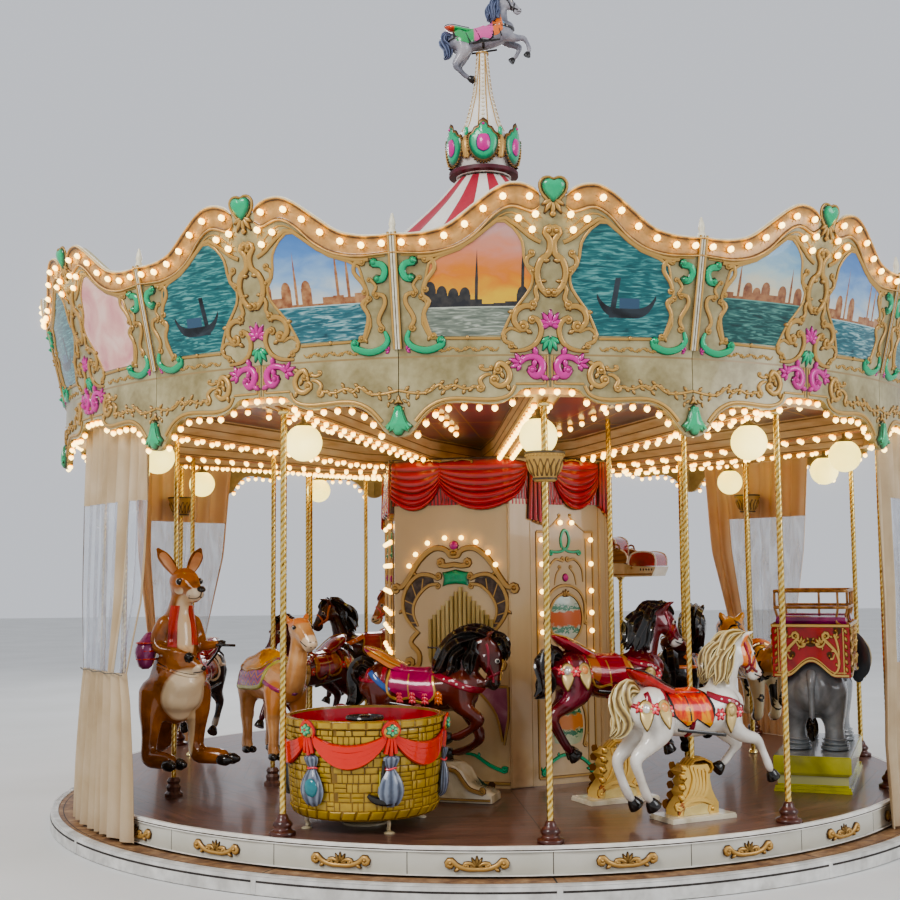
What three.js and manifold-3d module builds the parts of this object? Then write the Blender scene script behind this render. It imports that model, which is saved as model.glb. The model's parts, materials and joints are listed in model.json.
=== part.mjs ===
// Fairground carousel with twelve bays, millimetres, +Z up, origin at the centre of its footprint on the ground.
// Angles run in degrees from -Y towards +X. The outer poles stand at 0, 30, 60 ... and the board posts halfway between.
import * as THREE from 'three';
import { mergeVertices } from 'three/addons/utils/BufferGeometryUtils.js';
import Module from 'manifold-3d';

const wasm = await Module();
wasm.setup();

// Driving dimensions
const BAYS = 12;
const BAY_DEG = 360 / BAYS;
const SEAT_GAP = 0.3;
const RING_SEGMENTS = 48;

const STEP_OUTER_R = 3049;
const STEP_INNER_R = 2600;
const STEP_TOP = 96;
const ARM_COUNT = 6;
const ARM_WIDTH = 120;
const ARM_TOP = 60;
const MAST_R = 150;
const MAST_TOP = 2900;

const DECK_TOP = 254;
const DECK_THICKNESS = 50;
const DECK_HOLE_R = 170;
const SKIRT_OUTER_R = 2863;
const SKIRT_THICKNESS = 20;
const SKIRT_BOTTOM = 106;

const DRUM_CORNERS = [[0, -1120], [720, -820], [720, 820], [0, 1120], [-720, 820], [-720, -820]];
const DRUM_TOP = 2399.7;
const DRUM_INNER_SCALE = 0.97;
const DRAPE_TOP = 2390;
const DRAPE_BOTTOM = 2045;
const DRAPE_RISE = 90;
const DRAPE_DEPTH = 42;

const BEAM_WIDTH = 150;
const BEAM_HEIGHT = 130;
const BEAM_FLAT_Z = 2400;
const BEAM_FLAT_R = 1100;
const BEAM_OUTER_R = 2940;
const BEAM_OUTER_Z = 2567;
const RIM_INNER_R = 2860;
const RIM_BOTTOM = 2560;
const RIM_TOP = 2689.5;
const SLEEVE_R = 196;
const KING_POST_R = 60;
const KING_POST_TOP = 4590;
const CEILING_THICKNESS = 12;

const POLE_R = 18;
const POLE_RING_R = 2778;
const POLE_SIDES = 8;
const BOWL_POLES = [0, 4, 8];
const GLOBE_R = 105;
const GLOBE_RING_R = 2570;
const GLOBE_Z = 2380;

const FACADE_R = 3000;
const BOARD_THICKNESS = 40;
const BOARD_HALF_DEG = 14.96;
const BOARD_WAIST_Z = 2760;
const BOARD_LEAN = 0.2375;
const ROOF_EAVE_R = 2930;
const ROOF_EAVE_Z = 3000;
const ROOF_SKIN = 10;

const CURTAIN_R = 2921;
const CURTAIN_WAVE = 24;
const CURTAIN_THICKNESS = 14;
const CURTAIN_BOTTOM = 112;

const OUTER_ROW_R = 2400;
const INNER_ROW_R = 1710;
const BORE_R = POLE_R + 0.5;
const LIFT_POLE_TOP = 2900;

const RAD = Math.PI / 180;

// Finishes, one for each kind of surface
const FINISH = {
  step: [0x8a6a50, 0.6, 0],
  steel: [0x55585c, 0.5, 0.8],
  deck: [0x6b3a2c, 0.3, 0],
  ivory: [0xe6dcc4, 0.35, 0],
  drape: [0xc01818, 0.25, 0],
  ceiling: [0x5a2334, 0.5, 0],
  frame: [0xd9c9a4, 0.4, 0],
  brass: [0xcaa24a, 0.3, 0.9],
  board: [0xe9dfc6, 0.35, 0],
  canvas: [0xd33b3b, 0.8, 0],
  crown: [0xe8e0cc, 0.35, 0],
  curtain: [0xe2cdb4, 0.9, 0],
  basket: [0xd8b43c, 0.3, 0],
  gold: [0xc9a23c, 0.35, 0.6],
  plinth: [0xb9bf2e, 0.4, 0],
  white: [0xe9e7e0, 0.25, 0],
  maroon: [0x7c1f1c, 0.2, 0],
  brown: [0x5c2418, 0.2, 0],
  kangaroo: [0xa8682e, 0.25, 0],
  camel: [0xcf9a5e, 0.25, 0],
  grey: [0x74777a, 0.25, 0],
  tiger: [0xd39a35, 0.25, 0],
  black: [0x1d1a1c, 0.2, 0],
  wine: [0x5e1418, 0.2, 0],
  tan: [0xc98f52, 0.25, 0],
  gondola: [0xc03a2a, 0.3, 0],
};

const carousel = new THREE.Group();

// Adds one named piece to a parent in its own finish.
function place(name, geometry, finish, parent = carousel) {
  const [color, roughness, metalness] = FINISH[finish];
  const mesh = new THREE.Mesh(geometry, new THREE.MeshStandardMaterial({ color, roughness, metalness }));
  mesh.name = name;
  parent.add(mesh);
  return mesh;
}

// The point at radius r and angle deg, in the carousel's own way of counting angles.
function polar(r, deg, z = 0) {
  return new THREE.Vector3(r * Math.sin(deg * RAD), -r * Math.cos(deg * RAD), z);
}

// A group turned to an angle and set out at a radius: x runs the way the ride turns, y towards the centre.
function station(r, deg) {
  const turn = new THREE.Group();
  turn.rotation.z = deg * RAD;
  const seat = new THREE.Group();
  seat.position.set(0, -r, 0);
  turn.add(seat);
  carousel.add(turn);
  return seat;
}

// Merges shared corners, drops empty triangles and turns the faces outwards.
function closedGeometry(source) {
  const bare = source.clone();
  bare.deleteAttribute('normal');
  bare.deleteAttribute('uv');
  const merged = mergeVertices(bare, 1e-3);
  const index = merged.index.array;
  const p = merged.attributes.position;
  const kept = [];
  let volume = 0;
  const [a, b, c] = [new THREE.Vector3(), new THREE.Vector3(), new THREE.Vector3()];
  for (let i = 0; i < index.length; i += 3) {
    const [ia, ib, ic] = [index[i], index[i + 1], index[i + 2]];
    if (ia === ib || ib === ic || ic === ia) continue;
    kept.push(ia, ib, ic);
    a.fromBufferAttribute(p, ia);
    b.fromBufferAttribute(p, ib);
    c.fromBufferAttribute(p, ic);
    volume += a.dot(b.cross(c));
  }
  if (volume < 0) kept.reverse();
  merged.setIndex(kept);
  return merged;
}

function toSolid(geometry) {
  const closed = closedGeometry(geometry);
  return new wasm.Manifold(new wasm.Mesh({
    numProp: 3,
    vertProperties: new Float32Array(closed.attributes.position.array),
    triVerts: new Uint32Array(closed.index.array),
  }));
}

function fromSolid(solid) {
  const mesh = solid.getMesh();
  const geometry = new THREE.BufferGeometry();
  geometry.setAttribute('position', new THREE.BufferAttribute(new Float32Array(mesh.vertProperties), 3));
  geometry.setIndex(Array.from(mesh.triVerts));
  return geometry;
}

// Joins the first geometries into one body and cuts the second ones out of it.
function carve(joined, cuts = []) {
  let solid = toSolid(joined[0]);
  for (const geometry of joined.slice(1)) solid = solid.add(toSolid(geometry));
  for (const geometry of cuts) solid = solid.subtract(toSolid(geometry));
  return fromSolid(solid);
}

// A turned body about Z: the profile is a list of [radius, height].
function turned(profile, segments = RING_SEGMENTS) {
  const points = profile.map(([r, z]) => new THREE.Vector2(r, z));
  return closedGeometry(new THREE.LatheGeometry(points, segments).rotateX(Math.PI / 2));
}

// A ring with a rectangular section.
function ring(inner, outer, bottom, top, segments = RING_SEGMENTS) {
  return turned([[inner, bottom], [outer, bottom], [outer, top], [inner, top], [inner, bottom]], segments);
}

// A round bar along Z.
function rod(r, bottom, top, x = 0, y = 0, sides = POLE_SIDES) {
  return turned([[0, bottom], [r, bottom], [r, top], [0, top]], sides).translate(x, y, 0);
}

// A box from its lowest and highest corners.
function block([x0, y0, z0], [x1, y1, z1]) {
  return new THREE.BoxGeometry(x1 - x0, y1 - y0, z1 - z0).translate((x0 + x1) / 2, (y0 + y1) / 2, (z0 + z1) / 2);
}

// A flat outline in x and z, given thickness along y about the middle.
function sidePlate(outline, thickness) {
  const shape = new THREE.Shape(outline.map(([x, z]) => new THREE.Vector2(x, z)));
  const plate = new THREE.ExtrudeGeometry(shape, { depth: thickness, bevelEnabled: false });
  return plate.rotateX(Math.PI / 2).translate(0, thickness / 2, 0);
}

// A limb of a figure: rings of the given radius around each [x, y, z, radius], widened across by wide.
function limb(stops, sides = 6, wide = 1) {
  const centres = stops.map(([x, y, z]) => new THREE.Vector3(x, y, z));
  const positions = [];
  stops.forEach(([, , , radius], i) => {
    const along = centres[Math.min(i + 1, stops.length - 1)].clone().sub(centres[Math.max(i - 1, 0)]).normalize();
    const across = new THREE.Vector3(0, 1, 0).addScaledVector(along, -along.y).normalize();
    const up = along.clone().cross(across);
    for (let k = 0; k < sides; k += 1) {
      const turn = ((k + 0.5) / sides) * 2 * Math.PI;
      const point = centres[i].clone()
        .addScaledVector(across, Math.cos(turn) * radius * wide)
        .addScaledVector(up, Math.sin(turn) * radius);
      positions.push(point.x, point.y, point.z);
    }
  });
  const index = [];
  for (let i = 0; i + 1 < stops.length; i += 1) {
    for (let k = 0; k < sides; k += 1) {
      const [a, b] = [i * sides + k, i * sides + ((k + 1) % sides)];
      index.push(a, b, a + sides, b, b + sides, a + sides);
    }
  }
  const last = (stops.length - 1) * sides;
  for (let k = 1; k + 1 < sides; k += 1) {
    index.push(0, k + 1, k, last, last + k, last + k + 1);
  }
  const geometry = new THREE.BufferGeometry();
  geometry.setAttribute('position', new THREE.Float32BufferAttribute(positions, 3));
  geometry.setIndex(index);
  return closedGeometry(geometry);
}

// The height of the beams' underside at a radius.
function beamUnderside(r) {
  const slope = (BEAM_OUTER_Z - BEAM_FLAT_Z) / (BEAM_OUTER_R - BEAM_FLAT_R);
  return BEAM_FLAT_Z + Math.max(0, r - BEAM_FLAT_R) * slope;
}

// The fixed ground works: a step ring, and beams on the ground that carry the mast.
function addGround() {
  place('ground_step', ring(STEP_INNER_R, STEP_OUTER_R, 0, STEP_TOP), 'step');
  const armLength = STEP_INNER_R - 4.5;
  const arms = [];
  for (let i = 0; i < ARM_COUNT; i += 1) {
    const arm = block([-ARM_WIDTH / 2, 0, 0], [ARM_WIDTH / 2, armLength, ARM_TOP]);
    arms.push(arm.rotateZ((i * 360 / ARM_COUNT) * RAD));
  }
  const mast = turned([[0, 0], [400, 0], [400, 80], [200, 110], [MAST_R, 180], [MAST_R, MAST_TOP], [0, MAST_TOP]], 16);
  place('centre_mast', carve([mast, ...arms]), 'steel');
}

// Where each lifting figure stands, and how its pole ends at the bottom.
const LIFTS = {
  kangaroo: { r: OUTER_ROW_R, deg: -62.6, foot: 310, cap: true },
  camel: { r: INNER_ROW_R, deg: -63.5, foot: 310, cap: true },
  white_horse: { r: OUTER_ROW_R, deg: 22, foot: 340, cap: false },
  maroon_horse: { r: INNER_ROW_R, deg: 20, foot: 480, cap: false },
};

// Upright bores through a flat piece, one for each lifting pole.
function liftBores(lifts, bottom, top) {
  return lifts.map(({ r, deg }) => {
    const bore = rod(BORE_R, bottom, top).translate(0, -r, 0);
    return bore.rotateZ(deg * RAD);
  });
}

// The turning platform: a round deck with two guide caps, and the skirt around its edge.
function addDeck() {
  const deckR = SKIRT_OUTER_R - SKIRT_THICKNESS - 0.4;
  const plate = ring(DECK_HOLE_R, deckR, DECK_TOP - DECK_THICKNESS, DECK_TOP);
  const capped = Object.values(LIFTS).filter(({ cap }) => cap);
  const capProfile = [[0, -10], [58, -10], [58, 20], [40, 34], [46, 60], [34, 78], [44, 96], [30, 118], [0, 118]];
  const caps = capped.map(({ r, deg }) => {
    const cap = turned(capProfile, 10).translate(0, -r, DECK_TOP);
    return cap.rotateZ(deg * RAD);
  });
  place('deck', carve([plate, ...caps], liftBores(capped, 150, 420)), 'deck');
  place('deck_skirt', ring(SKIRT_OUTER_R - SKIRT_THICKNESS, SKIRT_OUTER_R, SKIRT_BOTTOM, DECK_TOP), 'ivory');
}

// The centre drum, a hollow six-sided casing, with swags of drapery around its head.
function addDrum() {
  const outline = new THREE.Shape(DRUM_CORNERS.map(([x, y]) => new THREE.Vector2(x, y)));
  const inner = DRUM_CORNERS.map(([x, y]) => new THREE.Vector2(x * DRUM_INNER_SCALE, y * DRUM_INNER_SCALE));
  outline.holes.push(new THREE.Path(inner));
  const bottom = DECK_TOP + SEAT_GAP;
  const walls = new THREE.ExtrudeGeometry(outline, { depth: DRUM_TOP - bottom, bevelEnabled: false });
  place('drum_walls', closedGeometry(walls.translate(0, 0, bottom)), 'ivory');
  place('drum_drape', carve(DRUM_CORNERS.map((corner, i) => drapeSide(corner, DRUM_CORNERS[(i + 1) % 6]))), 'drape');
}

// One side of the drapery: a band whose lower edge hangs in even swags.
function drapeSide([x0, y0], [x1, y1]) {
  const length = Math.hypot(x1 - x0, y1 - y0);
  const overlap = 18;
  const swags = Math.round(length / 390);
  const steps = 4;
  const outline = [[-overlap, DRAPE_TOP], [-overlap, DRAPE_BOTTOM + DRAPE_RISE]];
  for (let i = 1; i < swags * steps; i += 1) {
    const drop = Math.abs(Math.sin((i / steps) * Math.PI));
    outline.push([(length * i) / (swags * steps), DRAPE_BOTTOM + DRAPE_RISE * (1 - drop)]);
  }
  outline.push([length + overlap, DRAPE_BOTTOM + DRAPE_RISE], [length + overlap, DRAPE_TOP]);
  const side = sidePlate(outline, DRAPE_DEPTH).translate(0, -DRAPE_DEPTH / 2 - SEAT_GAP, 0);
  return side.rotateZ(Math.atan2(y1 - y0, x1 - x0)).translate(x0, y0, 0);
}

// A canopy beam, level near the mast and then rising outwards, grown all round by the given play.
function beam(play = 0) {
  const [inner, outer] = [SLEEVE_R - 20, BEAM_OUTER_R + play];
  const outline = [
    [inner, BEAM_FLAT_Z - play], [BEAM_FLAT_R, BEAM_FLAT_Z - play], [outer, BEAM_OUTER_Z - play],
    [outer, BEAM_OUTER_Z + BEAM_HEIGHT + play], [BEAM_FLAT_R, BEAM_FLAT_Z + BEAM_HEIGHT + play],
    [inner, BEAM_FLAT_Z + BEAM_HEIGHT + play],
  ];
  return sidePlate(outline, BEAM_WIDTH + 2 * play);
}

// The canopy's frame: a sleeve that turns on the mast, a king post, beams and the hanging globes. The rim around
// it is notched over the beams' ends.
function addCanopyFrame() {
  const bearing = MAST_TOP + SEAT_GAP;
  const sleeveInner = MAST_R + 6;
  const sleeve = turned([
    [0, bearing], [sleeveInner, bearing], [sleeveInner, BEAM_FLAT_Z], [SLEEVE_R, BEAM_FLAT_Z],
    [SLEEVE_R, bearing + 20], [KING_POST_R, bearing + 60], [KING_POST_R, KING_POST_TOP], [0, KING_POST_TOP],
  ], 12);
  const parts = [sleeve];
  const notches = [];
  const globeProfile = [];
  const rows = 4;
  for (let i = 0; i <= rows; i += 1) {
    const turn = (i / rows) * Math.PI;
    globeProfile.push([GLOBE_R * Math.sin(turn), GLOBE_Z - GLOBE_R * Math.cos(turn)]);
  }
  for (let i = 0; i < BAYS; i += 1) {
    const turn = (i * BAY_DEG - 90) * RAD;
    parts.push(beam().rotateZ(turn));
    notches.push(beam(SEAT_GAP).rotateZ(turn));
    parts.push(turned(globeProfile, 6).translate(GLOBE_RING_R, 0, 0).rotateZ(turn));
    const stemTop = beamUnderside(GLOBE_RING_R) + 20;
    parts.push(rod(14, GLOBE_Z + GLOBE_R - 20, stemTop, GLOBE_RING_R, 0, 4).rotateZ(turn));
  }
  place('canopy_frame', carve(parts), 'frame');
  const rimOuter = FACADE_R - BOARD_THICKNESS - 1.4;
  place('canopy_rim', carve([ring(RIM_INNER_R, rimOuter, RIM_BOTTOM, RIM_TOP, 36)], notches), 'frame');
}

// The ceiling, a shallow cone of boards laid on the beams, bored for the lifting poles.
function addCeiling() {
  const bottom = (r) => beamUnderside(r) + BEAM_HEIGHT + SEAT_GAP;
  const inner = SLEEVE_R + 4;
  const outer = 2950;
  const plate = turned([
    [inner, bottom(inner)], [BEAM_FLAT_R, bottom(BEAM_FLAT_R)], [outer, bottom(outer)],
    [outer, bottom(outer) + CEILING_THICKNESS], [BEAM_FLAT_R, bottom(BEAM_FLAT_R) + CEILING_THICKNESS],
    [inner, bottom(inner) + CEILING_THICKNESS], [inner, bottom(inner)],
  ], 36);
  place('ceiling', carve([plate], liftBores(Object.values(LIFTS), 2400, 2900)), 'ceiling');
}

// One outer pole with its turned foot, and on three of them a carved bowl near the head.
function outerPole(hasBowl) {
  const foot = DECK_TOP + SEAT_GAP;
  const top = beamUnderside(POLE_RING_R - POLE_R) - SEAT_GAP;
  const profile = [[0, foot], [72, foot], [72, foot + 22], [44, foot + 40], [34, foot + 90], [POLE_R, foot + 112]];
  if (hasBowl) profile.push([POLE_R, 2110], [60, 2130], [100, 2250], [104, 2275], [POLE_R, 2276]);
  profile.push([POLE_R, top], [0, top]);
  return turned(profile, POLE_SIDES);
}

function addOuterPoles() {
  for (let i = 0; i < BAYS; i += 1) {
    const seat = station(POLE_RING_R, i * BAY_DEG);
    place(`outer_pole_${i + 1}`, outerPole(BOWL_POLES.includes(i)), 'brass', seat);
  }
}

// The top and bottom edge heights of a rounding board, at stops out from the middle of the board.
const BOARD_STOPS = [
  { deg: 0, bottom: 2592, top: 3640 },
  { deg: 2.9, bottom: 2590, top: 3612 },
  { deg: 3.7, bottom: 2537, top: 3612 },
  { deg: 5.5, bottom: 2513, top: 3586 },
  { deg: 8, bottom: 2508, top: 3490 },
  { deg: 10.5, bottom: 2478, top: 3392 },
  { deg: 12.7, bottom: 2410, top: 3363 },
  { deg: BOARD_HALF_DEG, bottom: 2343, top: 3385 },
];

// A rounding board: the valance below its waist stands upright and the crest above leans out.
function roundingBoard() {
  const mirrored = BOARD_STOPS.slice(1).reverse().map(({ deg, bottom, top }) => ({ deg: -deg, bottom, top }));
  const stops = [...mirrored, ...BOARD_STOPS];
  const reach = (z) => FACADE_R + Math.max(0, z - BOARD_WAIST_Z) * BOARD_LEAN;
  const positions = [];
  for (const { deg, bottom, top } of stops) {
    for (const z of [bottom, BOARD_WAIST_Z, top]) positions.push(...polar(reach(z), deg, z).toArray());
    for (const z of [top, BOARD_WAIST_Z, bottom]) {
      positions.push(...polar(reach(z) - BOARD_THICKNESS, deg, z).toArray());
    }
  }
  const loop = 6;
  const index = [];
  for (let i = 0; i + 1 < stops.length; i += 1) {
    for (let k = 0; k < loop; k += 1) {
      const [a, b] = [i * loop + k, i * loop + ((k + 1) % loop)];
      index.push(a, a + loop, b, b, a + loop, b + loop);
    }
  }
  const end = (stops.length - 1) * loop;
  for (const [start, flip] of [[0, false], [end, true]]) {
    for (const face of [[0, 1, 5], [1, 4, 5], [1, 2, 4], [2, 3, 4]]) {
      const turnedFace = flip ? [...face].reverse() : face;
      index.push(...turnedFace.map((k) => start + k));
    }
  }
  const geometry = new THREE.BufferGeometry();
  geometry.setAttribute('position', new THREE.Float32BufferAttribute(positions, 3));
  geometry.setIndex(index);
  return closedGeometry(geometry);
}

function addRoundingBoards() {
  for (let i = 0; i < BAYS; i += 1) {
    const board = place(`rounding_board_${i + 1}`, roundingBoard(), 'board');
    board.rotation.z = i * BAY_DEG * RAD;
  }
}

// The striped tent roof: a thin skin with an upright hem that stands on the ceiling's edge.
function addRoof() {
  const hem = beamUnderside(2950) + BEAM_HEIGHT + CEILING_THICKNESS + 2 * SEAT_GAP;
  const outside = [
    [ROOF_EAVE_R, hem], [ROOF_EAVE_R, ROOF_EAVE_Z], [1800, 3350], [1000, 3850], [500, 4270],
    [200, KING_POST_TOP],
  ];
  const skin = ([r, z], i) => (i < 2 ? [r - ROOF_SKIN, z - i * ROOF_SKIN] : [r - ROOF_SKIN / 2, z - ROOF_SKIN]);
  place('roof_tent', turned([...outside, ...outside.map(skin).reverse(), outside[0]], 24), 'canvas');
}

// The crown with its six shields, and the tall spire that carries the finial.
const SPIRE_TOP = 5580;
function addCrown() {
  const base = KING_POST_TOP + SEAT_GAP;
  const body = turned([
    [0, base], [215, base], [262, 4720], [262, 4900], [165, 4955], [118, 5080], [76, 5240], [38, SPIRE_TOP],
    [0, SPIRE_TOP],
  ], 12);
  const shields = [];
  for (let i = 0; i < 6; i += 1) {
    const outline = [[0, 4650], [95, 4720], [128, 4850], [0, 4985], [-128, 4850], [-95, 4720]];
    shields.push(sidePlate(outline, 60).translate(0, -268, 0).rotateZ((i * 60 - 6) * RAD));
  }
  place('crown_spire', carve([body, ...shields]), 'crown');
}

// Hanging curtains, gathered in even waves and sewn to hang from the rim.
function curtain(fromDeg, toDeg) {
  const waves = Math.round((toDeg - fromDeg) / 5);
  const steps = waves * 4;
  const edge = (side) => Array.from({ length: steps + 1 }, (_, i) => {
    const r = CURTAIN_R + CURTAIN_WAVE * Math.sin((i / 4) * 2 * Math.PI) + (side * CURTAIN_THICKNESS) / 2;
    const { x, y } = polar(r, fromDeg + ((toDeg - fromDeg) * i) / steps);
    return new THREE.Vector2(x, y);
  });
  const shape = new THREE.Shape([...edge(1), ...edge(-1).reverse()]);
  const height = RIM_BOTTOM - SEAT_GAP - CURTAIN_BOTTOM;
  const sheet = new THREE.ExtrudeGeometry(shape, { depth: height, bevelEnabled: false });
  return closedGeometry(sheet.translate(0, 0, CURTAIN_BOTTOM));
}

function addCurtains() {
  const spans = { front_left: [-72, -48], front_right: [46, 66], rear_left: [-136, -111], rear_right: [108, 132] };
  for (const [name, [from, to]] of Object.entries(spans)) place(`curtain_${name}`, curtain(from, to), 'curtain');
}

// The four legs of a horse in each of its poses, as [x, y, z, radius] from the hip or shoulder to the hoof, with z
// counted from the saddle.
const LEGS = {
  leap: [
    [[190, -62, -160, 66], [385, -62, -272, 38], [495, -62, -490, 32]],
    [[190, 62, -160, 66], [330, 62, -330, 38], [215, 62, -440, 32]],
    [[-260, 66, -140, 90], [-440, 66, -370, 40], [-375, 66, -635, 34]],
    [[-260, -66, -140, 90], [-370, -66, -380, 40], [-290, -66, -635, 34]],
  ],
  prance: [
    [[190, 62, -160, 66], [350, 62, -300, 38], [260, 62, -480, 32]],
    [[190, -62, -160, 66], [310, -62, -340, 38], [340, -62, -580, 32]],
    [[-260, 66, -140, 90], [-390, 66, -360, 40], [-325, 66, -595, 34]],
    [[-260, -66, -140, 90], [-330, -66, -370, 40], [-240, -66, -595, 34]],
  ],
  rear: [
    [[190, 62, -160, 66], [385, 62, -272, 38], [440, 62, -470, 32]],
    [[190, -62, -160, 66], [330, -62, -330, 38], [260, -62, -450, 32]],
    [[-260, 66, -140, 90], [-440, 66, -370, 40], [-400, 66, -585, 34]],
    [[-260, -66, -140, 90], [-370, -66, -380, 40], [-330, -66, -560, 34]],
  ],
};

// A carved horse with its saddle at the origin, facing +X.
function horse(legs, bowed = false) {
  const body = limb([
    [-385, 0, -85, 70], [-280, 0, -115, 135], [-20, 0, -140, 136], [200, 0, -110, 138], [290, 0, -75, 76],
  ], 6, 0.95);
  const neckUp = [[190, 0, -60, 108], [265, 0, 90, 78], [312, 0, 215, 60], [350, 0, 250, 62], [405, 0, 160, 46],
    [440, 0, 96, 32]];
  const neckBowed = [[190, 0, -60, 108], [300, 0, 60, 84], [400, 0, 110, 70], [470, 0, 70, 62], [490, 0, -40, 46],
    [485, 0, -120, 34]];
  const maneUp = [[330, 0, 320, 22], [225, 0, 225, 62], [165, 0, 100, 58], [120, 0, -20, 40]];
  const maneBowed = [[470, 0, 160, 24], [360, 0, 160, 56], [250, 0, 110, 56], [150, 0, 0, 40]];
  const tail = limb([[-320, 0, -60, 36], [-450, 0, -20, 46], [-495, 0, -130, 56], [-455, 0, -300, 24]], 4);
  const saddle = limb([[-160, 0, -10, 90], [-20, 0, -60, 120], [130, 0, -15, 90]], 6, 1.15);
  const head = limb(bowed ? neckBowed : neckUp, 6, 0.72);
  const mane = limb(bowed ? maneBowed : maneUp, 4, 0.8);
  return [body, head, mane, tail, saddle, ...legs.map((stops) => limb(stops, 4))];
}

// The bore that a lifting pole passes through, in a figure's own frame.
function poleBore(bottom, top) {
  return rod(BORE_R, bottom, top);
}

// A lifting figure and its pole, which runs in its guides. A figure over a deck cap is moulded around its pole, and a
// horse slides onto a pole that is a piece of its own.
function addLifting(name, geometries, height, finish) {
  const { r, deg, foot, cap } = LIFTS[name];
  const seat = station(r, deg);
  const raised = geometries.map((g) => g.translate(0, 0, height));
  const pole = rod(POLE_R, foot, LIFT_POLE_TOP);
  if (cap) {
    place(name, carve([...raised, pole]), finish, seat);
    return;
  }
  place(name, carve(raised, [poleBore(0, LIFT_POLE_TOP)]), finish, seat);
  place(`${name}_pole`, pole, 'brass', seat);
}

// A kangaroo standing upright, with its joey in the pouch.
function kangaroo() {
  return [
    limb([[-20, 0, 120, 90], [0, 0, 270, 195], [10, 0, 500, 172], [20, 0, 720, 112], [60, 0, 960, 58]], 7),
    limb([[20, 0, 970, 60], [80, 0, 1010, 84], [215, 0, 950, 36]], 6),
    limb([[40, 50, 1030, 34], [30, 90, 1160, 44], [25, 110, 1250, 12]], 4),
    limb([[40, -50, 1030, 34], [30, -90, 1160, 44], [25, -110, 1250, 12]], 4),
    limb([[40, 90, 740, 45], [150, 150, 610, 36], [250, 130, 590, 38]], 4),
    limb([[40, -90, 740, 45], [150, -150, 610, 36], [250, -130, 590, 38]], 4),
    limb([[120, 0, 430, 70], [205, 0, 520, 70], [265, 0, 500, 36]], 5),
    limb([[-60, 110, 330, 120], [-30, 140, 100, 80], [20, 140, 36, 50], [230, 140, 26, 40]], 5),
    limb([[-60, -110, 330, 120], [-30, -140, 100, 80], [20, -140, 36, 50], [230, -140, 26, 40]], 5),
    limb([[-80, 0, 260, 120], [-240, 0, 130, 70], [-420, 0, 60, 34]], 5),
  ];
}

// A camel with one hump and a saddle.
function camel() {
  const legs = [[190, 80], [190, -80], [-230, 80], [-230, -80]].map(([x, y]) => (
    limb([[x, y, 420, 74], [x + 20, y, 220, 36], [x + 10, y, 4, 36]], 4)));
  return [
    limb([[-350, 0, 440, 80], [-240, 0, 480, 140], [-40, 0, 500, 156], [180, 0, 480, 136], [280, 0, 470, 84]], 6),
    limb([[-150, 0, 550, 90], [-30, 0, 650, 96], [110, 0, 550, 90]], 5),
    limb([[230, 0, 470, 96], [370, 0, 560, 68], [405, 0, 790, 58], [520, 0, 830, 54], [590, 0, 790, 36]], 6, 0.85),
    limb([[-300, 0, 470, 36], [-400, 0, 400, 26], [-400, 0, 250, 30]], 4),
    ...legs,
  ];
}

// The scrolled bracket that guides a horse's pole, on a plate screwed to the deck.
function pedestal(length, width, height) {
  const half = length / 2;
  const scroll = sidePlate([
    [-half * 0.72, 20], [half * 0.72, 20], [half * 0.62, 120], [half * 0.36, height * 0.5], [half * 0.5, height * 0.66],
    [half * 0.66, height * 0.8], [half * 0.5, height * 0.97], [half * 0.1, height], [-half * 0.3, height * 0.86],
    [-half * 0.52, height * 0.8], [-half * 0.4, height * 0.55], [-half * 0.7, 130],
  ], width * 0.62);
  const plate = block([-half, -width / 2, 0], [half, width / 2, 28]);
  return [plate, scroll].map((g) => g.translate(0, 0, DECK_TOP + SEAT_GAP));
}

function addLiftingFigures() {
  addLifting('kangaroo', kangaroo(), 450, 'kangaroo');
  addLifting('camel', camel(), 450, 'camel');
  addLifting('white_horse', horse(LEGS.leap), 975, 'white');
  addLifting('maroon_horse', horse(LEGS.prance), 1135, 'maroon');
  const plates = { white_horse: [440, 220, 345], maroon_horse: [480, 240, 370] };
  for (const [name, [length, width, height]] of Object.entries(plates)) {
    const { r, deg, foot } = LIFTS[name];
    const bore = poleBore(Math.min(foot - 190, 290) + SEAT_GAP + 5, 800);
    place(`${name}_pedestal`, carve(pedestal(length, width, height), [bore]), 'gold', station(r, deg));
  }
}

// The balloon basket, a hollow tub on a pivot, with a hand wheel on a column inside.
function addBasket() {
  const pivot = DECK_TOP + SEAT_GAP;
  const tub = turned([
    [0, pivot], [130, pivot], [130, 325], [380, 330], [406, 370], [425, 600], [450, 862], [418, 862], [388, 600],
    [372, 392], [34, 392], [30, 815], [150, 822], [150, 846], [0, 846],
  ], 20);
  const feet = [45, 135, 225, 315].map((deg) => {
    const foot = block([-28, -28, DECK_TOP + 6], [28, 28, 345]);
    return foot.translate(340 * Math.sin(deg * RAD), 340 * Math.cos(deg * RAD), 0);
  });
  place('balloon_basket', carve([tub, ...feet]), 'basket', station(2320, -24));
}

// The bowing horse, which rides on a scrolled cream base instead of a pole.
function addBrownHorse() {
  const base = sidePlate([
    [-430, 0], [430, 0], [400, 60], [300, 80], [250, 190], [160, 230], [-160, 230], [-250, 190], [-300, 80],
    [-400, 60],
  ], 230).translate(0, 0, DECK_TOP + SEAT_GAP);
  const carved = horse(LEGS.prance, true).map((g) => g.translate(0, 0, 1050));
  const stem = block([-60, -50, 420], [60, 50, 860]);
  place('brown_horse', carve([base, stem, ...carved]), 'brown', station(1500, -21));
}

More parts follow.
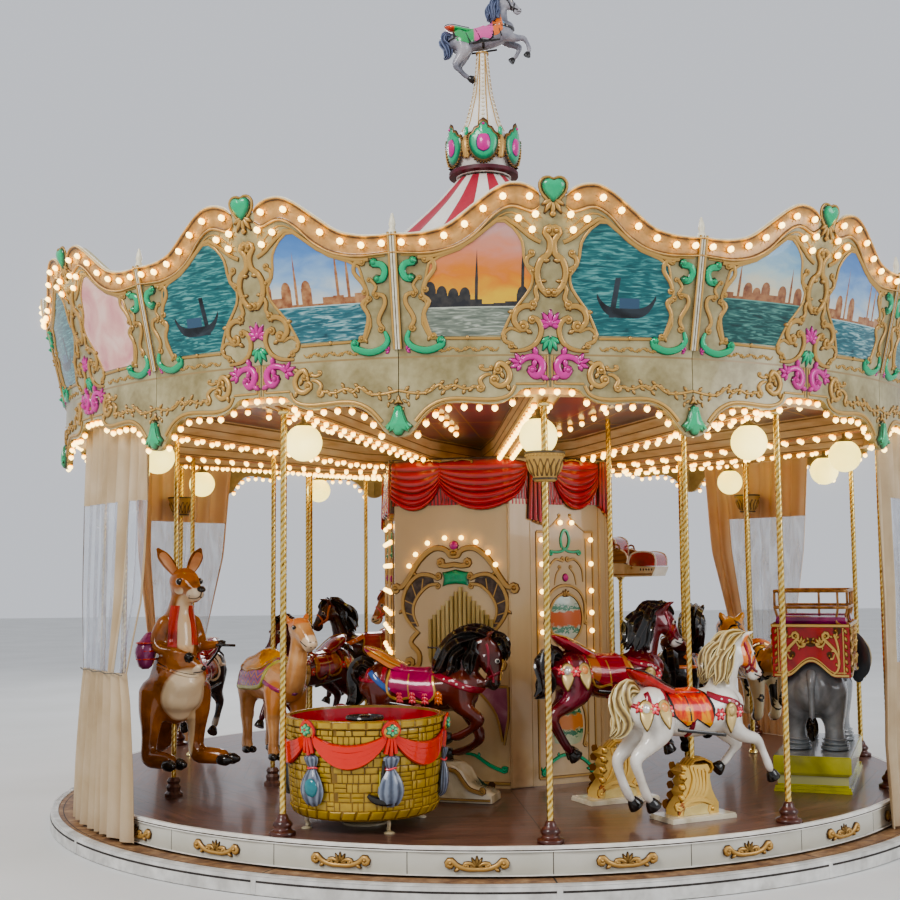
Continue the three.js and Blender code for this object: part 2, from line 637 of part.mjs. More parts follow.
// The elephant with a railed howdah on its back, standing on a two-step plinth. Both are narrow for their length.
const ELEPHANT_SLIM = 0.86;
function addElephant() {
  const seat = station(2320, 65);
  const plinthTop = 480;
  const lower = block([-600, -275, DECK_TOP + SEAT_GAP], [600, 275, 370]);
  const upper = block([-560, -240, 370], [560, 240, plinthTop]);
  place('elephant_plinth', carve([lower, upper]).scale(1, ELEPHANT_SLIM, 1), 'plinth', seat);
  const foot = plinthTop + SEAT_GAP;
  const legs = [[260, 130], [260, -130], [-280, 130], [-280, -130]].map(([x, y]) => (
    limb([[x, y, 900, 116], [x, y, 690, 88], [x + 15, y, foot, 96]], 6)));
  const ear = (side) => limb([
    [500, side * 60, 1130, 60], [450, side * 230, 1190, 70], [430, side * 310, 1040, 46], [450, side * 250, 880, 20],
  ], 4);
  const body = limb([[-430, 0, 830, 100], [-300, 0, 900, 215], [0, 0, 920, 232], [300, 0, 930, 210],
    [460, 0, 1000, 150]], 7, 1.05);
  const head = limb([[400, 0, 1080, 150], [550, 0, 1100, 156], [690, 0, 860, 70], [740, 0, 600, 40]], 6);
  const tail = limb([[-380, 0, 960, 40], [-500, 0, 880, 24], [-500, 0, 640, 28]], 4);
  const tub = block([-400, -280, 950], [330, 280, 1290]);
  const well = block([-365, -245, 1130], [295, 245, 1400]);
  const rail = (x0, y0, x1, y1, z) => block([x0 - 11, y0 - 11, z - 11], [x1 + 11, y1 + 11, z + 11]);
  const bars = [1390, 1500].flatMap((z) => [
    rail(-380, -262, -380, 262, z), rail(310, -262, 310, 262, z), rail(-380, 262, 310, 262, z),
    rail(-380, -262, 310, -262, z),
  ]);
  const posts = [[-380, -262], [-380, 262], [310, -262], [310, 262]].map(([x, y]) => (
    block([x - 11, y - 11, 1280], [x + 11, y + 11, 1500])));
  const animal = [body, head, tail, ear(1), ear(-1), ...legs];
  const underFeet = block([-600, -400, foot - 60], [600, 400, foot]);
  const figure = carve([...animal, tub, ...posts, ...bars], [well, underFeet]);
  place('elephant', figure.scale(1, ELEPHANT_SLIM, 1), 'grey', seat);
}

// A pole from the deck to the beam or the ceiling above it, for a figure that doesn't lift.
function standingPole(r, deg) {
  const fromBeam = Math.abs(deg - Math.round(deg / BAY_DEG) * BAY_DEG) * RAD * r;
  const overhead = fromBeam < BEAM_WIDTH / 2 + POLE_R ? 0 : BEAM_HEIGHT + SEAT_GAP;
  return rod(POLE_R, DECK_TOP + SEAT_GAP, beamUnderside(r - POLE_R) + overhead - SEAT_GAP);
}

// The tiger, with its long striped tail.
function tiger() {
  const legs = [[230, 70, 60], [230, -70, -30], [-230, 70, 40], [-230, -70, -40]].map(([x, y, swing]) => (
    limb([[x, y, -160, 76], [x + swing, y, -330, 44], [x + swing + 20, y, -545, 40]], 4)));
  return [
    limb([[-330, 0, -120, 90], [-220, 0, -130, 138], [200, 0, -115, 140], [300, 0, -50, 90]], 6),
    limb([[250, 0, -60, 90], [330, 0, 60, 112], [430, 0, 85, 100], [500, 0, 50, 60]], 6),
    limb([[340, 50, 90, 36], [325, 85, 215, 26]], 4),
    limb([[340, -50, 90, 36], [325, -85, 215, 26]], 4),
    limb([[-280, 0, -90, 40], [-440, 0, 20, 34], [-540, 0, -110, 34], [-500, 0, -420, 40]], 4),
    ...legs,
  ];
}

// Figures of the inner and rear rows, each fixed on its own pole.
function addFixedFigures() {
  const figures = [
    ['black_horse', 1450, 62, 1080, horse(LEGS.prance), 'black'],
    ['tiger', 2050, 97, 1080, tiger(), 'tiger'],
    ['dark_horse', OUTER_ROW_R, -159, 1100, horse(LEGS.prance), 'brown'],
    ['tan_horse', 1600, -168, 1180, horse(LEGS.leap), 'tan'],
    ['wine_horse', INNER_ROW_R, -129, 1000, horse(LEGS.leap), 'wine'],
    ['donkey', 2350, -108, 1000, horse(LEGS.prance), 'grey'],
  ];
  for (const [name, r, deg, height, geometries, finish] of figures) {
    const figure = carve([...geometries.map((g) => g.translate(0, 0, height)), standingPole(r, deg)]);
    place(name, figure, finish, station(r, deg));
  }
}

// The raised gondola with two seat wells, on a pair of poles.
function addGondola() {
  const hull = sidePlate([
    [-640, 1900], [-560, 1640], [-300, 1580], [300, 1580], [560, 1640], [680, 1860], [600, 1820], [330, 1790],
    [240, 1950], [180, 1960], [120, 1790], [-280, 1790], [-360, 1960], [-440, 1965],
  ], 420);
  const wells = [block([-270, -180, 1640], [110, 180, 2000])];
  const poles = [-250, 250].map((x) => rod(POLE_R, DECK_TOP + SEAT_GAP, 1620, x));
  place('gondola', carve([hull, ...poles], wells), 'gondola', station(2300, 149.5));
}

// The finial: a small rearing horse above the spire.
function addFinial() {
  const scale = 0.66;
  const rearing = -18 * RAD;
  const saddleZ = 5790;
  const carved = horse(LEGS.rear).map((g) => (
    g.scale(scale, scale, scale).rotateY(rearing).translate(0, 0, saddleZ)));
  const stub = rod(22, SPIRE_TOP + SEAT_GAP, saddleZ - 60);
  place('finial_horse', carve([stub, ...carved]), 'white');
}

addGround();
addDeck();
addDrum();
addCanopyFrame();
addCeiling();
addOuterPoles();
addRoundingBoards();
addRoof();
addCrown();
addFinial();
addCurtains();
addLiftingFigures();
addBasket();
addBrownHorse();
addElephant();
addFixedFigures();
addGondola();

export default carousel;
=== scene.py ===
import json
import random
from math import atan2, ceil, cos, hypot, pi, radians, sin, sqrt

import bpy
import numpy as np
from mathutils import Matrix, Vector
from mathutils.bvhtree import BVHTree

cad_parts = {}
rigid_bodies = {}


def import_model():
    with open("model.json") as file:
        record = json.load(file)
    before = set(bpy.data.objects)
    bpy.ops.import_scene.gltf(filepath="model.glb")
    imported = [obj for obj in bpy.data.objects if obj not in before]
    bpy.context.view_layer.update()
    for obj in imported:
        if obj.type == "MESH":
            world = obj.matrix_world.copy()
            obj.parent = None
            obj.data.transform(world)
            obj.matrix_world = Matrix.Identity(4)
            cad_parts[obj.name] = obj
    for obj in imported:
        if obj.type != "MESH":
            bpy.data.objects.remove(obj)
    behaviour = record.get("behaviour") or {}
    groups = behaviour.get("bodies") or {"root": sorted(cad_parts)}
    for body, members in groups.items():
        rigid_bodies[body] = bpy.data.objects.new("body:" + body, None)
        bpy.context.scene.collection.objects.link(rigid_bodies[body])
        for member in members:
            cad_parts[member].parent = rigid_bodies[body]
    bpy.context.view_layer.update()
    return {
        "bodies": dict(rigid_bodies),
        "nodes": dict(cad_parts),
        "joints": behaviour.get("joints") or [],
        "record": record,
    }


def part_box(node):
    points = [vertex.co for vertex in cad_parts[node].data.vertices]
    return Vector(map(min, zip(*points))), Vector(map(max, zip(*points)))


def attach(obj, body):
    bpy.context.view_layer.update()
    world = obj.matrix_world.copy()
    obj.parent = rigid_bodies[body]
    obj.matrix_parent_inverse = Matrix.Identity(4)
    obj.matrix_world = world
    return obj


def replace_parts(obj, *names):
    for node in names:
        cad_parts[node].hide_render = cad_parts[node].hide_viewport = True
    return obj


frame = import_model()
nodes = frame["nodes"]

# The view from the ground in front of the carousel, at the height of a standing adult's eyes, and the plain
# floor and soft lights around it. None of this belongs to the carousel itself.
EYE_DISTANCE = 9.654
EYE_HEIGHT = 1.6626
EYE_ROUND = radians(-6.3185)
LOOK_ASIDE, LOOK_UP, TILT = 0.0283, 0.0911, -0.009
lens = bpy.data.cameras.new("view")
lens.sensor_width = 36
lens.lens = 52.17
camera = bpy.data.objects.new("view", lens)
camera.matrix_world = (
    Matrix.Rotation(EYE_ROUND, 4, "Z")
    @ Matrix.Translation((0, -EYE_DISTANCE, EYE_HEIGHT))
    @ Matrix.Rotation(LOOK_ASIDE, 4, "Z")
    @ Matrix.Rotation(pi / 2 + LOOK_UP, 4, "X")
    @ Matrix.Rotation(TILT, 4, "Z")
)
bpy.context.scene.collection.objects.link(camera)
bpy.context.scene.camera = camera


def add_light(name, place, aim, size, watts, color):
    """A large soft light that shines from one point towards another."""
    data = bpy.data.lights.new(name, "AREA")
    data.shape = "DISK"
    data.size = size
    data.energy = watts
    data.color = color
    light = bpy.data.objects.new(name, data)
    light.location = place
    light.rotation_euler = (Vector(aim) - Vector(place)).to_track_quat("-Z", "Y").to_euler()
    bpy.context.scene.collection.objects.link(light)


add_light("key_light", (-7, -9, 9), (0, 0, 2), 5, 780, (1.0, 0.98, 0.95))
add_light("fill_light", (9, -7, 5), (0, 0, 2), 6, 360, (0.96, 0.98, 1.0))
add_light("rear_light", (0, 11, 8), (0, 0, 2.5), 6, 430, (1.0, 1.0, 1.0))
world = bpy.data.worlds.new("studio")
world.use_nodes = True
world.node_tree.nodes["Background"].inputs["Color"].default_value = (0.9, 0.93, 1.0, 1)
world.node_tree.nodes["Background"].inputs["Strength"].default_value = 0.66
bpy.context.scene.world = world
bpy.context.scene.view_settings.look = "AgX - Medium High Contrast"
bpy.context.scene.use_nodes = True
compositor = bpy.context.scene.node_tree
glow_around_lamps = compositor.nodes.new("CompositorNodeGlare")
glow_around_lamps.glare_type = "BLOOM"
for socket, value in (("Threshold", 1.6), ("Strength", 0.35), ("Size", 0.28), ("Saturation", 1.0)):
    glow_around_lamps.inputs[socket].default_value = value
compositor.links.new(compositor.nodes["Render Layers"].outputs["Image"], glow_around_lamps.inputs["Image"])
compositor.links.new(glow_around_lamps.outputs["Image"], compositor.nodes["Composite"].inputs["Image"])


def tint(code):
    """A colour from its six-figure code, in the linear values that shaders take."""
    parts = [int(code[i:i + 2], 16) / 255 for i in (0, 2, 4)]
    return tuple(c / 12.92 if c < 0.04045 else ((c + 0.055) / 1.055) ** 2.4 for c in parts) + (1.0,)


class Value:
    """What a node gives out. Python's operators on it add the Math nodes that reckon with it."""

    def __init__(self, finish, socket):
        self.finish = finish
        self.socket = socket

    def __getitem__(self, name):
        return Value(self.finish, self.socket.node.outputs[name])

    def math(self, operation, *others):
        return self.finish.node("ShaderNodeMath", {"operation": operation}, self, *others)

    def fade(self, low, high):
        """0 below low, 1 above high and even in between."""
        return self.finish.node("ShaderNodeMapRange", None, self, low, high)

    def __add__(self, other):
        return self.math("ADD", other)

    def __sub__(self, other):
        return self.math("SUBTRACT", other)

    def __rsub__(self, other):
        return self * -1 + other

    def __mul__(self, other):
        return self.math("MULTIPLY", other)

    def __truediv__(self, other):
        return self.math("DIVIDE", other)

    def __gt__(self, other):
        return self.math("GREATER_THAN", other)

    def __lt__(self, other):
        return self.math("LESS_THAN", other)

    def __mod__(self, other):
        return self.math("FLOORED_MODULO", other)

    def __or__(self, other):
        return self.math("MAXIMUM", other)

    def __and__(self, other):
        return self.math("MINIMUM", other)

    def __abs__(self):
        return self.math("ABSOLUTE")

    __radd__ = __add__
    __rmul__ = __mul__


class Finish:
    """A painted, gilded or woven surface: one material, and the nodes that vary it over a piece."""

    def __init__(self, name, color, **constants):
        self.material = bpy.data.materials.new(name)
        self.material.use_nodes = True
        self.tree = self.material.node_tree
        self.shader = self.tree.nodes["Principled BSDF"]
        self.set(Base_Color=tint(color), **constants)

    def plug(self, socket, value):
        if isinstance(value, Value):
            self.tree.links.new(value.socket, socket)
        else:
            socket.default_value = value

    def set(self, **sockets):
        for name, value in sockets.items():
            self.plug(self.shader.inputs[name.replace("_", " ")], value)
        return self

    def node(self, kind, settings=None, *values, **named):
        made = self.tree.nodes.new(kind)
        for name, value in (settings or {}).items():
            if name == "stops":
                while len(made.color_ramp.elements) < len(value):
                    made.color_ramp.elements.new(1)
                for stop, (where, color) in zip(made.color_ramp.elements, value):
                    stop.position = where
                    stop.color = tint(color)
            else:
                setattr(made, name, value)
        live = [socket for socket in made.inputs if socket.enabled]
        for socket, value in zip(live, values):
            self.plug(socket, value)
        for name, value in named.items():
            self.plug(next(s for s in live if s.name == name.replace("_", " ")), value)
        return Value(self, next(socket for socket in made.outputs if socket.enabled))

    def where(self):
        return self.node("ShaderNodeTexCoord")["Object"]

    def axes(self, vector=None):
        split = self.node("ShaderNodeSeparateXYZ", None, vector or self.where())
        return split["X"], split["Y"], split["Z"]

    def depth(self):
        """How deep in the carving a place lies, as Bench wrote it."""
        return self.node("ShaderNodeAttribute", {"attribute_name": "depth"})["Fac"]

    def noise(self, scale, detail=2.0, vector=None, **more):
        return self.node("ShaderNodeTexNoise", None, Vector=vector or self.where(), Scale=scale,
                         Detail=detail, **more)

    def stretched(self, factors):
        """Places along the piece, drawn out or pressed together along each axis."""
        return self.node("ShaderNodeVectorMath", {"operation": "MULTIPLY"}, self.where(), factors)

    def mix(self, mask, first, second):
        first, second = (tint(c) if isinstance(c, str) else c for c in (first, second))
        return self.node("ShaderNodeMix", {"data_type": "RGBA"}, Factor=mask, A=first, B=second)

    def ramp(self, value, *stops):
        return self.node("ShaderNodeValToRGB", {"stops": stops}, value)

    def shade(self, value, *stops):
        """Colours the finish by a value, from one stop's colour to the next."""
        return self.set(Base_Color=self.ramp(value, *stops))

    def bump(self, height, distance=0.002, strength=1.0):
        return self.set(Normal=self.node("ShaderNodeBump", None, Height=height, Distance=distance,
                                         Strength=strength))


def mottled(name, scale, detail, *stops, **constants):
    """A finish whose colour wavers between its stops, as paint and metal do."""
    finish = Finish(name, stops[0][1], **constants)
    return finish.shade(finish.noise(scale, detail), *stops)


floor_finish = mottled("studio_floor", 0.8, 2, (0.3, "d4d4d1"), (0.7, "dcdcda"), Roughness=0.85)
floor = bpy.data.meshes.new("studio_floor")
FLOOR_HALF = 40
floor.from_pydata([(-FLOOR_HALF, -FLOOR_HALF, 0), (FLOOR_HALF, -FLOOR_HALF, 0), (FLOOR_HALF, FLOOR_HALF, 0),
                   (-FLOOR_HALF, FLOOR_HALF, 0)], [], [(0, 1, 2, 3)])
floor.materials.append(floor_finish.material)
floor_object = bpy.data.objects.new("studio_floor", floor)
bpy.context.scene.collection.objects.link(floor_object)


# The fixed ground works. A ring of stained boards is the step up to the ride, with a ribbed white metal edge,
# and steel arms lie on the ground under the platform and carry the mast.
STEP_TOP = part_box("ground_step")[1].z
STEP_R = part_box("ground_step")[1].x
BAYS = 12
BAY_DEG = 360 / BAYS


def dress(name, finish):
    """Gives a carried-over solid its finish."""
    nodes[name].data.materials.clear()
    nodes[name].data.materials.append(finish.material)


class Bench:
    """Where a piece is put together from shapes. A shape is its points, its faces and how deep each point lies
    in the carving, from 0 on a crest to 1 in a groove; some finishes darken and lighten by it, as painted shade
    and highlight."""

    def __init__(self):
        self.points, self.faces, self.marks, self.depths, self.finishes = [], [], [], [], []
        self.count = 0

    def add(self, shape, finish, *moves):
        points, faces, depths = shape
        points = np.asarray(points, float)
        for move in moves:
            points = move(points)
        corners = np.array([face[:3] for face in faces])
        a, b, c = (points[corners[:, i]] - points.mean(0) for i in range(3))
        if (np.cross(a, b) * c).sum() < 0:
            faces = [face[::-1] for face in faces]
        if finish not in self.finishes:
            self.finishes.append(finish)
        self.faces += [tuple(i + self.count for i in face) for face in faces]
        self.marks += [self.finishes.index(finish)] * len(faces)
        self.points.append(points)
        self.depths.append(np.broadcast_to(np.asarray(depths, float), len(points)))
        self.count += len(points)

    def mesh(self, name, crease=45):
        mesh = bpy.data.meshes.new(name)
        mesh.from_pydata(np.concatenate(self.points).tolist(), [], self.faces)
        mesh.polygons.foreach_set("material_index", self.marks)
        depth = mesh.attributes.new("depth", "FLOAT", "POINT")
        depth.data.foreach_set("value", np.concatenate(self.depths).astype(np.float32))
        for finish in self.finishes:
            mesh.materials.append(finish.material)
        mesh.shade_smooth()
        mesh.set_sharp_from_angle(angle=radians(crease))
        mesh.update()
        return mesh

    def piece(self, name, body, turn=None, slot=None, crease=45):
        return set_up(name, self.mesh(name, crease), body, turn)


def set_up(name, mesh, body, turn=None):
    """Makes an object of a mesh, puts it in its place and lets it ride on its body."""
    made = bpy.data.objects.new(name, mesh)
    bpy.context.scene.collection.objects.link(made)
    if turn is not None:
        made.matrix_world = turn
    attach(made, body)
    return made


def grid_faces(rows, columns, closed=True, wrap=False):
    """Four-sided faces between rows of points. Closed joins each row's ends, wrap the last row to the first."""
    span = columns if closed else columns - 1
    made = []
    for i in range(rows if wrap else rows - 1):
        low, high = i * columns, (i + 1) % rows * columns
        made += [(low + j, low + (j + 1) % columns, high + (j + 1) % columns, high + j) for j in range(span)]
    return made


def capped(rows, columns):
    """The faces of a closed body: its rows of points, and a face over each end."""
    last = (rows - 1) * columns
    return grid_faces(rows, columns) + [tuple(range(columns))[::-1], tuple(range(last, last + columns))]


def turned(profile, sides=24, depths=None):
    """A body turned about the upright axis, from its (radius, height) stops."""
    hollow = profile[0] == profile[-1]
    profile = profile[:-1] if hollow else profile
    ring = np.linspace(0, 2 * pi, sides, endpoint=False)
    rows = [np.stack([r * np.cos(ring), r * np.sin(ring), np.full(sides, z)], 1) for r, z in profile]
    faces = grid_faces(len(rows), sides, wrap=True) if hollow else capped(len(rows), sides)
    depths = 0 if depths is None else np.repeat(depths[:len(rows)], sides)
    return np.concatenate(rows), faces, depths


def shift(x, y, z):
    return lambda points: points + (x, y, z)


def round_about(degrees):
    """Turns points about the upright axis."""
    c, s = cos(radians(degrees)), sin(radians(degrees))
    return lambda points: points @ np.array([[c, s, 0], [-s, c, 0], [0, 0, 1]])


board_finish = Finish("step_boards", "8d6b4f", Roughness=0.55)
grain = board_finish.noise(3, 5, board_finish.stretched((6, 6, 40)))
x, y, z = board_finish.axes()
reach = (x * x + y * y).math("SQRT")
round_turn = x.math("ARCTAN2", y)
butt = abs((round_turn + radians(BAY_DEG / 2)) % radians(BAY_DEG) - radians(BAY_DEG / 2)) < 0.0016
seam = ((reach % 0.11) < 0.006) | butt
worn = board_finish.ramp(grain, (0.3, "6a4b36"), (0.55, "94714f"), (0.75, "b2916c"))
board_finish.set(Base_Color=board_finish.mix(seam, worn, "2d2018"))
board_finish.bump(grain * 0.3 - seam * 2.0, 0.003)
dress("ground_step", board_finish)

metal_edge = mottled("step_edge_metal", 9, 4, (0.35, "c9c7c2"), (0.7, "efeeea"), Roughness=0.4, Metallic=0.35)
rubber_line = mottled("step_edge_line", 40, 2, (0.3, "2c2826"), (0.7, "453e3a"), Roughness=0.7)


def lip(bottom, top, inner, outer, sides=144):
    """A thin ring that lies against the edge of a round piece."""
    return turned([(inner, bottom), (outer, bottom), (outer, top), (inner, top), (inner, bottom)], sides)


step_edge = Bench()
step_edge.add(lip(0.004, STEP_TOP + 0.003, STEP_R + 0.0004, STEP_R + 0.007), metal_edge)
step_edge.add(lip(STEP_TOP + 0.0004, STEP_TOP + 0.006, STEP_R - 0.042, STEP_R + 0.007), metal_edge)
for ridge in range(5):
    inner = STEP_R - 0.04 + 0.008 * ridge
    step_edge.add(lip(STEP_TOP + 0.0061, STEP_TOP + 0.0085, inner, inner + 0.004), metal_edge)
step_edge.add(lip(STEP_TOP - 0.030, STEP_TOP - 0.020, STEP_R + 0.0071, STEP_R + 0.009), rubber_line)
step_edge.piece("step_edging", "ground", slot="step_edge")

joint_cover = Bench()
for bay in range(BAYS):
    flat = turned([(0.016, 0), (0.016, 0.074)], 8)
    joint_cover.add(flat, metal_edge, lambda p: p * (1, 0.35, 1), shift(0, -STEP_R - 0.008, 0.01),
                    round_about(bay * BAY_DEG))
joint_cover.piece("step_joint_covers", "ground", slot="step_edge")

steel = mottled("ground_steel", 12, 4, (0.35, "4a4d50"), (0.7, "6b6e72"), Roughness=0.5, Metallic=0.8)
steel.bump(steel.noise(60, 3), 0.0006)
dress("centre_mast", steel)

# The platform. A round deck of varnished red-brown boards turns on the mast, in twelve bays that meet at the
# outer poles. Its edge is closed by an ivory skirt with a lined white trim and two gilt mounts in each bay.
DECK_TOP = 0.254
SKIRT_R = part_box("deck_skirt")[1].x
SKIRT_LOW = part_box("deck_skirt")[0].z
deck_finish = Finish("varnished_deck", "6b4034", Roughness=0.3, Coat_Weight=0.35, Coat_Roughness=0.12)
x, y, z = deck_finish.axes()
turn_mark = x.math("ARCTAN2", y)
bay_turn = (turn_mark + radians(BAY_DEG / 2)) % radians(BAY_DEG) - radians(BAY_DEG / 2)
reach = (x * x + y * y).math("SQRT")
plank = reach * bay_turn.math("COSINE") / 0.145
across = reach * bay_turn.math("SINE")
row = plank.math("FLOOR")
joint = ((plank.math("FRACT") < 0.016) | (abs(across) < 0.0028)) & (z > DECK_TOP - 0.004)
figure = deck_finish.node("ShaderNodeCombineXYZ", None, across * 1.6 + row * 7.3, plank * 2.2, turn_mark * 0.6)
grain = deck_finish.noise(2.4, 6, figure, Roughness=0.62)
streak = deck_finish.noise(1.1, 3, figure)
wood = deck_finish.ramp(grain * 0.75 + streak * 0.25, (0.3, "422b25"), (0.46, "634338"), (0.6, "7a5648"),
                        (0.75, "9a6a55"))
deck_finish.set(Base_Color=deck_finish.mix(joint, wood, "1d100c"), Roughness=0.22 + grain * 0.24)
deck_finish.bump(grain * 0.25 - joint * 1.5, 0.002)
dress("deck", deck_finish)

skirt_finish = Finish("skirt_ivory", "cdc9ba", Roughness=0.32)
x, y, z = skirt_finish.axes()
bay_turn = (x.math("ARCTAN2", y) + radians(BAY_DEG / 2)) % radians(BAY_DEG) - radians(BAY_DEG / 2)
gap = abs(abs(bay_turn) - radians(BAY_DEG / 2)).math("MINIMUM", abs(bay_turn)) < 0.0007
# Mottled, and darker towards the bottom of the skirt.
mottle_and_low_darkening = skirt_finish.noise(5, 5) * 0.6 + (0.20 - z) * 2
shade = skirt_finish.ramp(mottle_and_low_darkening, (0.2, "d5d3c8"), (0.5, "c8c6b8"), (0.75, "aca592"))
skirt_finish.set(Base_Color=skirt_finish.mix(gap, shade, "3a322b"))
skirt_finish.bump(mottle_and_low_darkening * 0.1 - gap * 1.0, 0.002)
dress("deck_skirt", skirt_finish)


def carved(name, light, middle, dark, **constants):
    """Paint on carving: a painted highlight on the crests, painted shade down the sides, and a brown line in
    the grooves that is glaze and painted shade together.
    """
    finish = Finish(name, middle, **constants)
    # Depth in the carving darkens the colour as painted shade, and the noise varies it as wear.
    wear_and_groove_darkening = finish.noise(38, 4) * 0.34 + finish.depth() * 0.95 - 0.17
    finish.shade(wear_and_groove_darkening, (0.12, light), (0.42, middle), (0.86, dark))
    return finish.bump(finish.noise(70, 3), 0.0007, 0.5)


gilt = carved("carved_gilt", "c39c5c", "8d6730", "3a210a", Roughness=0.34, Metallic=0.25)


def smooth(points, steps=3):
    """Points along one smooth curve through the given ones."""
    points = np.asarray(points, float)
    run = np.vstack([2 * points[0] - points[1], points, 2 * points[-1] - points[-2]])
    t = np.linspace(0, 1, steps, endpoint=False)[:, None]
    parts = [b + t * (c - a) / 2 + t ** 2 * (a - 2.5 * b + 2 * c - d / 2) + t ** 3
             * (1.5 * (b - c) + (d - a) / 2)
             for a, b, c, d in zip(run, run[1:], run[2:], run[3:])]
    return np.vstack(parts + [points[-1:]])


def arc_section(start, end, count, flat=1.0):
    """A section as (side, height, depth in the carving), deepest at its foot."""
    turn = np.radians(np.linspace(start, end, count))
    return np.stack([np.cos(turn), flat * np.sin(turn), np.clip(1 - np.sin(turn) * 1.25, 0, 1)], 1)


HALF_ROUND = arc_section(-12, 192, 4, 0.9)
ROUND = arc_section(0, 300, 6) * (1, 1, 0)


def sweep(path, section, size, normal=(0, 0, 1)):
    """Draws a section along a path. Size scales it, the same all along or point by point."""
    path = np.asarray(path, float)
    if path.shape[1] == 2:
        path = np.column_stack([path, np.zeros(len(path))])
    ahead = np.gradient(path, axis=0)
    ahead /= np.linalg.norm(ahead, axis=1)[:, None] + 1e-12
    size = np.broadcast_to(size, len(path))
    side = np.cross(ahead[0], normal)
    rows = []
    for place, along, scale in zip(path, ahead, size):
        side = side - along * (side @ along)
        side = side / (np.linalg.norm(side) + 1e-12)
        up = np.cross(side, along)
        rows.append(place + scale * (section[:, :1] * side + section[:, 1:2] * up))
    return np.concatenate(rows), capped(len(rows), len(section)), np.tile(section[:, 2], len(rows))


def merge(*shapes):
    """Several shapes as one."""
    points, faces, depths, count = [], [], [], 0
    for some, sides, marks in shapes:
        some = np.asarray(some, float)
        faces += [tuple(i + count for i in face) for face in sides]
        depths.append(np.broadcast_to(np.asarray(marks, float), len(some)))
        points.append(some)
        count += len(some)
    return np.concatenate(points), faces, np.concatenate(depths)


def dome(outline, height, rows=3, hollow=0.0):
    """A cushion of carving over a flat outline; a hollow one is dished in the middle."""
    outline = np.asarray(outline, float)[:, :2]
    middle = outline.mean(0)
    layers, marks = [np.column_stack([outline, np.full(len(outline), -0.1 * height)])], [1.0]
    for rise in np.radians(np.linspace(0, 84, rows)):
        flat = middle + (outline - middle) * cos(rise)
        lift = height * (sin(rise) - hollow * max(0.0, 1 - cos(rise)) ** 0.8)
        layers.append(np.column_stack([flat, np.full(len(outline), lift)]))
        marks.append(max(0.0, 1 - 1.3 * sin(rise)) + hollow * (1 - cos(rise)))
    return np.concatenate(layers), capped(len(layers), len(outline)), np.repeat(marks, len(outline))


def petal(foot, heading, length, width, height=0.4):
    """One lobe of a leaf or shell that grows from its foot."""
    t = np.array([0, 0.55, 0.98])
    half = width / 2 * np.array([0.45, 1.0, 0.3])
    outline = np.concatenate([np.stack([t * length, -half], 1), np.stack([t * length, half], 1)[::-1]])
    c, s = cos(radians(heading)), sin(radians(heading))
    flat = outline @ np.array([[c, s], [-s, c]])
    low, crest = np.full((6, 1), -0.1 * height * width), np.full((6, 1), 0.95 * height * width)
    ridge = flat.mean(0) + (flat - flat.mean(0)) * (0.42, 0.42)
    points = np.vstack([np.hstack([flat + foot, low]), np.hstack([ridge + foot, crest])])
    return points, capped(2, 6), np.repeat([1.0, 0.0], 6)


def fan(foot, heading, spread, petals, length, width):
    """A palmette or shell: petals that spread from one foot, the middle one longest."""
    marks = np.linspace(-1, 1, petals)
    return merge(*[petal(foot, heading + m * spread / 2, length * (1 - 0.3 * m * m), width) for m in marks])


def curl(path, radius, turns=1.1):
    """Carries a flat path on into a spiral that turns the way it was turning."""
    path = np.asarray(path, float)
    before, last = path[-2] - path[-3], path[-1] - path[-2]
    way = 1 if before[0] * last[1] > before[1] * last[0] else -1
    heading, place, steps, spiral = atan2(last[1], last[0]), path[-1], ceil(7 * turns), []
    for step in range(steps):
        heading += way * 2 * pi * turns / steps
        place = place + radius * (1 - 0.72 * step / steps) * 2 * pi * turns / steps * np.array(
            [cos(heading), sin(heading)])
        spiral.append(place)
    return np.vstack([path, spiral])


def scroll(points, width, curls=(0, 0), tips=(0.45, 0.45), leaves=0, section=HALF_ROUND):
    """A carved C or S: a half-round ribbon, full in the middle and thinner at its tips. Curls are the radii of
    the spirals at its ends, with a button in each; leaves is how many lobes stand along one side of it, or the
    other side if negative."""
    path = smooth(points)
    shapes = []
    if curls[0]:
        path = curl(path[::-1], curls[0])[::-1]
        shapes.append(dome(ring_outline(path[0], width * 0.62, 7), width * 0.7, 2))
    if curls[1]:
        path = curl(path, curls[1])
        shapes.append(dome(ring_outline(path[-1], width * 0.62, 7), width * 0.7, 2))
    run = np.linspace(0, 1, len(path))
    full = np.sin(pi * run) ** 0.6
    taper = full + (1 - full) * (tips[0] * (1 - run) + tips[1] * run)
    shapes.append(sweep(path, section, width / 2 * taper))
    ahead = np.gradient(path, axis=0)
    for k in range(abs(leaves)):
        at = int((k + 0.8) / (abs(leaves) + 0.6) * (len(path) - 1))
        heading = np.degrees(np.arctan2(ahead[at][1], ahead[at][0])) + (55 if leaves > 0 else -55)
        shapes.append(petal(path[at], heading, width * 1.25, width * 0.8, 0.5))
    return merge(*shapes)


def ring_outline(center, radius, count=8, squash=1.0):
    """Points round a circle or an oval."""
    turn = np.linspace(0, 2 * pi, count, endpoint=False)
    return np.stack([center[0] + radius * np.cos(turn), center[1] + radius * squash * np.sin(turn)], 1)


def flipped(shape):
    """The shape and its mirror image over the upright line through its middle."""
    points, faces, depths = shape
    return merge(shape, (np.asarray(points) * (-1, 1, 1), [face[::-1] for face in faces], depths))


def around(radius):
    """Takes a place on the skirt, as its way along, its height and how far it stands out, round the ring."""
    def move(points):
        turn = points[:, 0] / radius
        out = radius + points[:, 2]
        return np.stack([out * np.sin(turn), -out * np.cos(turn), points[:, 1]], 1)
    return move


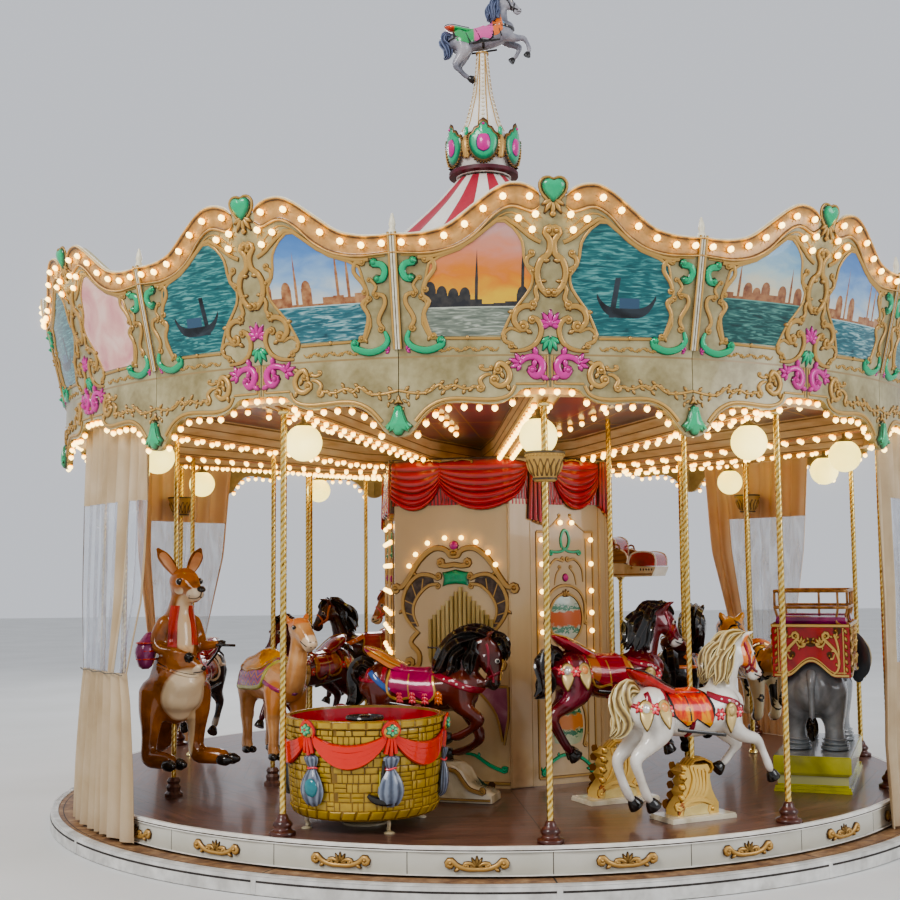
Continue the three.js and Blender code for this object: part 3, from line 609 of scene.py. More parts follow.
MOUNT_HEIGHT = 0.168
mount = flipped(merge(
    scroll([(0.0, -0.026), (0.05, -0.024), (0.1, -0.008), (0.128, 0.018)], 0.032, (0, 0.019), (0.8, 0.5), -2),
    scroll([(0.012, -0.01), (0.036, 0.004), (0.06, 0.002)], 0.024, (0, 0.011), (0.9, 0.6)),
    fan((0.0, -0.02), 90, 160, 7, 0.064, 0.024),
))
mounts = Bench()
for bay in range(BAYS):
    for place in (-7.2, 7.2):
        mounts.add(mount, gilt, lambda p: p + (0, MOUNT_HEIGHT, 0), around(SKIRT_R + 0.001),
                   round_about(bay * BAY_DEG + BAY_DEG / 2 + place))
mounts.piece("skirt_gilt_mounts", "ride", slot="carved_gold", crease=70)

trim_white = mottled("skirt_trim_white", 14, 4, (0.3, "dedbd0"), (0.65, "f2f0e9"), Roughness=0.25)
line_dark = mottled("skirt_trim_line", 30, 3, (0.3, "241814"), (0.7, "49352d"), Roughness=0.6)
trim = Bench()
trim.add(turned([(SKIRT_R - 0.014, 0.2545), (SKIRT_R + 0.004, 0.2545), (SKIRT_R + 0.009, 0.2515),
                 (SKIRT_R + 0.009, 0.2385), (SKIRT_R + 0.0004, 0.2385), (SKIRT_R + 0.0004, 0.2544),
                 (SKIRT_R - 0.014, 0.2545)], 144), trim_white)
trim.add(lip(0.2325, 0.238, SKIRT_R + 0.0004, SKIRT_R + 0.004), line_dark)
trim.add(lip(0.2265, 0.232, SKIRT_R + 0.0004, SKIRT_R + 0.0065), trim_white)
trim.add(lip(SKIRT_LOW + 0.001, SKIRT_LOW + 0.008, SKIRT_R + 0.0004, SKIRT_R + 0.005), trim_white)
trim.piece("skirt_trim", "ride", slot="ivory_paint")

# The outer poles. Each is a brass tube twisted like rope, on a turned and stained wooden foot that is screwed
# to the deck, and it holds up the rim of the canopy. Three of them carry a carved bowl near the top.
POLE_R = 0.0185
POLE_RING = 2.778
TWIST_RISE = 0.105
TWIST_STRANDS = 3


def twisted(low, high, radius=POLE_R, step=0.0146, sides=11):
    """A rope-twisted tube, its strands rising round it."""
    heights = np.linspace(low, high, max(3, round((high - low) / step)))
    turn = np.linspace(0, 2 * pi, sides, endpoint=False)
    z, a = np.meshgrid(heights, turn, indexing="ij")
    ridge = np.abs(np.sin((a - 2 * pi * z / TWIST_RISE) * TWIST_STRANDS / 2))
    r = radius * (0.80 + 0.20 * ridge ** 0.7)
    points = np.stack([r * np.cos(a), r * np.sin(a), z], 2).reshape(-1, 3)
    return points, capped(len(heights), sides), 1 - ridge.ravel() ** 0.5


brass = Finish("twisted_brass", "c9a04a", Roughness=0.2, Metallic=0.85)
tarnish = brass.noise(26, 4) * 0.3 + brass.depth() * 0.8
brass.shade(tarnish, (0.15, "f6e3a4"), (0.4, "d9b25a"), (0.75, "8a6428"), (0.95, "573c17"))
foot_wood = Finish("pole_foot_wood", "4a2219", Roughness=0.28, Coat_Weight=0.4)
foot_wood.shade(foot_wood.noise(9, 5, foot_wood.stretched((1, 1, 6))), (0.3, "32150f"), (0.55, "552a1e"),
                (0.8, "74402d"))

POLE_TOP = 2.548
FOOT = [(0.070, 0.0), (0.072, 0.006), (0.072, 0.016), (0.066, 0.022), (0.052, 0.026), (0.046, 0.034),
        (0.044, 0.040), (0.052, 0.050), (0.053, 0.060), (0.045, 0.072), (0.034, 0.082), (0.030, 0.094),
        (0.026, 0.104), (0.019, 0.112)]
pole_bench = Bench()
pole_bench.add(twisted(DECK_TOP + 0.105, POLE_TOP), brass)
pole_bench.add(turned(FOOT, 28), foot_wood, shift(0, 0, DECK_TOP + 0.0005))
pole_bench.add(turned([(0.019, -0.02), (0.03, -0.016), (0.034, 0), (0.03, 0.006), (0.019, 0.008)], 24), brass,
               shift(0, 0, POLE_TOP - 0.01))
pole_mesh = pole_bench.mesh("outer_pole", 60)
BOWL = [(0.020, 2.118), (0.056, 2.12), (0.06, 2.13), (0.064, 2.145), (0.072, 2.165), (0.098, 2.238),
        (0.101, 2.249), (0.104, 2.262), (0.104, 2.274), (0.094, 2.275), (0.088, 2.262), (0.020, 2.25)]
bowl_gilt = carved("bowl_old_gilt", "b99352", "7d5c2c", "33210e", Roughness=0.5, Metallic=0.2)
bowl_rim = mottled("bowl_rim", 50, 3, (0.3, "2b2218"), (0.7, "5b4a33"), Roughness=0.5)
bowl_bench = Bench()
bowl_bench.add(turned(BOWL, 40), bowl_gilt)
for k in range(16):
    leaf = petal((0, 0.0), 90, 0.098, 0.036, 0.35)
    bowl_bench.add(leaf, bowl_gilt, lambda p: np.stack([p[:, 0] * (0.75 + 3 * p[:, 1]), -0.0625 - p[:, 1] * 0.36
                                                        - p[:, 2], 2.142 + p[:, 1]], 1), round_about(k * 22.5))
for k in range(32):
    bead = turned([(0.002, -0.006), (0.0065, -0.003), (0.0065, 0.003), (0.002, 0.006)], 8)
    bowl_bench.add(bead, bowl_gilt, shift(0, -0.1025, 2.256), round_about(k * 11.25))
bowl_bench.add(lip(2.265, 2.2765, 0.0935, 0.1085, 40), bowl_rim)
bowl_bench.add(lip(2.128, 2.138, 0.058, 0.066, 40), bowl_rim)
bowl_mesh = bowl_bench.mesh("carved_bowl", 60)
for i in range(BAYS):
    place = Matrix.Rotation(radians(BAY_DEG * i), 4, "Z") @ Matrix.Translation((0, -POLE_RING, 0))
    pole = set_up(f"twisted_outer_pole_{i + 1}", pole_mesh, "ride", place)
    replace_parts(pole, f"outer_pole_{i + 1}")
    if i in (0, 4, 8):
        set_up(f"carved_bowl_{i + 1}", bowl_mesh, "ride", place)

# The drum. A six-sided casing of glossy cream boards hides the mast. Moulded gilt carving, lamps and painted
# panels are fixed on it: an organ front on one face of each pair, and a tall framed panel on the other.
DRUM_CORNERS = [(0.0, -1.12), (0.72, -0.82), (0.72, 0.82), (0.0, 1.12), (-0.72, 0.82), (-0.72, -0.82)]


def slab(lower, upper, along, heights=12, front=0.0, thick=0.038, waist=None):
    """A board between two lines, as a closed body: its front, and its back behind it."""
    loops = []
    for u, low, high in zip(along, lower, upper):
        z = np.linspace(low, high, heights)
        if waist:
            z = np.concatenate([np.linspace(low, waist, heights // 2),
                                np.linspace(waist, high, heights // 2 + 1)[1:]])
        near = np.stack([np.full(len(z), u), z, np.full(len(z), front)], 1)
        loops.append(np.concatenate([near, (near - (0, 0, thick))[::-1]]))
    columns = len(loops[0])
    return np.concatenate(loops), capped(len(loops), columns), 0.0


def on_wall(start, end, middle=0.0):
    """Takes a place on a wall, as its way along, its height and how far it stands out, to the drum."""
    start, end = Vector((*start, 0)), Vector((*end, 0))
    along = (end - start).normalized()
    out = Vector((along.y, -along.x, 0))
    center = (start + end) / 2 + along * middle

    def move(points):
        flat = points[:, :1] * np.array(along) + (points[:, 2:3] + 0.0004) * np.array(out) + np.array(center)
        return flat + np.outer(points[:, 1], (0, 0, 1))
    return move


drum_cream = Finish("drum_cream", "d9c9ac", Roughness=0.22, Coat_Weight=0.4)
x, y, z = drum_cream.axes()
sheen = drum_cream.noise(1.6, 4, drum_cream.stretched((1, 1, 0.25)), Distortion=0.5)
scuff = (0.75 - z).fade(0.0, 0.5) * drum_cream.noise(11, 5)
drum_cream.shade(sheen * 0.9 + scuff * 0.35, (0.3, "dfc9a0"), (0.52, "d0b589"), (0.7, "bf9c73"),
                 (0.9, "937550"))
dress("drum_walls", drum_cream)

old_gold = carved("old_gold", "c09a5c", "88622f", "3c220b", Roughness=0.34, Metallic=0.25)
pipe_gold = Finish("pipe_gold", "dcc383", Roughness=0.3, Metallic=0.3)
pipe_gold.shade(pipe_gold.noise(14, 4, pipe_gold.stretched((1, 1, 0.1))), (0.3, "ab9350"), (0.6, "d6c184"),
                (0.8, "eee0ae"))
dark_cell = mottled("organ_dark_cell", 25, 3, (0.3, "352a26"), (0.7, "6a594f"), Roughness=0.5)
plum_panel = Finish("plum_panel", "a36079", Roughness=0.25, Coat_Weight=0.4)
plum_panel.shade(plum_panel.noise(6, 5, Distortion=0.8), (0.3, "8d4b68"), (0.55, "ab6a80"), (0.75, "c495a0"))


def blossom_panel(name, ground, leaf, bloom, center):
    """A small painted panel: a soft ground, leafy strokes and a spray of blossom in the middle."""
    finish = Finish(name, ground[0], Roughness=0.22, Coat_Weight=0.5)
    x, y, z = finish.axes()
    spread = (x * x + y * y).math("SQRT") - center[0]
    away = ((z - center[1]) * (z - center[1]) * 60 + spread * spread * 60).math("SQRT")
    wash = finish.ramp(finish.noise(7, 5, Distortion=0.9), (0.3, ground[0]), (0.65, ground[1]))
    strokes = finish.noise(20, 5, finish.stretched((1, 1, 1.6)), Distortion=2.0) * 0.6 + away * 0.5
    painted = finish.mix((strokes < 0.62) & (strokes > 0.5), wash, leaf)
    petals = finish.noise(15, 3, Distortion=1.4) * 0.5 + away * 0.85
    finish.set(Base_Color=finish.mix(petals.fade(0.62, 0.52), painted, bloom))
    return finish


oval_panel = blossom_panel("oval_blossom_panel", ("a9c3b8", "d9ddc9"), "5f9a80", "d8794f", (1.035, 1.33))
shield_panel = blossom_panel("shield_blossom_panel", ("7fae86", "c7cfa6"), "2f7d53", "e08a3a", (1.035, 0.65))


lamp_glow = Finish("lamp_glow", "ffe2b0", Roughness=0.3, Emission_Strength=4.2)
lamp_glow.set(Emission_Color=lamp_glow.ramp(lamp_glow.depth(), (0.0, "ffe08c"), (0.45, "ffb13c"),
                                            (1.0, "d06a14")))
brass_cup = mottled("lamp_cup_brass", 60, 2, (0.3, "8f6829"), (0.7, "d6ab5a"), Roughness=0.3, Metallic=0.8)
green = carved("carved_green", "1fb27a", "0b7b50", "033423", Roughness=0.25, Coat_Weight=0.4)
magenta = carved("carved_magenta", "cf3796", "a01a6d", "4c0834", Roughness=0.25, Coat_Weight=0.4)
BULB = [(0.008, 0.0), (0.0172, 0.013), (0.0165, 0.026), (0.004, 0.037)]
BULB_MARKS = [1.0, 0.3, 0.0, 0.0]
CUP = [(0.017, -0.004), (0.018, 0.003), (0.010, 0.007)]


def mirrored_about(middle, shapes):
    """The shapes and their mirror images over an upright line on the wall."""
    made = []
    for points, faces, depths in shapes:
        made.append((points, faces, depths))
        made.append((np.asarray(points) * (-1, 1, 1) + (2 * middle, 0, 0), [face[::-1] for face in faces],
                     depths))
    return merge(*made)


def lamp(u, v, stand=0.0):
    """A lamp on a wall or board, with its brass cup."""
    place = shift(u, v, stand)
    return [(turned(BULB, 8, BULB_MARKS), lamp_glow, place), (turned(CUP, 6), brass_cup, place)]


def organ_front():
    """The organ front: a scrolled arch under lamps, a green cartouche, side scrolls and fifteen pipes."""
    middle, pipes_middle = 0.028, 0.073
    gold = [
        scroll([(-0.375, 1.556), (-0.339, 1.545), (-0.282, 1.615), (-0.21, 1.725), (-0.115, 1.798),
                (-0.03, 1.79), (0.0, 1.75)], 0.046, (0.024, 0.032)),
        scroll([(-0.07, 1.69), (-0.02, 1.685), (0.02, 1.692), (0.04, 1.692)], 0.044, (0.018, 0.0), (0.7, 0.9)),
        scroll([(-0.085, 1.60), (-0.15, 1.625), (-0.225, 1.62), (-0.296, 1.553), (-0.332, 1.46), (-0.322, 1.37),
                (-0.27, 1.288), (-0.228, 1.25)], 0.036, (0.018, 0.0), leaves=-3),
        scroll([(-0.085, 1.565), (-0.15, 1.556), (-0.215, 1.50), (-0.255, 1.43), (-0.258, 1.36),
                (-0.225, 1.285)],
               0.028, (0.014, 0.0)),
        scroll([(-0.222, 1.256), (-0.278, 1.183), (-0.222, 1.112), (-0.222, 1.04), (-0.26, 1.012),
                (-0.30, 1.02)],
               0.044, (0.0, 0.03), (0.9, 0.5)),
        sweep([(-0.19, 1.60), (-0.20, 1.52)], HALF_ROUND, 0.006),
        sweep([(-0.27, 1.57), (-0.235, 1.47)], HALF_ROUND, 0.006),
        sweep([(-0.325, 1.46), (-0.255, 1.43)], HALF_ROUND, 0.006),
        sweep([(-0.325, 1.38), (-0.258, 1.36)], HALF_ROUND, 0.006),
        sweep([(-0.29, 1.31), (-0.24, 1.31)], HALF_ROUND, 0.006),
        sweep(smooth([(-0.33, 0.90), (-0.33, 0.70), (-0.30, 0.53)]), HALF_ROUND, 0.01),
        sweep(smooth([(-0.33, 0.90), (-0.20, 0.905), (-0.08, 0.90)]), HALF_ROUND, 0.01),
        sweep(smooth([(-0.08, 0.90), (-0.16, 0.84), (-0.25, 0.72), (-0.29, 0.55)]), HALF_ROUND, 0.012),
    ]
    cells = []
    outer = smooth([(-0.12, 1.602), (-0.225, 1.61), (-0.29, 1.545), (-0.322, 1.46), (-0.31, 1.37),
                    (-0.25, 1.285)])
    inner = smooth([(-0.11, 1.57), (-0.15, 1.556), (-0.215, 1.50), (-0.255, 1.43), (-0.258, 1.36),
                    (-0.225, 1.285)])
    rows = [np.array([(*a, -0.002), (*a, 0.0015), (*b, 0.0015), (*b, -0.002)]) for a, b in zip(outer, inner)]
    cells.append((np.concatenate(rows), capped(len(rows), 4), 0.0))
    plum = [dome([(-0.32, 0.89), (-0.325, 0.72), (-0.295, 0.56), (-0.25, 0.72), (-0.17, 0.835), (-0.10, 0.89)],
                 0.004, 2)]
    pipes = []
    for k in range(-7, 8):
        u, top = pipes_middle + 0.03 * k, 1.545 - 0.03 * abs(k)
        tube = [(0.004, 1.05), (0.0135, 1.09), (0.0138, top - 0.008), (0.0145, top - 0.006),
                (0.0145, top), (0.009, top)]
        pipes.append((turned(tube, 12), u))
    parts = [(mirrored_about(middle, gold), old_gold), (mirrored_about(middle, cells), dark_cell),
             (mirrored_about(middle, plum), plum_panel)]
    upright = [(shape, pipe_gold, lambda p, u=u: p[:, [0, 2, 1]] * (1, 1, -1) + (u, 0, 0.015))
               for shape, u in pipes]
    bar = sweep([(pipes_middle - 0.225, 1.150), (pipes_middle + 0.225, 1.150)], ROUND, 0.008)
    cartouche = [(-0.055, 1.548), (-0.02, 1.56), (0.04, 1.565), (0.10, 1.56), (0.135, 1.548), (0.125, 1.60),
                 (0.137, 1.642), (0.09, 1.65), (0.04, 1.662), (-0.01, 1.65), (-0.057, 1.642), (-0.045, 1.60)]
    parts += [(bar, dark_cell, shift(0, 0, 0.022)), (dome(cartouche, 0.03, 5, 0.3), green),
              (dome(ring_outline((middle, 1.818), 0.034), 0.03), magenta),
              (fan((middle, 1.60), 90, 150, 7, 0.05, 0.02), green, shift(0, 0, 0.014))]
    gold_low = [scroll([(-0.30, 0.36), (-0.2, 0.40), (-0.1, 0.46), (-0.02, 0.47)], 0.03, (0.015, 0.0),
                       leaves=3)]
    parts.append((mirrored_about(middle, gold_low), green))
    base = mirrored_about(middle, [sweep([(-0.34, 0.285), (-0.15, 0.285), (0.04, 0.285)], HALF_ROUND, 0.012)])
    parts += [(base, old_gold)] + upright
    for u, v in ((-0.281, 1.686), (-0.235, 1.762), (-0.15, 1.836), (-0.03, 1.868), (0.085, 1.868),
                 (0.185, 1.838), (0.268, 1.77), (0.318, 1.69)):
        parts += lamp(u, v)
    return parts


def tall_panel():
    """The tall panel: a gilt border with lamps, a ribbon, arches over an oval and a shield below."""
    middle = 0.055
    border = [(-0.165, 0.30), (-0.165, 1.10), (-0.165, 1.905), (-0.10, 1.905)]
    gold = [sweep(border[:3], HALF_ROUND, 0.009), sweep(border[2:], HALF_ROUND, 0.009),
            sweep([(-0.165, 0.30), (middle, 0.30)], HALF_ROUND, 0.011),
            sweep([(-0.11, 0.34), (-0.11, 1.1), (-0.11, 1.86)], HALF_ROUND, 0.006),
            scroll([(-0.10, 1.905), (-0.03, 1.96), (0.02, 2.01)], 0.014, (0.0, 0.009)),
            scroll([(-0.085, 1.57), (-0.075, 1.66), (-0.02, 1.72), (0.035, 1.71)], 0.022, (0.0, 0.013)),
            scroll([(-0.03, 1.55), (-0.015, 1.62), (0.02, 1.665)], 0.016, (0.0, 0.01)),
            scroll([(-0.09, 1.30), (-0.095, 1.42), (-0.06, 1.50), (0.0, 1.54), (0.055, 1.548)], 0.024,
                   (0.012, 0.0), (0.5, 1.0)),
            scroll([(-0.07, 0.50), (-0.09, 0.60), (-0.08, 0.72), (-0.03, 0.79), (0.055, 0.806)], 0.024,
                   (0.014, 0.0), (0.5, 1.0), leaves=3),
            scroll([(-0.05, 1.13), (-0.01, 1.08), (0.05, 1.06)], 0.02, (0.012, 0.0), (0.5, 1.0), leaves=-3)]
    ribbon_shape = [(0.03, 1.80), (0.022, 1.85), (0.035, 1.90), (0.055, 1.915), (0.075, 1.90), (0.088, 1.85),
                    (0.075, 1.80), (0.03, 1.775), (-0.02, 1.77), (-0.055, 1.775)]
    greens = [scroll(ribbon_shape[6:], 0.024, (0.0, 0.012), (0.9, 0.5)),
              scroll([(-0.14, 0.34), (-0.07, 0.40), (0.0, 0.435), (0.055, 0.44)], 0.028, (0.014, 0.0),
                     (0.5, 1.0), 3)]
    oval = dome(ring_outline((middle, 1.33), 0.124, 28, 1.25), 0.006, 3)
    shield = dome(smooth([(-0.045, 0.52), (-0.065, 0.62), (-0.05, 0.72), (0.0, 0.775), (0.055, 0.785),
                          (0.11, 0.775), (0.16, 0.72), (0.175, 0.62), (0.155, 0.52), (0.055, 0.50)], 3), 0.006,
                  3)
    frame = np.vstack([ring_outline((middle, 1.33), 0.131, 32, 1.25)] * 2)[:33]
    parts = [(mirrored_about(middle, gold), old_gold), (mirrored_about(middle, greens), green),
             (sweep(smooth(ribbon_shape[:7]), HALF_ROUND, 0.012), green), (oval, oval_panel),
             (shield, shield_panel), (sweep(frame, HALF_ROUND, 0.011), old_gold),
             (dome(ring_outline((middle, 1.60), 0.024, 12, 1.2), 0.02), magenta),
             (fan((middle, 1.475), 90, 130, 5, 0.05, 0.022), old_gold, shift(0, 0, 0.006))]
    for v in (1.85, 1.69, 1.51, 1.365, 1.245, 1.10, 0.95):
        parts += lamp(-0.138, v) + lamp(2 * middle + 0.138, v)
    return parts + lamp(0.01, 1.965) + lamp(0.10, 1.965)


def pilaster(low, high):
    """A raised upright board with a roll at each side."""
    face = slab([0.262] * 5, [2.12] * 5, np.linspace(low, high, 5), 6, 0.012, 0.0125)
    rolls = [sweep([(u, 0.262), (u, 1.2), (u, 2.12)], HALF_ROUND, 0.008) for u in (low + 0.012, high - 0.012)]
    return [(face, drum_cream), (merge(*rolls), drum_cream, shift(0, 0, 0.011))]


facade = Bench()
for k in range(6):
    start, end = DRUM_CORNERS[k - 1], DRUM_CORNERS[k]
    if k in (0, 3):
        sets = [(organ_front(), 0.0)]
    elif k in (1, 4):
        sets = [(tall_panel() + pilaster(-0.385, -0.205), 0.0), (pilaster(0.32, 0.385), 0.0)]
    else:
        sets = [(tall_panel() + pilaster(-0.36, -0.22), -0.42), (tall_panel() + pilaster(-0.36, -0.22), 0.36)]
    for parts, middle in sets:
        wall = on_wall(start, end, middle)
        for shape, finish, *moves in parts:
            facade.add(shape, finish, *moves, wall)
facade.piece("drum_carving_and_lamps", "ride", slot="carved_gold", crease=60)

# The drapery around the drum's head, moulded in stiff glossy red: rows of curved folds that fall in swags, with
# pleated tails between them and a pleated band behind.
drape_red = Finish("drape_red", "b3161f", Roughness=0.18, Coat_Weight=0.6, Coat_Roughness=0.06)
# The red is painted darker in the troughs of the folds, as painted shade.
fold = drape_red.depth() * 0.9 + drape_red.noise(8, 4) * 0.25
drape_red.shade(fold, (0.1, "d4202f"), (0.4, "ba1624"), (0.75, "7a0c18"), (0.95, "42060c"))
tail_gold = carved("tail_gold_lining", "d9a05c", "b0713a", "5e2f14", Roughness=0.35)
BAND_LOW, DRAPE_HIGH = 2.085, 2.388
runs = np.array(DRUM_CORNERS + DRUM_CORNERS[:1])
mileage = np.concatenate([[0], np.cumsum(np.hypot(*np.diff(runs, axis=0).T))])
side_out = np.array([((b - a) / np.hypot(*(b - a)))[[1, 0]] * (1, -1) for a, b in zip(runs, runs[1:])])
CORNER_EASE = 0.05


def on_drum(points):
    """Takes a place on the drapery, as its way round from the corner, height and how far out, to the drum."""
    way = points[:, 0] % mileage[-1]
    spot = np.stack([np.interp(way, mileage, runs[:, i]) for i in (0, 1)], 1)
    stops, outs = [-CORNER_EASE], [side_out[-1]]
    for k in range(6):
        stops += [mileage[k] + CORNER_EASE, mileage[k + 1] - CORNER_EASE]
        outs += [side_out[k], side_out[k]]
    outs.append(side_out[0])
    stops.append(mileage[-1] + CORNER_EASE)
    out = np.stack([np.interp(way, stops, np.array(outs)[:, i]) for i in (0, 1)], 1)
    out /= np.hypot(*out.T)[:, None]
    return np.column_stack([spot + out * (points[:, 2:3] + 0.002), points[:, 1]])


def swag(start, end, low, folds=7):
    """One swag: folds that hang between its two upper corners, fullest in the middle."""
    across_it, down = np.linspace(-1, 1, 17), np.linspace(0, 1, 5 * folds)
    rows, marks = [], []
    for s in across_it:
        belly = (1 - s * s) ** 0.55
        v = DRAPE_HIGH - (DRAPE_HIGH - low) * (down ** 0.9 * belly + 0.10 * (1 - belly))
        wave = np.abs(np.sin(pi * folds * down ** 1.15))
        stand = 0.010 + 0.012 * belly + (0.016 * down + 0.004) * wave * (0.25 + 0.75 * belly)
        front = np.stack([np.full(len(v), (start + end) / 2 + s * (end - start) / 2), v, stand], 1)
        rows.append(np.concatenate([front, [(front[-1, 0], v[-1], 0), (front[-1, 0], v[0], 0)]]))
        # The marks lie deepest in the troughs of the folds, where the red is painted darker as shade.
        marks.append(np.concatenate([1 - wave ** 0.6, [1, 1]]))
    return np.concatenate(rows), capped(len(rows), len(rows[0])), np.concatenate(marks)


def pleated(start, end, high, lows, stand, pleats, phase=0.0):
    """A strip of upright pleats, its lower edge running from one height to another."""
    rows, marks = [], []
    for t in np.linspace(0, 1, pleats * 3 + 1):
        wave = abs(sin(pi * pleats * t + phase))
        low = lows[0] + (lows[1] - lows[0]) * t
        v = np.linspace(high, low, 4)
        out = stand * (0.55 + 0.45 * wave) * np.linspace(0.8, 1.0, 4)
        u = start + (end - start) * (0.5 + (t - 0.5) * np.linspace(0.7, 1.0, 4))
        rows.append(np.concatenate([np.stack([u, v, out], 1), [(u[-1], low, 0), (u[0], high, 0)]]))
        # The marks lie deepest between the pleats, where the red is painted darker as shade.
        marks.append([1 - wave] * 6)
    return np.concatenate(rows), capped(len(rows), 6), np.concatenate(marks)


drape = Bench()
half_round = mileage[-1] / 2
for base in (0.0, half_round):
    for start, end, low in ((-0.86, -0.42, 2.048), (-0.50, 0.17, 2.046), (0.34, 0.73, 2.05), (0.86, 1.28, 2.05),
                            (1.20, 1.62, 2.048), (1.56, 1.98, 2.05), (1.92, 2.34, 2.048)):
        drape.add(swag(base + start, base + end, low), drape_red, on_drum)
    for start, end, lows in ((0.145, 0.295, (1.99, 1.955)), (0.70, 0.80, (2.08, 1.975)),
                             (0.80, 0.90, (1.975, 2.08)), (-0.93, -0.80, (2.0, 2.04))):
        drape.add(pleated(base + start, base + end, DRAPE_HIGH - 0.01, lows, 0.046, 4), drape_red, on_drum)
        drape.add(pleated(base + start + 0.015, base + end - 0.015, lows[0] + 0.08,
                          (lows[0] - 0.008, lows[1] - 0.008), 0.030, 4, 1.0), tail_gold, on_drum)
    for k in range(16):
        start = base - 0.85 + 0.2 * k
        drape.add(pleated(start, start + 0.26, DRAPE_HIGH - 0.03, (BAND_LOW, BAND_LOW), 0.012, 10), drape_red,
                  on_drum)
drape_piece = drape.piece("moulded_drapery", "ride", slot="red_drape", crease=70)
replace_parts(drape_piece, "drum_drape")
head_dark = mottled("drum_head_dark", 16, 4, (0.3, "2a1812"), (0.7, "51342a"), Roughness=0.4)
head = Bench()
for k in range(6):
    wall = on_wall(DRUM_CORNERS[k - 1], DRUM_CORNERS[k])
    reach = (Vector(DRUM_CORNERS[k - 1]) - Vector(DRUM_CORNERS[k])).length / 2
    head.add(sweep([(-reach, 2.3935), (0, 2.3935), (reach, 2.3935)], ROUND, 0.005), head_dark,
             shift(0, 0, 0.03), wall)
    for side in (-1, 1):
        for start in np.arange(0.05, reach - 0.15, 0.2):
            curls = scroll([(side * start, 2.375), (side * (start + 0.05), 2.386),
                            (side * (start + 0.12), 2.374)],
                           0.009, (0.006, 0.007))
            head.add(curls, old_gold, shift(0, 0, 0.034), wall)
head.piece("drum_head_strip", "ride", slot="red_drape", crease=60)

# The canopy's underside. Twelve cream beams run from the sleeve on the mast out to the rim, each with two rows
# of lamps and an opal globe below it, and painted boards lie on the beams as a ceiling.
BEAM_WIDE, BEAM_TALL = 0.15, 0.13
SLEEVE_R, BEAM_END = 0.196, 2.94
GLOBE_R, GLOBE_OUT, GLOBE_Z = 0.105, 2.57, 2.38


def underside(r):
    return 2.4 + max(0.0, r - 1.1) * 0.167 / 1.84


# The cream is painted brighter and warmer than the paint itself, as painted light from the lamps along the
# beams, with streaks in it.
beam_cream = Finish("beam_cream", "d9b98a", Roughness=0.35)
x, y, z = beam_cream.axes()
stain = beam_cream.noise(5, 5, beam_cream.stretched((1, 1, 5)))
beam_cream.shade(stain, (0.3, "f3d9ae"), (0.5, "ecc795"), (0.72, "d3a56c"))
beam_line = mottled("beam_brown_line", 22, 4, (0.3, "7b4a26"), (0.7, "a87342"), Roughness=0.4)
opal = Finish("opal_globe", "fff3d6", Roughness=0.35, Emission_Strength=1.9)
opal.set(Emission_Color=opal.ramp(opal.noise(6, 3), (0.3, "fff08e"), (0.7, "ffe676")))
globe_cap = mottled("globe_cap", 30, 3, (0.3, "2a1f17"), (0.7, "57432f"), Roughness=0.4, Metallic=0.5)


def beam_body(half, low, high, inner=SLEEVE_R - 0.02, outer=BEAM_END):
    """A bar along a beam, half its width each way, between two heights above the beam's underside."""
    rows = []
    for r in (inner, 1.1, outer):
        foot = underside(r)
        rows.append(np.array([(-half, -r, foot + low), (half, -r, foot + low), (half, -r, foot + high),
                              (-half, -r, foot + high)]))
    return np.concatenate(rows), capped(3, 4), 0.0


beam_bench = Bench()
beam_bench.add(beam_body(BEAM_WIDE / 2, 0.0, BEAM_TALL), beam_cream)
for low, high, half in ((0.004, 0.012, 0.0775), (0.112, 0.122, 0.0775), (0.055, 0.062, 0.0768)):
    beam_bench.add(beam_body(half, low, high, 0.25, 2.85), beam_line)
beam_bench.add(beam_body(0.012, -0.0055, 0.001, 0.25, 2.85), beam_line)
for side in (-1, 1):
    beam_bench.add(beam_body(0.004, -0.004, 0.001, 0.25, 2.85), beam_line, shift(side * 0.068, 0, 0))
    for r in np.arange(0.52, 2.86, 0.104):
        if abs(r - POLE_RING) > 0.03:
            place = shift(side * 0.042, -r, underside(r) + 0.001)
            beam_bench.add(turned(BULB, 6, BULB_MARKS), lamp_glow, lambda p: p * (1, 1, -1), place)
            beam_bench.add(turned(CUP, 6), brass_cup, lambda p: p * (1, 1, -1), place)
beam_mesh = beam_bench.mesh("lamp_beam", 40)
turn = np.linspace(-pi / 2, 1.28, 13)
globe_profile = [(max(0.002, GLOBE_R * cos(t)), GLOBE_R * sin(t)) for t in turn]
globe_bench = Bench()
globe_bench.add(turned(globe_profile, 24), opal, shift(0, -GLOBE_OUT, GLOBE_Z))
globe_bench.add(turned([(0.05, 0.094), (0.047, 0.104), (0.03, 0.112), (0.014, 0.12), (0.012, 0.158)], 20),
                globe_cap, shift(0, -GLOBE_OUT, GLOBE_Z))
globe_mesh = globe_bench.mesh("opal_globe", 60)
for i in range(BAYS):
    turn = Matrix.Rotation(radians(BAY_DEG * i), 4, "Z")
    set_up(f"lamp_beam_{i + 1}", beam_mesh, "ride", turn)
    set_up(f"opal_globe_{i + 1}", globe_mesh, "ride", turn)
sleeve = Bench()
sleeve.add(turned([(0.157, 2.401), (0.196, 2.401), (0.199, 2.42), (0.196, 2.44), (0.196, 2.53), (0.15, 2.60),
                   (0.157, 2.42), (0.157, 2.401)], 36), steel)
sleeve.add(turned([(0.19, 2.56), (0.19, 2.9), (0.175, 2.92), (0.06, 2.96), (0.06, 4.585)], 24), steel)
sleeve_piece = sleeve.piece("mast_sleeve_and_king_post", "ride", slot="beam_cream")
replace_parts(sleeve_piece, "canopy_frame")
dress("canopy_rim", beam_cream)

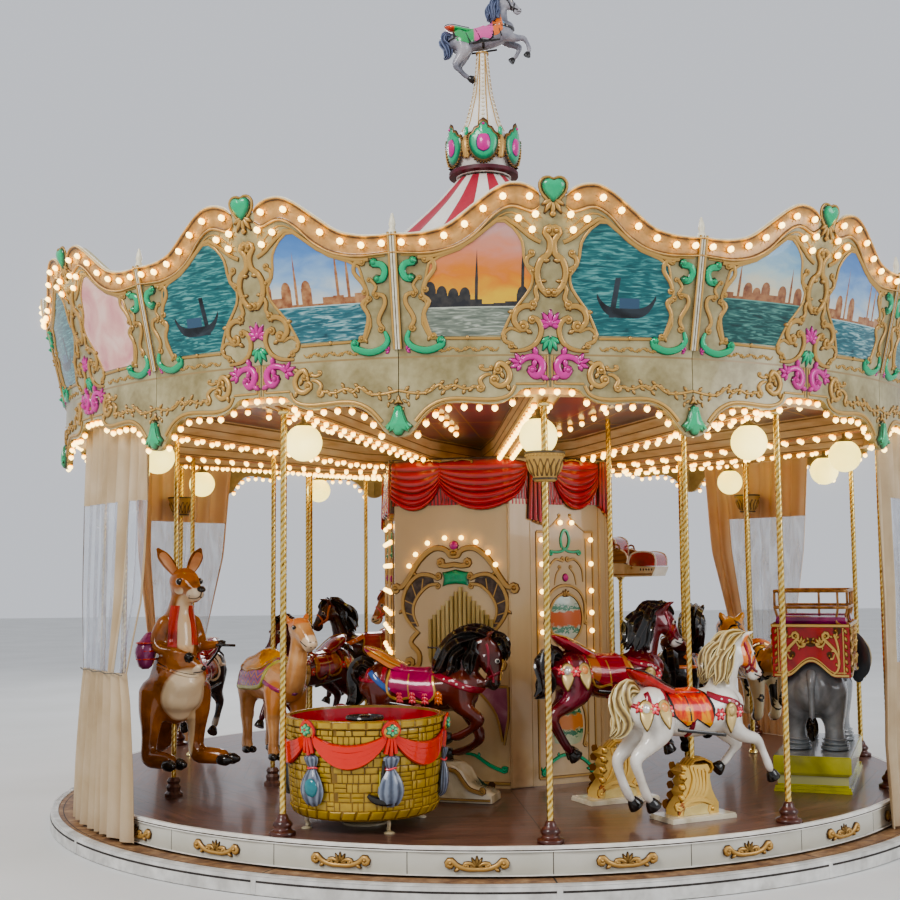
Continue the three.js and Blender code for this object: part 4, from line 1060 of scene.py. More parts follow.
ceiling_paint = Finish("ceiling_paint", "6d2a3c", Roughness=0.3, Coat_Weight=0.4)
x, y, z = ceiling_paint.axes()
bay_turn = (x.math("ARCTAN2", y) % radians(BAY_DEG) - radians(BAY_DEG / 2)) * (x * x + y * y).math("SQRT")
reach = (x * x + y * y).math("SQRT")
cloud = ceiling_paint.noise(1.7, 5, Distortion=1.2) * 0.7 + ceiling_paint.noise(7, 4) * 0.3
veil = ceiling_paint.ramp(cloud, (0.3, "3e2742"), (0.43, "5b3a63"), (0.52, "84304a"), (0.62, "a5414d"),
                          (0.72, "c58f96"), (0.82, "4f6a55"))
edging = ((reach % 0.78) < 0.016) | (abs(abs(bay_turn) - 0.12) < 0.005)
ceiling_paint.set(Base_Color=ceiling_paint.mix(edging, veil, "b98648"))
dress("ceiling", ceiling_paint)
ceiling_lamps = Bench()
for bay in range(BAYS):
    middle_row = [(r, 0.0) for r in np.arange(1.3, 2.75, 0.17)]
    for r, aside in middle_row + [(2.66, a) for a in (-0.42, -0.21, 0.21, 0.42)]:
        high = underside(hypot(r, aside)) + BEAM_TALL
        place = shift(aside, -r, high)
        for shape, finish in ((turned(BULB, 6, BULB_MARKS), lamp_glow), (turned(CUP, 6), brass_cup)):
            ceiling_lamps.add(shape, finish, lambda p: p * (1, 1, -1), place,
                              round_about(bay * BAY_DEG + BAY_DEG / 2))
ceiling_lamps.piece("ceiling_lamps", "ride", slot="ceiling_plum", crease=60)

# The rounding boards. Twelve moulded boards hang on the rim: an upright valance below the waist, and a crest
# above it that leans out and frames two painted views. Carving, glass gems and lamps are fixed on the front.
FACADE_R = 3.0
WAIST = 2.76
LEAN = 0.2375
BOARD_HALF = FACADE_R * radians(14.96)


def on_board(points):
    """Takes a place on a board, as its way along, its height and how far it stands out, to the front bay."""
    turn = points[:, 0] / FACADE_R
    out = FACADE_R + LEAN * np.maximum(0, points[:, 1] - WAIST) + points[:, 2]
    return np.stack([out * np.sin(turn), -out * np.cos(turn), points[:, 1]], 1)


def at(stops, where):
    """Reads a smooth line, given by its (way along, height) stops, at each place along."""
    line = smooth(stops, 8)
    return np.interp(where, line[:, 0], line[:, 1])


CREST = [(0.0, 3.545), (0.068, 3.553), (0.102, 3.586), (0.16, 3.606), (0.231, 3.602), (0.306, 3.561),
         (0.408, 3.483), (0.508, 3.41), (0.607, 3.38), (0.707, 3.372), (0.79, 3.377)]
HEM = [(0.0, 2.59), (0.12, 2.588), (0.158, 2.575), (0.188, 2.547), (0.249, 2.514), (0.316, 2.506),
       (0.433, 2.516), (0.539, 2.513), (0.613, 2.481), (0.67, 2.426), (0.71, 2.372), (0.756, 2.348),
       (0.79, 2.345)]


cream = Finish("board_cream", "e6dcc3", Roughness=0.3, Coat_Weight=0.25)
x, y, z = cream.axes()
grime = cream.noise(4.5, 5) * 0.75 + cream.noise(26, 3) * 0.25
aged = cream.ramp(grime, (0.3, "bdb38c"), (0.48, "a89d76"), (0.62, "8f825a"), (0.8, "655331"))
cream.set(Base_Color=cream.mix((z < WAIST + 0.004) & (z > WAIST - 0.006), aged, "9c8358"))
cream.bump(grime, 0.0015, 0.3)
white_edge = mottled("white_edge", 20, 4, (0.3, "cfc6ac"), (0.6, "e6dfc9"), Roughness=0.35)
dark_joint = mottled("board_joint", 30, 3, (0.3, "231a11"), (0.7, "4d3b29"), Roughness=0.7)
band_gold = Finish("crest_band_gold", "b8935a", Roughness=0.33, Metallic=0.15, Coat_Weight=0.3)
# Bright on the lips with a brown line inside each, and lighter down the middle than at the sides, as painted
# light from the lamps along the band.
band_tone_and_lamp_light = band_gold.depth() * 0.85 + band_gold.noise(30, 4) * 0.35 - 0.1
band_gold.shade(band_tone_and_lamp_light, (0.05, "ecd09a"), (0.3, "d2a468"), (0.55, "a3763c"), (0.9, "3f250d"))
band_gold.bump(band_gold.noise(90, 3), 0.0006)

BOARD_STEPS = np.linspace(-BOARD_HALF, BOARD_HALF, 61)
board = Bench()
board.add(slab(at(HEM, abs(BOARD_STEPS)), at(CREST, abs(BOARD_STEPS)) - 0.004, BOARD_STEPS, 4, waist=WAIST),
          cream, on_board)
board_mesh = board.mesh("rounding_board", 30)

BAND_OUTER = [(0.068, 3.553), (0.102, 3.586), (0.16, 3.606), (0.231, 3.602), (0.306, 3.561), (0.408, 3.483),
              (0.508, 3.41), (0.607, 3.38), (0.707, 3.372), (0.784, 3.377)]
BAND_INNER = [(0.063, 3.49), (0.105, 3.462), (0.177, 3.485), (0.225, 3.481), (0.287, 3.442), (0.379, 3.35),
              (0.477, 3.294), (0.59, 3.27), (0.70, 3.272), (0.784, 3.28)]
# Across the band: lips, a brown line inside each, and a middle marked lighter than the sides, as painted light
# from its lamps.
BAND_SECTION = [(0.0, -0.006, 0.9), (0.0, 0.014, 0.0), (0.05, 0.019, 0.0), (0.12, 0.007, 1.0),
                (0.18, 0.004, 0.5), (0.5, 0.0015, 0.25), (0.82, 0.004, 0.5), (0.88, 0.007, 1.0),
                (0.95, 0.016, 0.0), (1.0, 0.011, 0.4), (1.0, -0.006, 1.0)]


def ribbon(outer, inner, section, steps=4):
    """A moulded strip between two lines, its section given as (way across, height, depth in the carving)."""
    outer, inner = smooth(outer, steps), smooth(inner, steps)
    rows = [np.array([(*(a + (b - a) * t), h) for t, h, _ in section]) for a, b in zip(outer, inner)]
    marks = np.tile([mark for _, _, mark in section], len(rows))
    return np.concatenate(rows), capped(len(rows), len(section)), marks


def ray_burst(center, inner, outer, count=8):
    """Thin carved rays round a lamp."""
    rays = []
    for k in range(count):
        turn = 2 * pi * (k + 0.5) / count
        reach = outer * (1 if k % 2 else 0.78)
        along, aside = np.array([cos(turn), sin(turn)]), np.array([-sin(turn), cos(turn)])
        foot, tip = center + along * inner, center + along * reach
        points = [(*(foot + aside * 0.0028), 0), (*(foot - aside * 0.0028), 0), (*tip, 0), (*foot, 0.004)]
        rays.append((points, [(0, 1, 2), (0, 3, 1), (1, 3, 2), (2, 3, 0)], 0.0))
    return merge(*rays)


VOLUTES = [
    ([(0.02, 3.06), (0.056, 3.102), (0.072, 3.168), (0.054, 3.228), (0.016, 3.262), (0.01, 3.32),
      (0.036, 3.362)],
     0.028, (0.012, 0.026), 3),
    ([(0.094, 3.258), (0.122, 3.24), (0.123, 3.204), (0.088, 3.182)], 0.02, (0.010, 0.009), 0),
    ([(0.055, 3.119), (0.078, 3.084), (0.07, 3.04), (0.095, 3.012)], 0.02, (0.009, 0.009), -2),
    ([(0.089, 3.0), (0.135, 3.002), (0.175, 2.975), (0.184, 2.925), (0.15, 2.885)], 0.026, (0.012, 0.022), 3),
    ([(0.091, 2.945), (0.06, 2.927), (0.046, 2.878), (0.07, 2.818), (0.128, 2.785), (0.205, 2.778)], 0.024,
     (0.012, 0.0), 0),
    ([(0.15, 2.872), (0.2, 2.893), (0.238, 2.866), (0.232, 2.83), (0.195, 2.815)], 0.018, (0.0, 0.01), -2),
    ([(0.625, 3.235), (0.593, 3.244), (0.58, 3.197), (0.622, 3.139), (0.638, 3.096)], 0.02, (0.009, 0.01), 0),
    ([(0.648, 3.066), (0.612, 3.034), (0.642, 2.974), (0.622, 2.893), (0.605, 2.855)], 0.02, (0.008, 0.011), 2),
    ([(0.690, 3.081), (0.726, 3.070), (0.732, 3.03), (0.702, 2.975), (0.694, 2.94), (0.714, 2.909)], 0.02,
     (0.009, 0.012), 0),
    ([(0.66, 3.16), (0.69, 3.12), (0.672, 3.085)], 0.014, (0.007, 0.007), 0),
    ([(0.28, 2.684), (0.262, 2.716), (0.228, 2.70), (0.209, 2.658), (0.222, 2.615), (0.262, 2.598),
      (0.30, 2.622)],
     0.026, (0.014, 0.018), -4),
    ([(0.305, 2.66), (0.335, 2.655), (0.362, 2.628), (0.345, 2.594)], 0.02, (0.0, 0.015), 0),
    ([(0.30, 2.69), (0.33, 2.682), (0.358, 2.692)], 0.014, (0.006, 0.008), 2),
]
FRAME_LINES = [
    ([(0.056, 3.318), (0.109, 3.345), (0.227, 3.436), (0.302, 3.402), (0.393, 3.329), (0.485, 3.285),
      (0.591, 3.257), (0.66, 3.256)], 0.02),
    ([(0.104, 3.40), (0.17, 3.455), (0.225, 3.462), (0.29, 3.422), (0.385, 3.336), (0.48, 3.29), (0.60, 3.266),
      (0.745, 3.27)], 0.008),
    ([(0.254, 2.842), (0.42, 2.845), (0.612, 2.85)], 0.013),
    ([(0.027, 2.752), (0.027, 2.69), (0.027, 2.62), (0.028, 2.611), (0.06, 2.6095), (0.12, 2.6095),
      (0.178, 2.609)],
     0.011),
    ([(0.182, 2.60), (0.202, 2.56), (0.245, 2.537), (0.322, 2.529), (0.433, 2.536), (0.517, 2.537),
      (0.584, 2.521), (0.645, 2.484), (0.698, 2.425)], 0.017),
    ([(0.19, 2.575), (0.215, 2.548), (0.27, 2.522), (0.322, 2.518), (0.433, 2.526), (0.53, 2.524),
      (0.60, 2.498), (0.66, 2.448), (0.705, 2.392)], 0.006),
]
GREEN_SCROLLS = [
    ([(0.684, 3.232), (0.724, 3.226), (0.742, 3.196), (0.728, 3.158), (0.70, 3.15)], 0.044, (0.008, 0.006), 0),
    ([(0.552, 2.838), (0.562, 2.812), (0.631, 2.79), (0.70, 2.806), (0.735, 2.845), (0.722, 2.892)], 0.046,
     (0.008, 0.0), 0),
]
MAGENTA_SCROLLS = [
    ([(0.10, 2.676), (0.078, 2.652), (0.05, 2.662), (0.038, 2.71), (0.068, 2.746), (0.12, 2.744),
      (0.155, 2.715)],
     0.05, (0.01, 0.0), 3),
]
view_left = [(0.249, 2.856), (0.194, 2.969), (0.139, 3.041), (0.100, 3.101), (0.094, 3.161), (0.122, 3.195),
             (0.138, 3.244), (0.147, 3.32), (0.19, 3.387), (0.246, 3.43)]
view_right = [(0.616, 2.856), (0.652, 2.94), (0.624, 3.015), (0.646, 3.081), (0.622, 3.158), (0.594, 3.236),
              (0.461, 3.284), (0.341, 3.368), (0.262, 3.428)]


def across(stops, heights):
    line = smooth(stops, 8)
    return np.interp(heights, line[:, 1], line[:, 0])


carving = Bench()
carving.add(flipped(ribbon(BAND_OUTER, BAND_INNER, BAND_SECTION)), band_gold, on_board)
white_line = sweep(smooth([(u, v + 0.001) for u, v in BAND_OUTER]), arc_section(-60, 240, 5) * (1, 1, 0),
                   0.0065)
carving.add(flipped(white_line), white_edge, on_board)
gold_half = [scroll(points, width * 1.45, curls, leaves=leaves) for points, width, curls, leaves in VOLUTES]
gold_half += [sweep(smooth(points, 2), HALF_ROUND, width * 0.65) for points, width in FRAME_LINES]
heights = np.linspace(2.858, 3.42, 18)
edge = np.concatenate([np.stack([across(view_left, heights), heights], 1),
                       np.stack([across(view_right, heights), heights], 1)[::-1]])
gold_half.append(sweep(edge, HALF_ROUND, 0.0095))
gold_half.append(dome(ring_outline((0.423, 2.848), 0.013), 0.014))
for k in range(7):
    foot = 0.262 + 0.044 * k
    rise = 1 if k % 2 else -1
    gold_half.append(scroll([(foot, 2.792 - 0.008 * rise), (foot + 0.016, 2.792 + 0.009 * rise),
                             (foot + 0.04, 2.792 - 0.004 * rise)], 0.012, (0.0, 0.006), leaves=2 * rise))
GARLAND = [(0.375, 2.598), (0.438, 2.587), (0.494, 2.606), (0.539, 2.586), (0.572, 2.612), (0.629, 2.574),
           (0.70, 2.570), (0.783, 2.586)]
garland = smooth(GARLAND)
gold_half.append(sweep(garland, HALF_ROUND, 0.0085))
for k, place in enumerate(garland[1:-1]):
    gold_half.append(petal(place, 90 + (50 if k % 2 else -130) + 25 * sin(k * 2.3),
                           0.036 + 0.007 * sin(k * 1.7), 0.023, 0.5))
for place, heading in (((0.745, 2.565), -120), ((0.765, 2.54), -140), ((0.755, 2.50), -60),
                       ((0.735, 2.53), -100)):
    gold_half.append(petal(place, heading, 0.034, 0.018, 0.5))
carving.add(flipped(merge(*gold_half)), gilt, on_board)
green_half = [scroll(points, width, curls, leaves=leaves) for points, width, curls, leaves in GREEN_SCROLLS]
carving.add(flipped(merge(*green_half)), green, on_board)
carving.add(fan((0.0, 2.852), -90, 110, 5, 0.095, 0.036), green, on_board)
magenta_half = [scroll(points, width, curls, leaves=leaves) for points, width, curls, leaves in MAGENTA_SCROLLS]
magenta_half.append(fan((0.15, 2.716), 20, 170, 5, 0.07, 0.032))
magenta_half.append(fan((0.742, 2.795), 160, 100, 3, 0.04, 0.018))
carving.add(flipped(merge(*magenta_half)), magenta, on_board)
carving.add(merge(fan((0.0, 2.91), 90, 210, 7, 0.082, 0.036), dome(ring_outline((0, 2.918), 0.02), 0.016)),
            magenta, on_board)
GEM = [(0.0, 3.505), (0.03, 3.535), (0.052, 3.565), (0.058, 3.60), (0.042, 3.622), (0.02, 3.626), (0.0, 3.618)]
gem_outline = np.array(GEM + [(-u, v) for u, v in GEM[-2:0:-1]])
gem_outline = smooth(np.vstack([gem_outline, gem_outline[:1]]), 2)[:-1]
carving.add(dome(gem_outline, 0.024, 4), green, on_board, shift(0, -0.012, 0))
gem_rim = np.array([(0, 3.566)]) + (gem_outline - (0, 3.566)) * 1.14
carving.add(dome(gem_rim, 0.009, 3), white_edge, on_board, shift(0, -0.003, 0))
carving.add(merge(sweep(np.vstack([gem_rim, gem_rim[:1]]), HALF_ROUND, 0.008),
                  fan((0.0, 3.53), -90, 120, 5, 0.095, 0.032),
                  dome(ring_outline((0, 3.455), 0.017), 0.016)), gilt, on_board, shift(0, -0.006, 0))
carving.add(sweep([(0, 2.592), (0, 2.65), (0, 2.70), (0, 2.758)], HALF_ROUND, 0.0022), dark_joint, on_board)
carving.add(flipped(sweep([(0.012, 2.592), (0.012, 2.65), (0.012, 2.70), (0.012, 2.758)], HALF_ROUND, 0.005)),
            gilt, on_board)
carving_mesh = carving.mesh("board_carving", 72)

BAND_LAMPS = [(0.115, 3.537), (0.085, 3.450), (0.167, 3.43), (0.10, 3.375), (0.241, 3.537), (0.335, 3.478),
              (0.425, 3.405), (0.526, 3.352), (0.632, 3.325), (0.736, 3.328)]
HEM_LAMPS = [(0.04, 2.577), (0.12, 2.572), (0.198, 2.52), (0.291, 2.494), (0.373, 2.497), (0.453, 2.50),
             (0.535, 2.494), (0.604, 2.464), (0.655, 2.42), (0.70, 2.36)]
lamps = Bench()
for u, v in BAND_LAMPS:
    for side in (-1, 1):
        place = shift(side * u, v, 0.002)
        lamps.add(turned(BULB, 8, BULB_MARKS), lamp_glow, place, on_board)
        lamps.add(turned(CUP, 6), brass_cup, place, on_board)
        lamps.add(ray_burst(np.array([side * u, v]), 0.019, 0.046), gilt, shift(0, 0, 0.003), on_board)
for u, v in HEM_LAMPS:
    for side in (-1, 1):
        for shape, finish in ((turned(BULB, 7, BULB_MARKS), lamp_glow), (turned(CUP, 6), brass_cup)):
            lamps.add(shape, finish, lambda p: p * (1, 1, -1), shift(side * u * 0.985, -0.02, v + 0.012),
                      lambda p: on_board(p[:, [0, 2, 1]]))
lamps_mesh = lamps.mesh("board_lamps", 60)

POST_TIP = 3.488
post = Bench()
post_points = [(0, 2.80), (0, 2.95), (0, 3.15), (0, 3.30), (0, 3.385)]
post.add(slab([2.80] * 5, [3.385] * 5, np.linspace(-0.021, 0.021, 5), 4, 0.010, 0.012), white_edge, on_board)
for u in (-0.018, 0.018):
    post.add(sweep(np.array(post_points) + (u, 0), HALF_ROUND, 0.007), gilt, shift(0, 0, 0.009), on_board)
post.add(sweep(post_points, HALF_ROUND, 0.0022), dark_joint, shift(0, 0, 0.010), on_board)
post.add(turned([(0.012, 3.375), (0.024, 3.385), (0.02, 3.40), (0.014, 3.41), (0.019, 3.43), (0.014, 3.455),
                 (0.005, POST_TIP)], 14), white_edge, shift(0, -FACADE_R - LEAN * (3.40 - WAIST) + 0.02, 0))
TASSEL = [(0.0, 2.515), (0.022, 2.50), (0.034, 2.462), (0.048, 2.428), (0.078, 2.40), (0.062, 2.384),
          (0.052, 2.366), (0.034, 2.374), (0.018, 2.352), (0.0, 2.348)]
tassel_outline = np.array(TASSEL + [(-u, v) for u, v in TASSEL[-2:0:-1]])
post.add(dome(tassel_outline, 0.034, 4), green, on_board, shift(0, -0.002, 0))
for k in (-2, -1, 0, 1, 2):
    fold = [(0.006 * k, 2.50), (0.011 * k, 2.455), (0.017 * k, 2.42), (0.028 * k, 2.384)]
    post.add(sweep(smooth(fold), HALF_ROUND, np.linspace(0.004, 0.009, 10)), green, shift(0, 0, 0.024),
             on_board)
post.add(merge(*[petal((0.012 * k, 2.515), 90 + 26 * k, 0.052 - 0.006 * abs(k), 0.02, 0.5)
                 for k in (-2, -1, 0, 1, 2)]),
         gilt, shift(0, 0, 0.004), on_board)
post_mesh = post.mesh("board_post", 60)


def painted_view(name, sky, glow, land, water, crests, horizon, build, seed, boat=None):
    """A view painted on a board: sky, a far shore with domes and steeples of no particular town, and water with
    a boat on it if boat gives its place and half its length."""
    finish = Finish(name, glow[0], Roughness=0.2, Coat_Weight=0.5)
    x, _, z = finish.axes()
    cloud = finish.noise(5, 5, finish.stretched((1, 1, 2.2)), Distortion=0.6)
    height = (z - horizon).fade(0.0, 0.52) + cloud * 0.5 - 0.25
    above = finish.ramp(height, (0.05, glow[0]), (0.28, glow[1]), (0.5, sky[0]), (0.75, sky[1]), (0.95, sky[2]))
    swell = finish.noise(9, 6, finish.stretched((1.2, 1.2, 9)), Distortion=0.8)
    below = finish.ramp(swell, (0.3, water[0]), (0.5, water[1]), (0.68, crests))
    street = (x * 17 + seed).math("FLOOR")
    roof = finish.node("ShaderNodeTexWhiteNoise", {"noise_dimensions": "1D"}, street)
    spire = finish.node("ShaderNodeTexWhiteNoise", {"noise_dimensions": "1D"}, street * 3.7 + 0.5) > 0.8
    within = abs((x * 17 + seed) - street - 0.5)
    steeple = spire * (build * 0.9 * (within < 0.13) + build * 1.2 * within.fade(0.12, 0.0))
    round_top = (0.2 - within * within).math("MAXIMUM", 0).math("SQRT") * build * 0.7
    skyline = horizon + build * (roof * 0.75 + 0.1) + round_top * (roof > 0.45) + steeple
    far = finish.ramp(finish.noise(28, 4), (0.35, land[0]), (0.65, land[1]))
    picture = finish.mix(z < skyline, above, far)
    picture = finish.mix(z < horizon, picture, below)
    picture = finish.mix(abs(z - horizon) < 0.003, picture, crests)
    if boat:
        along, up = (abs(x) - boat[0]) / boat[2], z - boat[1]
        bow = along * along * along * along * boat[2] * 0.6
        hull = (up > bow) & (up < bow * 0.75 + boat[2] * 0.3) & (abs(along) < 1)
        rower = (abs(along + 0.5 - up) < 0.09) & (up > 0) & (up < boat[2] * 1.25)
        cabin = (abs(along - 0.1) < 0.34) & (up > 0) & (up < boat[2] * 0.62)
        picture = finish.mix(cabin, picture, "39566f")
        picture = finish.mix(hull | rower, picture, finish.ramp(cloud, (0.35, "10151b"), (0.65, "39444c")))
    finish.set(Base_Color=picture)
    return finish


VIEWS = [
    painted_view("view_sunset", ("d98a6a", "c99d96", "b9647a"), ("e0b53a", "d9822f"), ("2b2c30", "45423f"),
                 ("5d665c", "7c8577"), "b9beb0", 3.00, 0.12, 3.0),
    painted_view("view_lagoon", ("7fb6c4", "5d9fb5", "3f86a3"), ("d8e2d4", "a5cdd0"), ("50776f", "3d5f5c"),
                 ("134c52", "23696c"), "6fa8a3", 3.42, 0.03, 9.0, (0.40, 2.95, 0.16)),
    painted_view("view_harbour", ("5f8cc4", "4576b4", "30609f"), ("d3d3c8", "93b2d0"), ("8a5436", "b98c62"),
                 ("1c4c58", "35707a"), "a3c4c4", 3.04, 0.13, 14.0),
    painted_view("view_canal", ("6fa0c2", "5489b5", "3c70a0"), ("dccfae", "a9c2c6"), ("7c4a33", "a87750"),
                 ("143c3d", "245a57"), "669a8e", 3.08, 0.09, 22.0),
]
rose_view = Finish("view_rose_plain", "e9b6ad", Roughness=0.25, Coat_Weight=0.4)
rose_view.shade(rose_view.noise(5, 5, Distortion=0.7), (0.3, "f2d4c8"), (0.5, "e8b3a8"), (0.7, "d78f92"))
view_heights = np.linspace(2.858, 3.42, 14)


def view_panel(side):
    """The thin painted panel of one half of a board."""
    rows = []
    for v, left, right in zip(view_heights, across(view_left, view_heights), across(view_right, view_heights)):
        u = np.linspace(left, right, 6)
        near = np.stack([side * u, np.full(6, v), np.full(6, 0.003)], 1)
        rows.append(np.concatenate([near, (near - (0, 0, 0.0055))[::-1]]))
    return np.concatenate(rows), capped(len(rows), 12), 0.0


ORDER = [0, 1, 3, 2, 1, 3, 0, 2, 1, 0, 3, 2, 3, 1, 2, 0, 3, 1, 0, 2, 1, 4, 1, 2]
for i in range(BAYS):
    turn = Matrix.Rotation(radians(BAY_DEG * i), 4, "Z")
    body = set_up(f"moulded_board_{i + 1}", board_mesh, "ride", turn)
    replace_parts(body, f"rounding_board_{i + 1}")
    set_up(f"board_carving_{i + 1}", carving_mesh, "ride", turn)
    set_up(f"board_lamps_{i + 1}", lamps_mesh, "ride", turn)
    seam_turn = Matrix.Rotation(radians(BAY_DEG * i + BAY_DEG / 2), 4, "Z")
    set_up(f"board_post_{i + 1}", post_mesh, "ride", seam_turn)
    for side in (-1, 1):
        pick = ORDER[2 * i + (side > 0)]
        panel = Bench()
        panel.add(view_panel(side), rose_view if pick == 4 else VIEWS[pick], on_board)
        panel.piece(f"painted_view_{i + 1}_{'left' if side < 0 else 'right'}", "ride", turn, "board_cream")

# The roof. Striped canvas, sewn from twenty-four gores, is stretched from the rim up to the head of the king
# post.
GORES = 24
ROOF_LINE = [(2.93, 2.998), (1.8, 3.35), (1.0, 3.85), (0.5, 4.27), (0.2, 4.588)]
canvas = Finish("striped_canvas", "e9e4da", Roughness=0.55, Sheen_Weight=0.2)
x, y, z = canvas.axes()
gore = (x.math("ARCTAN2", y) + pi) * GORES / (2 * pi)
red_gore = (gore.math("FLOOR") % 2) > 0.5
seam = abs(gore.math("FRACT") - 0.5) > 0.488
fade = canvas.noise(3, 5) * 0.7 + canvas.noise(40, 2) * 0.3
white = canvas.ramp(fade, (0.3, "f2eee6"), (0.55, "e2dcd0"), (0.75, "c9c0ae"))
red = canvas.ramp(fade, (0.3, "c3213c"), (0.55, "ad1a33"), (0.75, "8d1428"))
canvas.set(Base_Color=canvas.mix(seam, canvas.mix(red_gore, white, red), "8e7f72"))
canvas.bump(canvas.noise(220, 2) * 0.2 + seam * 1.0, 0.0015, 0.5)
line = np.vstack([[(2.93, 2.7125), (2.93, 2.86)], smooth(ROOF_LINE, 6)])
STEPS_PER_GORE = 5
turn = np.linspace(0, 2 * pi, GORES * STEPS_PER_GORE, endpoint=False)
sag = np.abs(np.sin(turn * GORES / 2)) ** 0.8
rows = []
for depth, stops in ((0.0, line), (0.009, line[::-1])):
    for r, z in stops:
        slack = 0.016 * min(1.0, max(0.0, z - 3.0) * 3) * min(1.0, r / 0.8)
        ring = (r - depth) * np.stack([np.sin(turn), -np.cos(turn)], 1)
        rows.append(np.column_stack([ring * (1 - slack * sag / r)[:, None], np.full(len(turn), z) - depth * 0.5
                                     - slack * sag * 0.6]))
roof = Bench()
roof.add((np.concatenate(rows), grid_faces(len(rows), len(turn), wrap=True), 0.0), canvas)
roof_piece = roof.piece("gored_canvas_roof", "ride", slot="striped_canvas", crease=50)
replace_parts(roof_piece, "roof_tent")


# The crown and spire. A moulded white spire stands on the roof's head, ringed by six shields of green, gold and
# magenta glass, with strings of pearl beads up its sides.
crown_white = mottled("spire_white", 6, 5, (0.3, "f1eee8"), (0.6, "e2ddd2"), (0.8, "c8c0b0"), Roughness=0.35,
                      Coat_Weight=0.2)
soffit = mottled("crown_soffit", 12, 3, (0.3, "380c18"), (0.7, "641b2d"), Roughness=0.5)
pearl = mottled("pearl_beads", 60, 2, (0.3, "e3d0a8"), (0.7, "fbf5e6"), Roughness=0.2, Coat_Weight=0.6)
navy = mottled("gem_outline", 50, 2, (0.3, "1d1d44"), (0.7, "3d3d70"), Roughness=0.3)
SPIRE = [(0.205, 4.600), (0.215, 4.62), (0.235, 4.70), (0.255, 4.74), (0.255, 4.86), (0.235, 4.895),
         (0.20, 4.92), (0.165, 4.955), (0.138, 5.01), (0.118, 5.08), (0.096, 5.16), (0.076, 5.24),
         (0.061, 5.34), (0.049, 5.45), (0.041, 5.54), (0.038, 5.578)]
spire = Bench()
spire.add(turned(SPIRE, 48), crown_white)
spire.add(turned([(0.13, 4.598), (0.262, 4.612), (0.262, 4.64), (0.13, 4.65)], 48), soffit)
spire.add(turned([(0.03, 5.5785), (0.05, 5.574), (0.05, 5.584), (0.03, 5.588)], 24), gilt)
spire_line = smooth(SPIRE[7:], 3)
for k in range(6):
    for side in (-1, 1):
        rail = [(side * (0.012 + 0.16 * r), -sqrt(r * r - (0.012 + 0.16 * r) ** 2) - 0.001, z)
                for r, z in spire_line]
        spire.add(sweep(rail, ROUND, 0.0045, (0, -1, 0)), gilt, round_about(60 * k - 6))
    for z in np.arange(5.0, 5.56, 0.034):
        r = np.interp(z, spire_line[:, 1], spire_line[:, 0])
        size = 0.007 + 0.055 * r
        bead = turned([(0.2 * size, -0.9 * size), (0.9 * size, -0.4 * size), (0.9 * size, 0.4 * size),
                       (0.2 * size, 0.9 * size)], 7)
        spire.add(bead, pearl, shift(0, -r - 0.002, z), round_about(60 * k - 6))
SHIELD_HALF = [(0.0, 4.985), (0.032, 4.962), (0.040, 4.93), (0.068, 4.918), (0.088, 4.885), (0.118, 4.862),
               (0.126, 4.81), (0.112, 4.745), (0.066, 4.678), (0.0, 4.652)]
shield_outline = np.array(SHIELD_HALF + [(-u, v) for u, v in SHIELD_HALF[-2:0:-1]])
shield_outline = smooth(np.vstack([shield_outline, shield_outline[:1]]), 3)[:-1]
heart = np.array((0.0, 4.80))


def on_crown(points):
    """Takes a place on a shield, as its way along, its height and how far it stands out, to the front one."""
    out = 0.266 + points[:, 2] * 0.9 - 1.3 * points[:, 0] ** 2 + 0.14 * (4.8 - points[:, 1]) * -0.6
    return np.stack([points[:, 0], -out, points[:, 1]], 1)


def shrunk(outline, factor):
    return heart + (outline - heart) * factor


gem_hex = smooth([(0, 4.715), (0.048, 4.74), (0.062, 4.80), (0.044, 4.865), (0, 4.878), (-0.044, 4.865),
                  (-0.062, 4.80), (-0.048, 4.74), (0, 4.715)], 2)[:-1]
shields = Bench()
for k in range(6):
    turn = round_about(60 * k - 6)
    shields.add(dome(shield_outline, 0.012, 3), gilt, on_crown, turn)
    shields.add(dome(shrunk(shield_outline, 0.93), 0.022, 3), green, on_crown, turn)
    shields.add(dome(heart + (gem_hex - heart) * 1.13, 0.027, 3), navy, on_crown, turn)
    shields.add(dome(gem_hex, 0.033, 3), magenta, on_crown, turn)
    shields.add(dome(ring_outline((0, 4.935), 0.014), 0.03), magenta, on_crown, turn)
    for u, v in shield_outline[14:-12]:
        shields.add(dome(ring_outline((u * 0.97, v), 0.0085, 6), 0.018, 2), gilt, on_crown, turn)
    knob = round_about(60 * k + 24)
    shields.add(turned([(0.02, 4.70), (0.034, 4.76), (0.038, 4.82), (0.022, 4.862), (0.016, 4.868)], 14), gilt,
                shift(0, -0.252, 0), knob)
    shields.add(turned([(0.013, 4.869), (0.017, 4.882), (0.016, 4.92), (0.011, 4.932)], 12), green,
                shift(0, -0.252, 0), knob)
    shields.add(fan((0, 4.75), -90, 150, 5, 0.06, 0.022), gilt, on_crown, knob)
shields.piece("crown_shields", "ride", slot="crown_white", crease=60)
spire_piece = spire.piece("beaded_spire", "ride", slot="crown_white", crease=50)
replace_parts(spire_piece, "crown_spire")

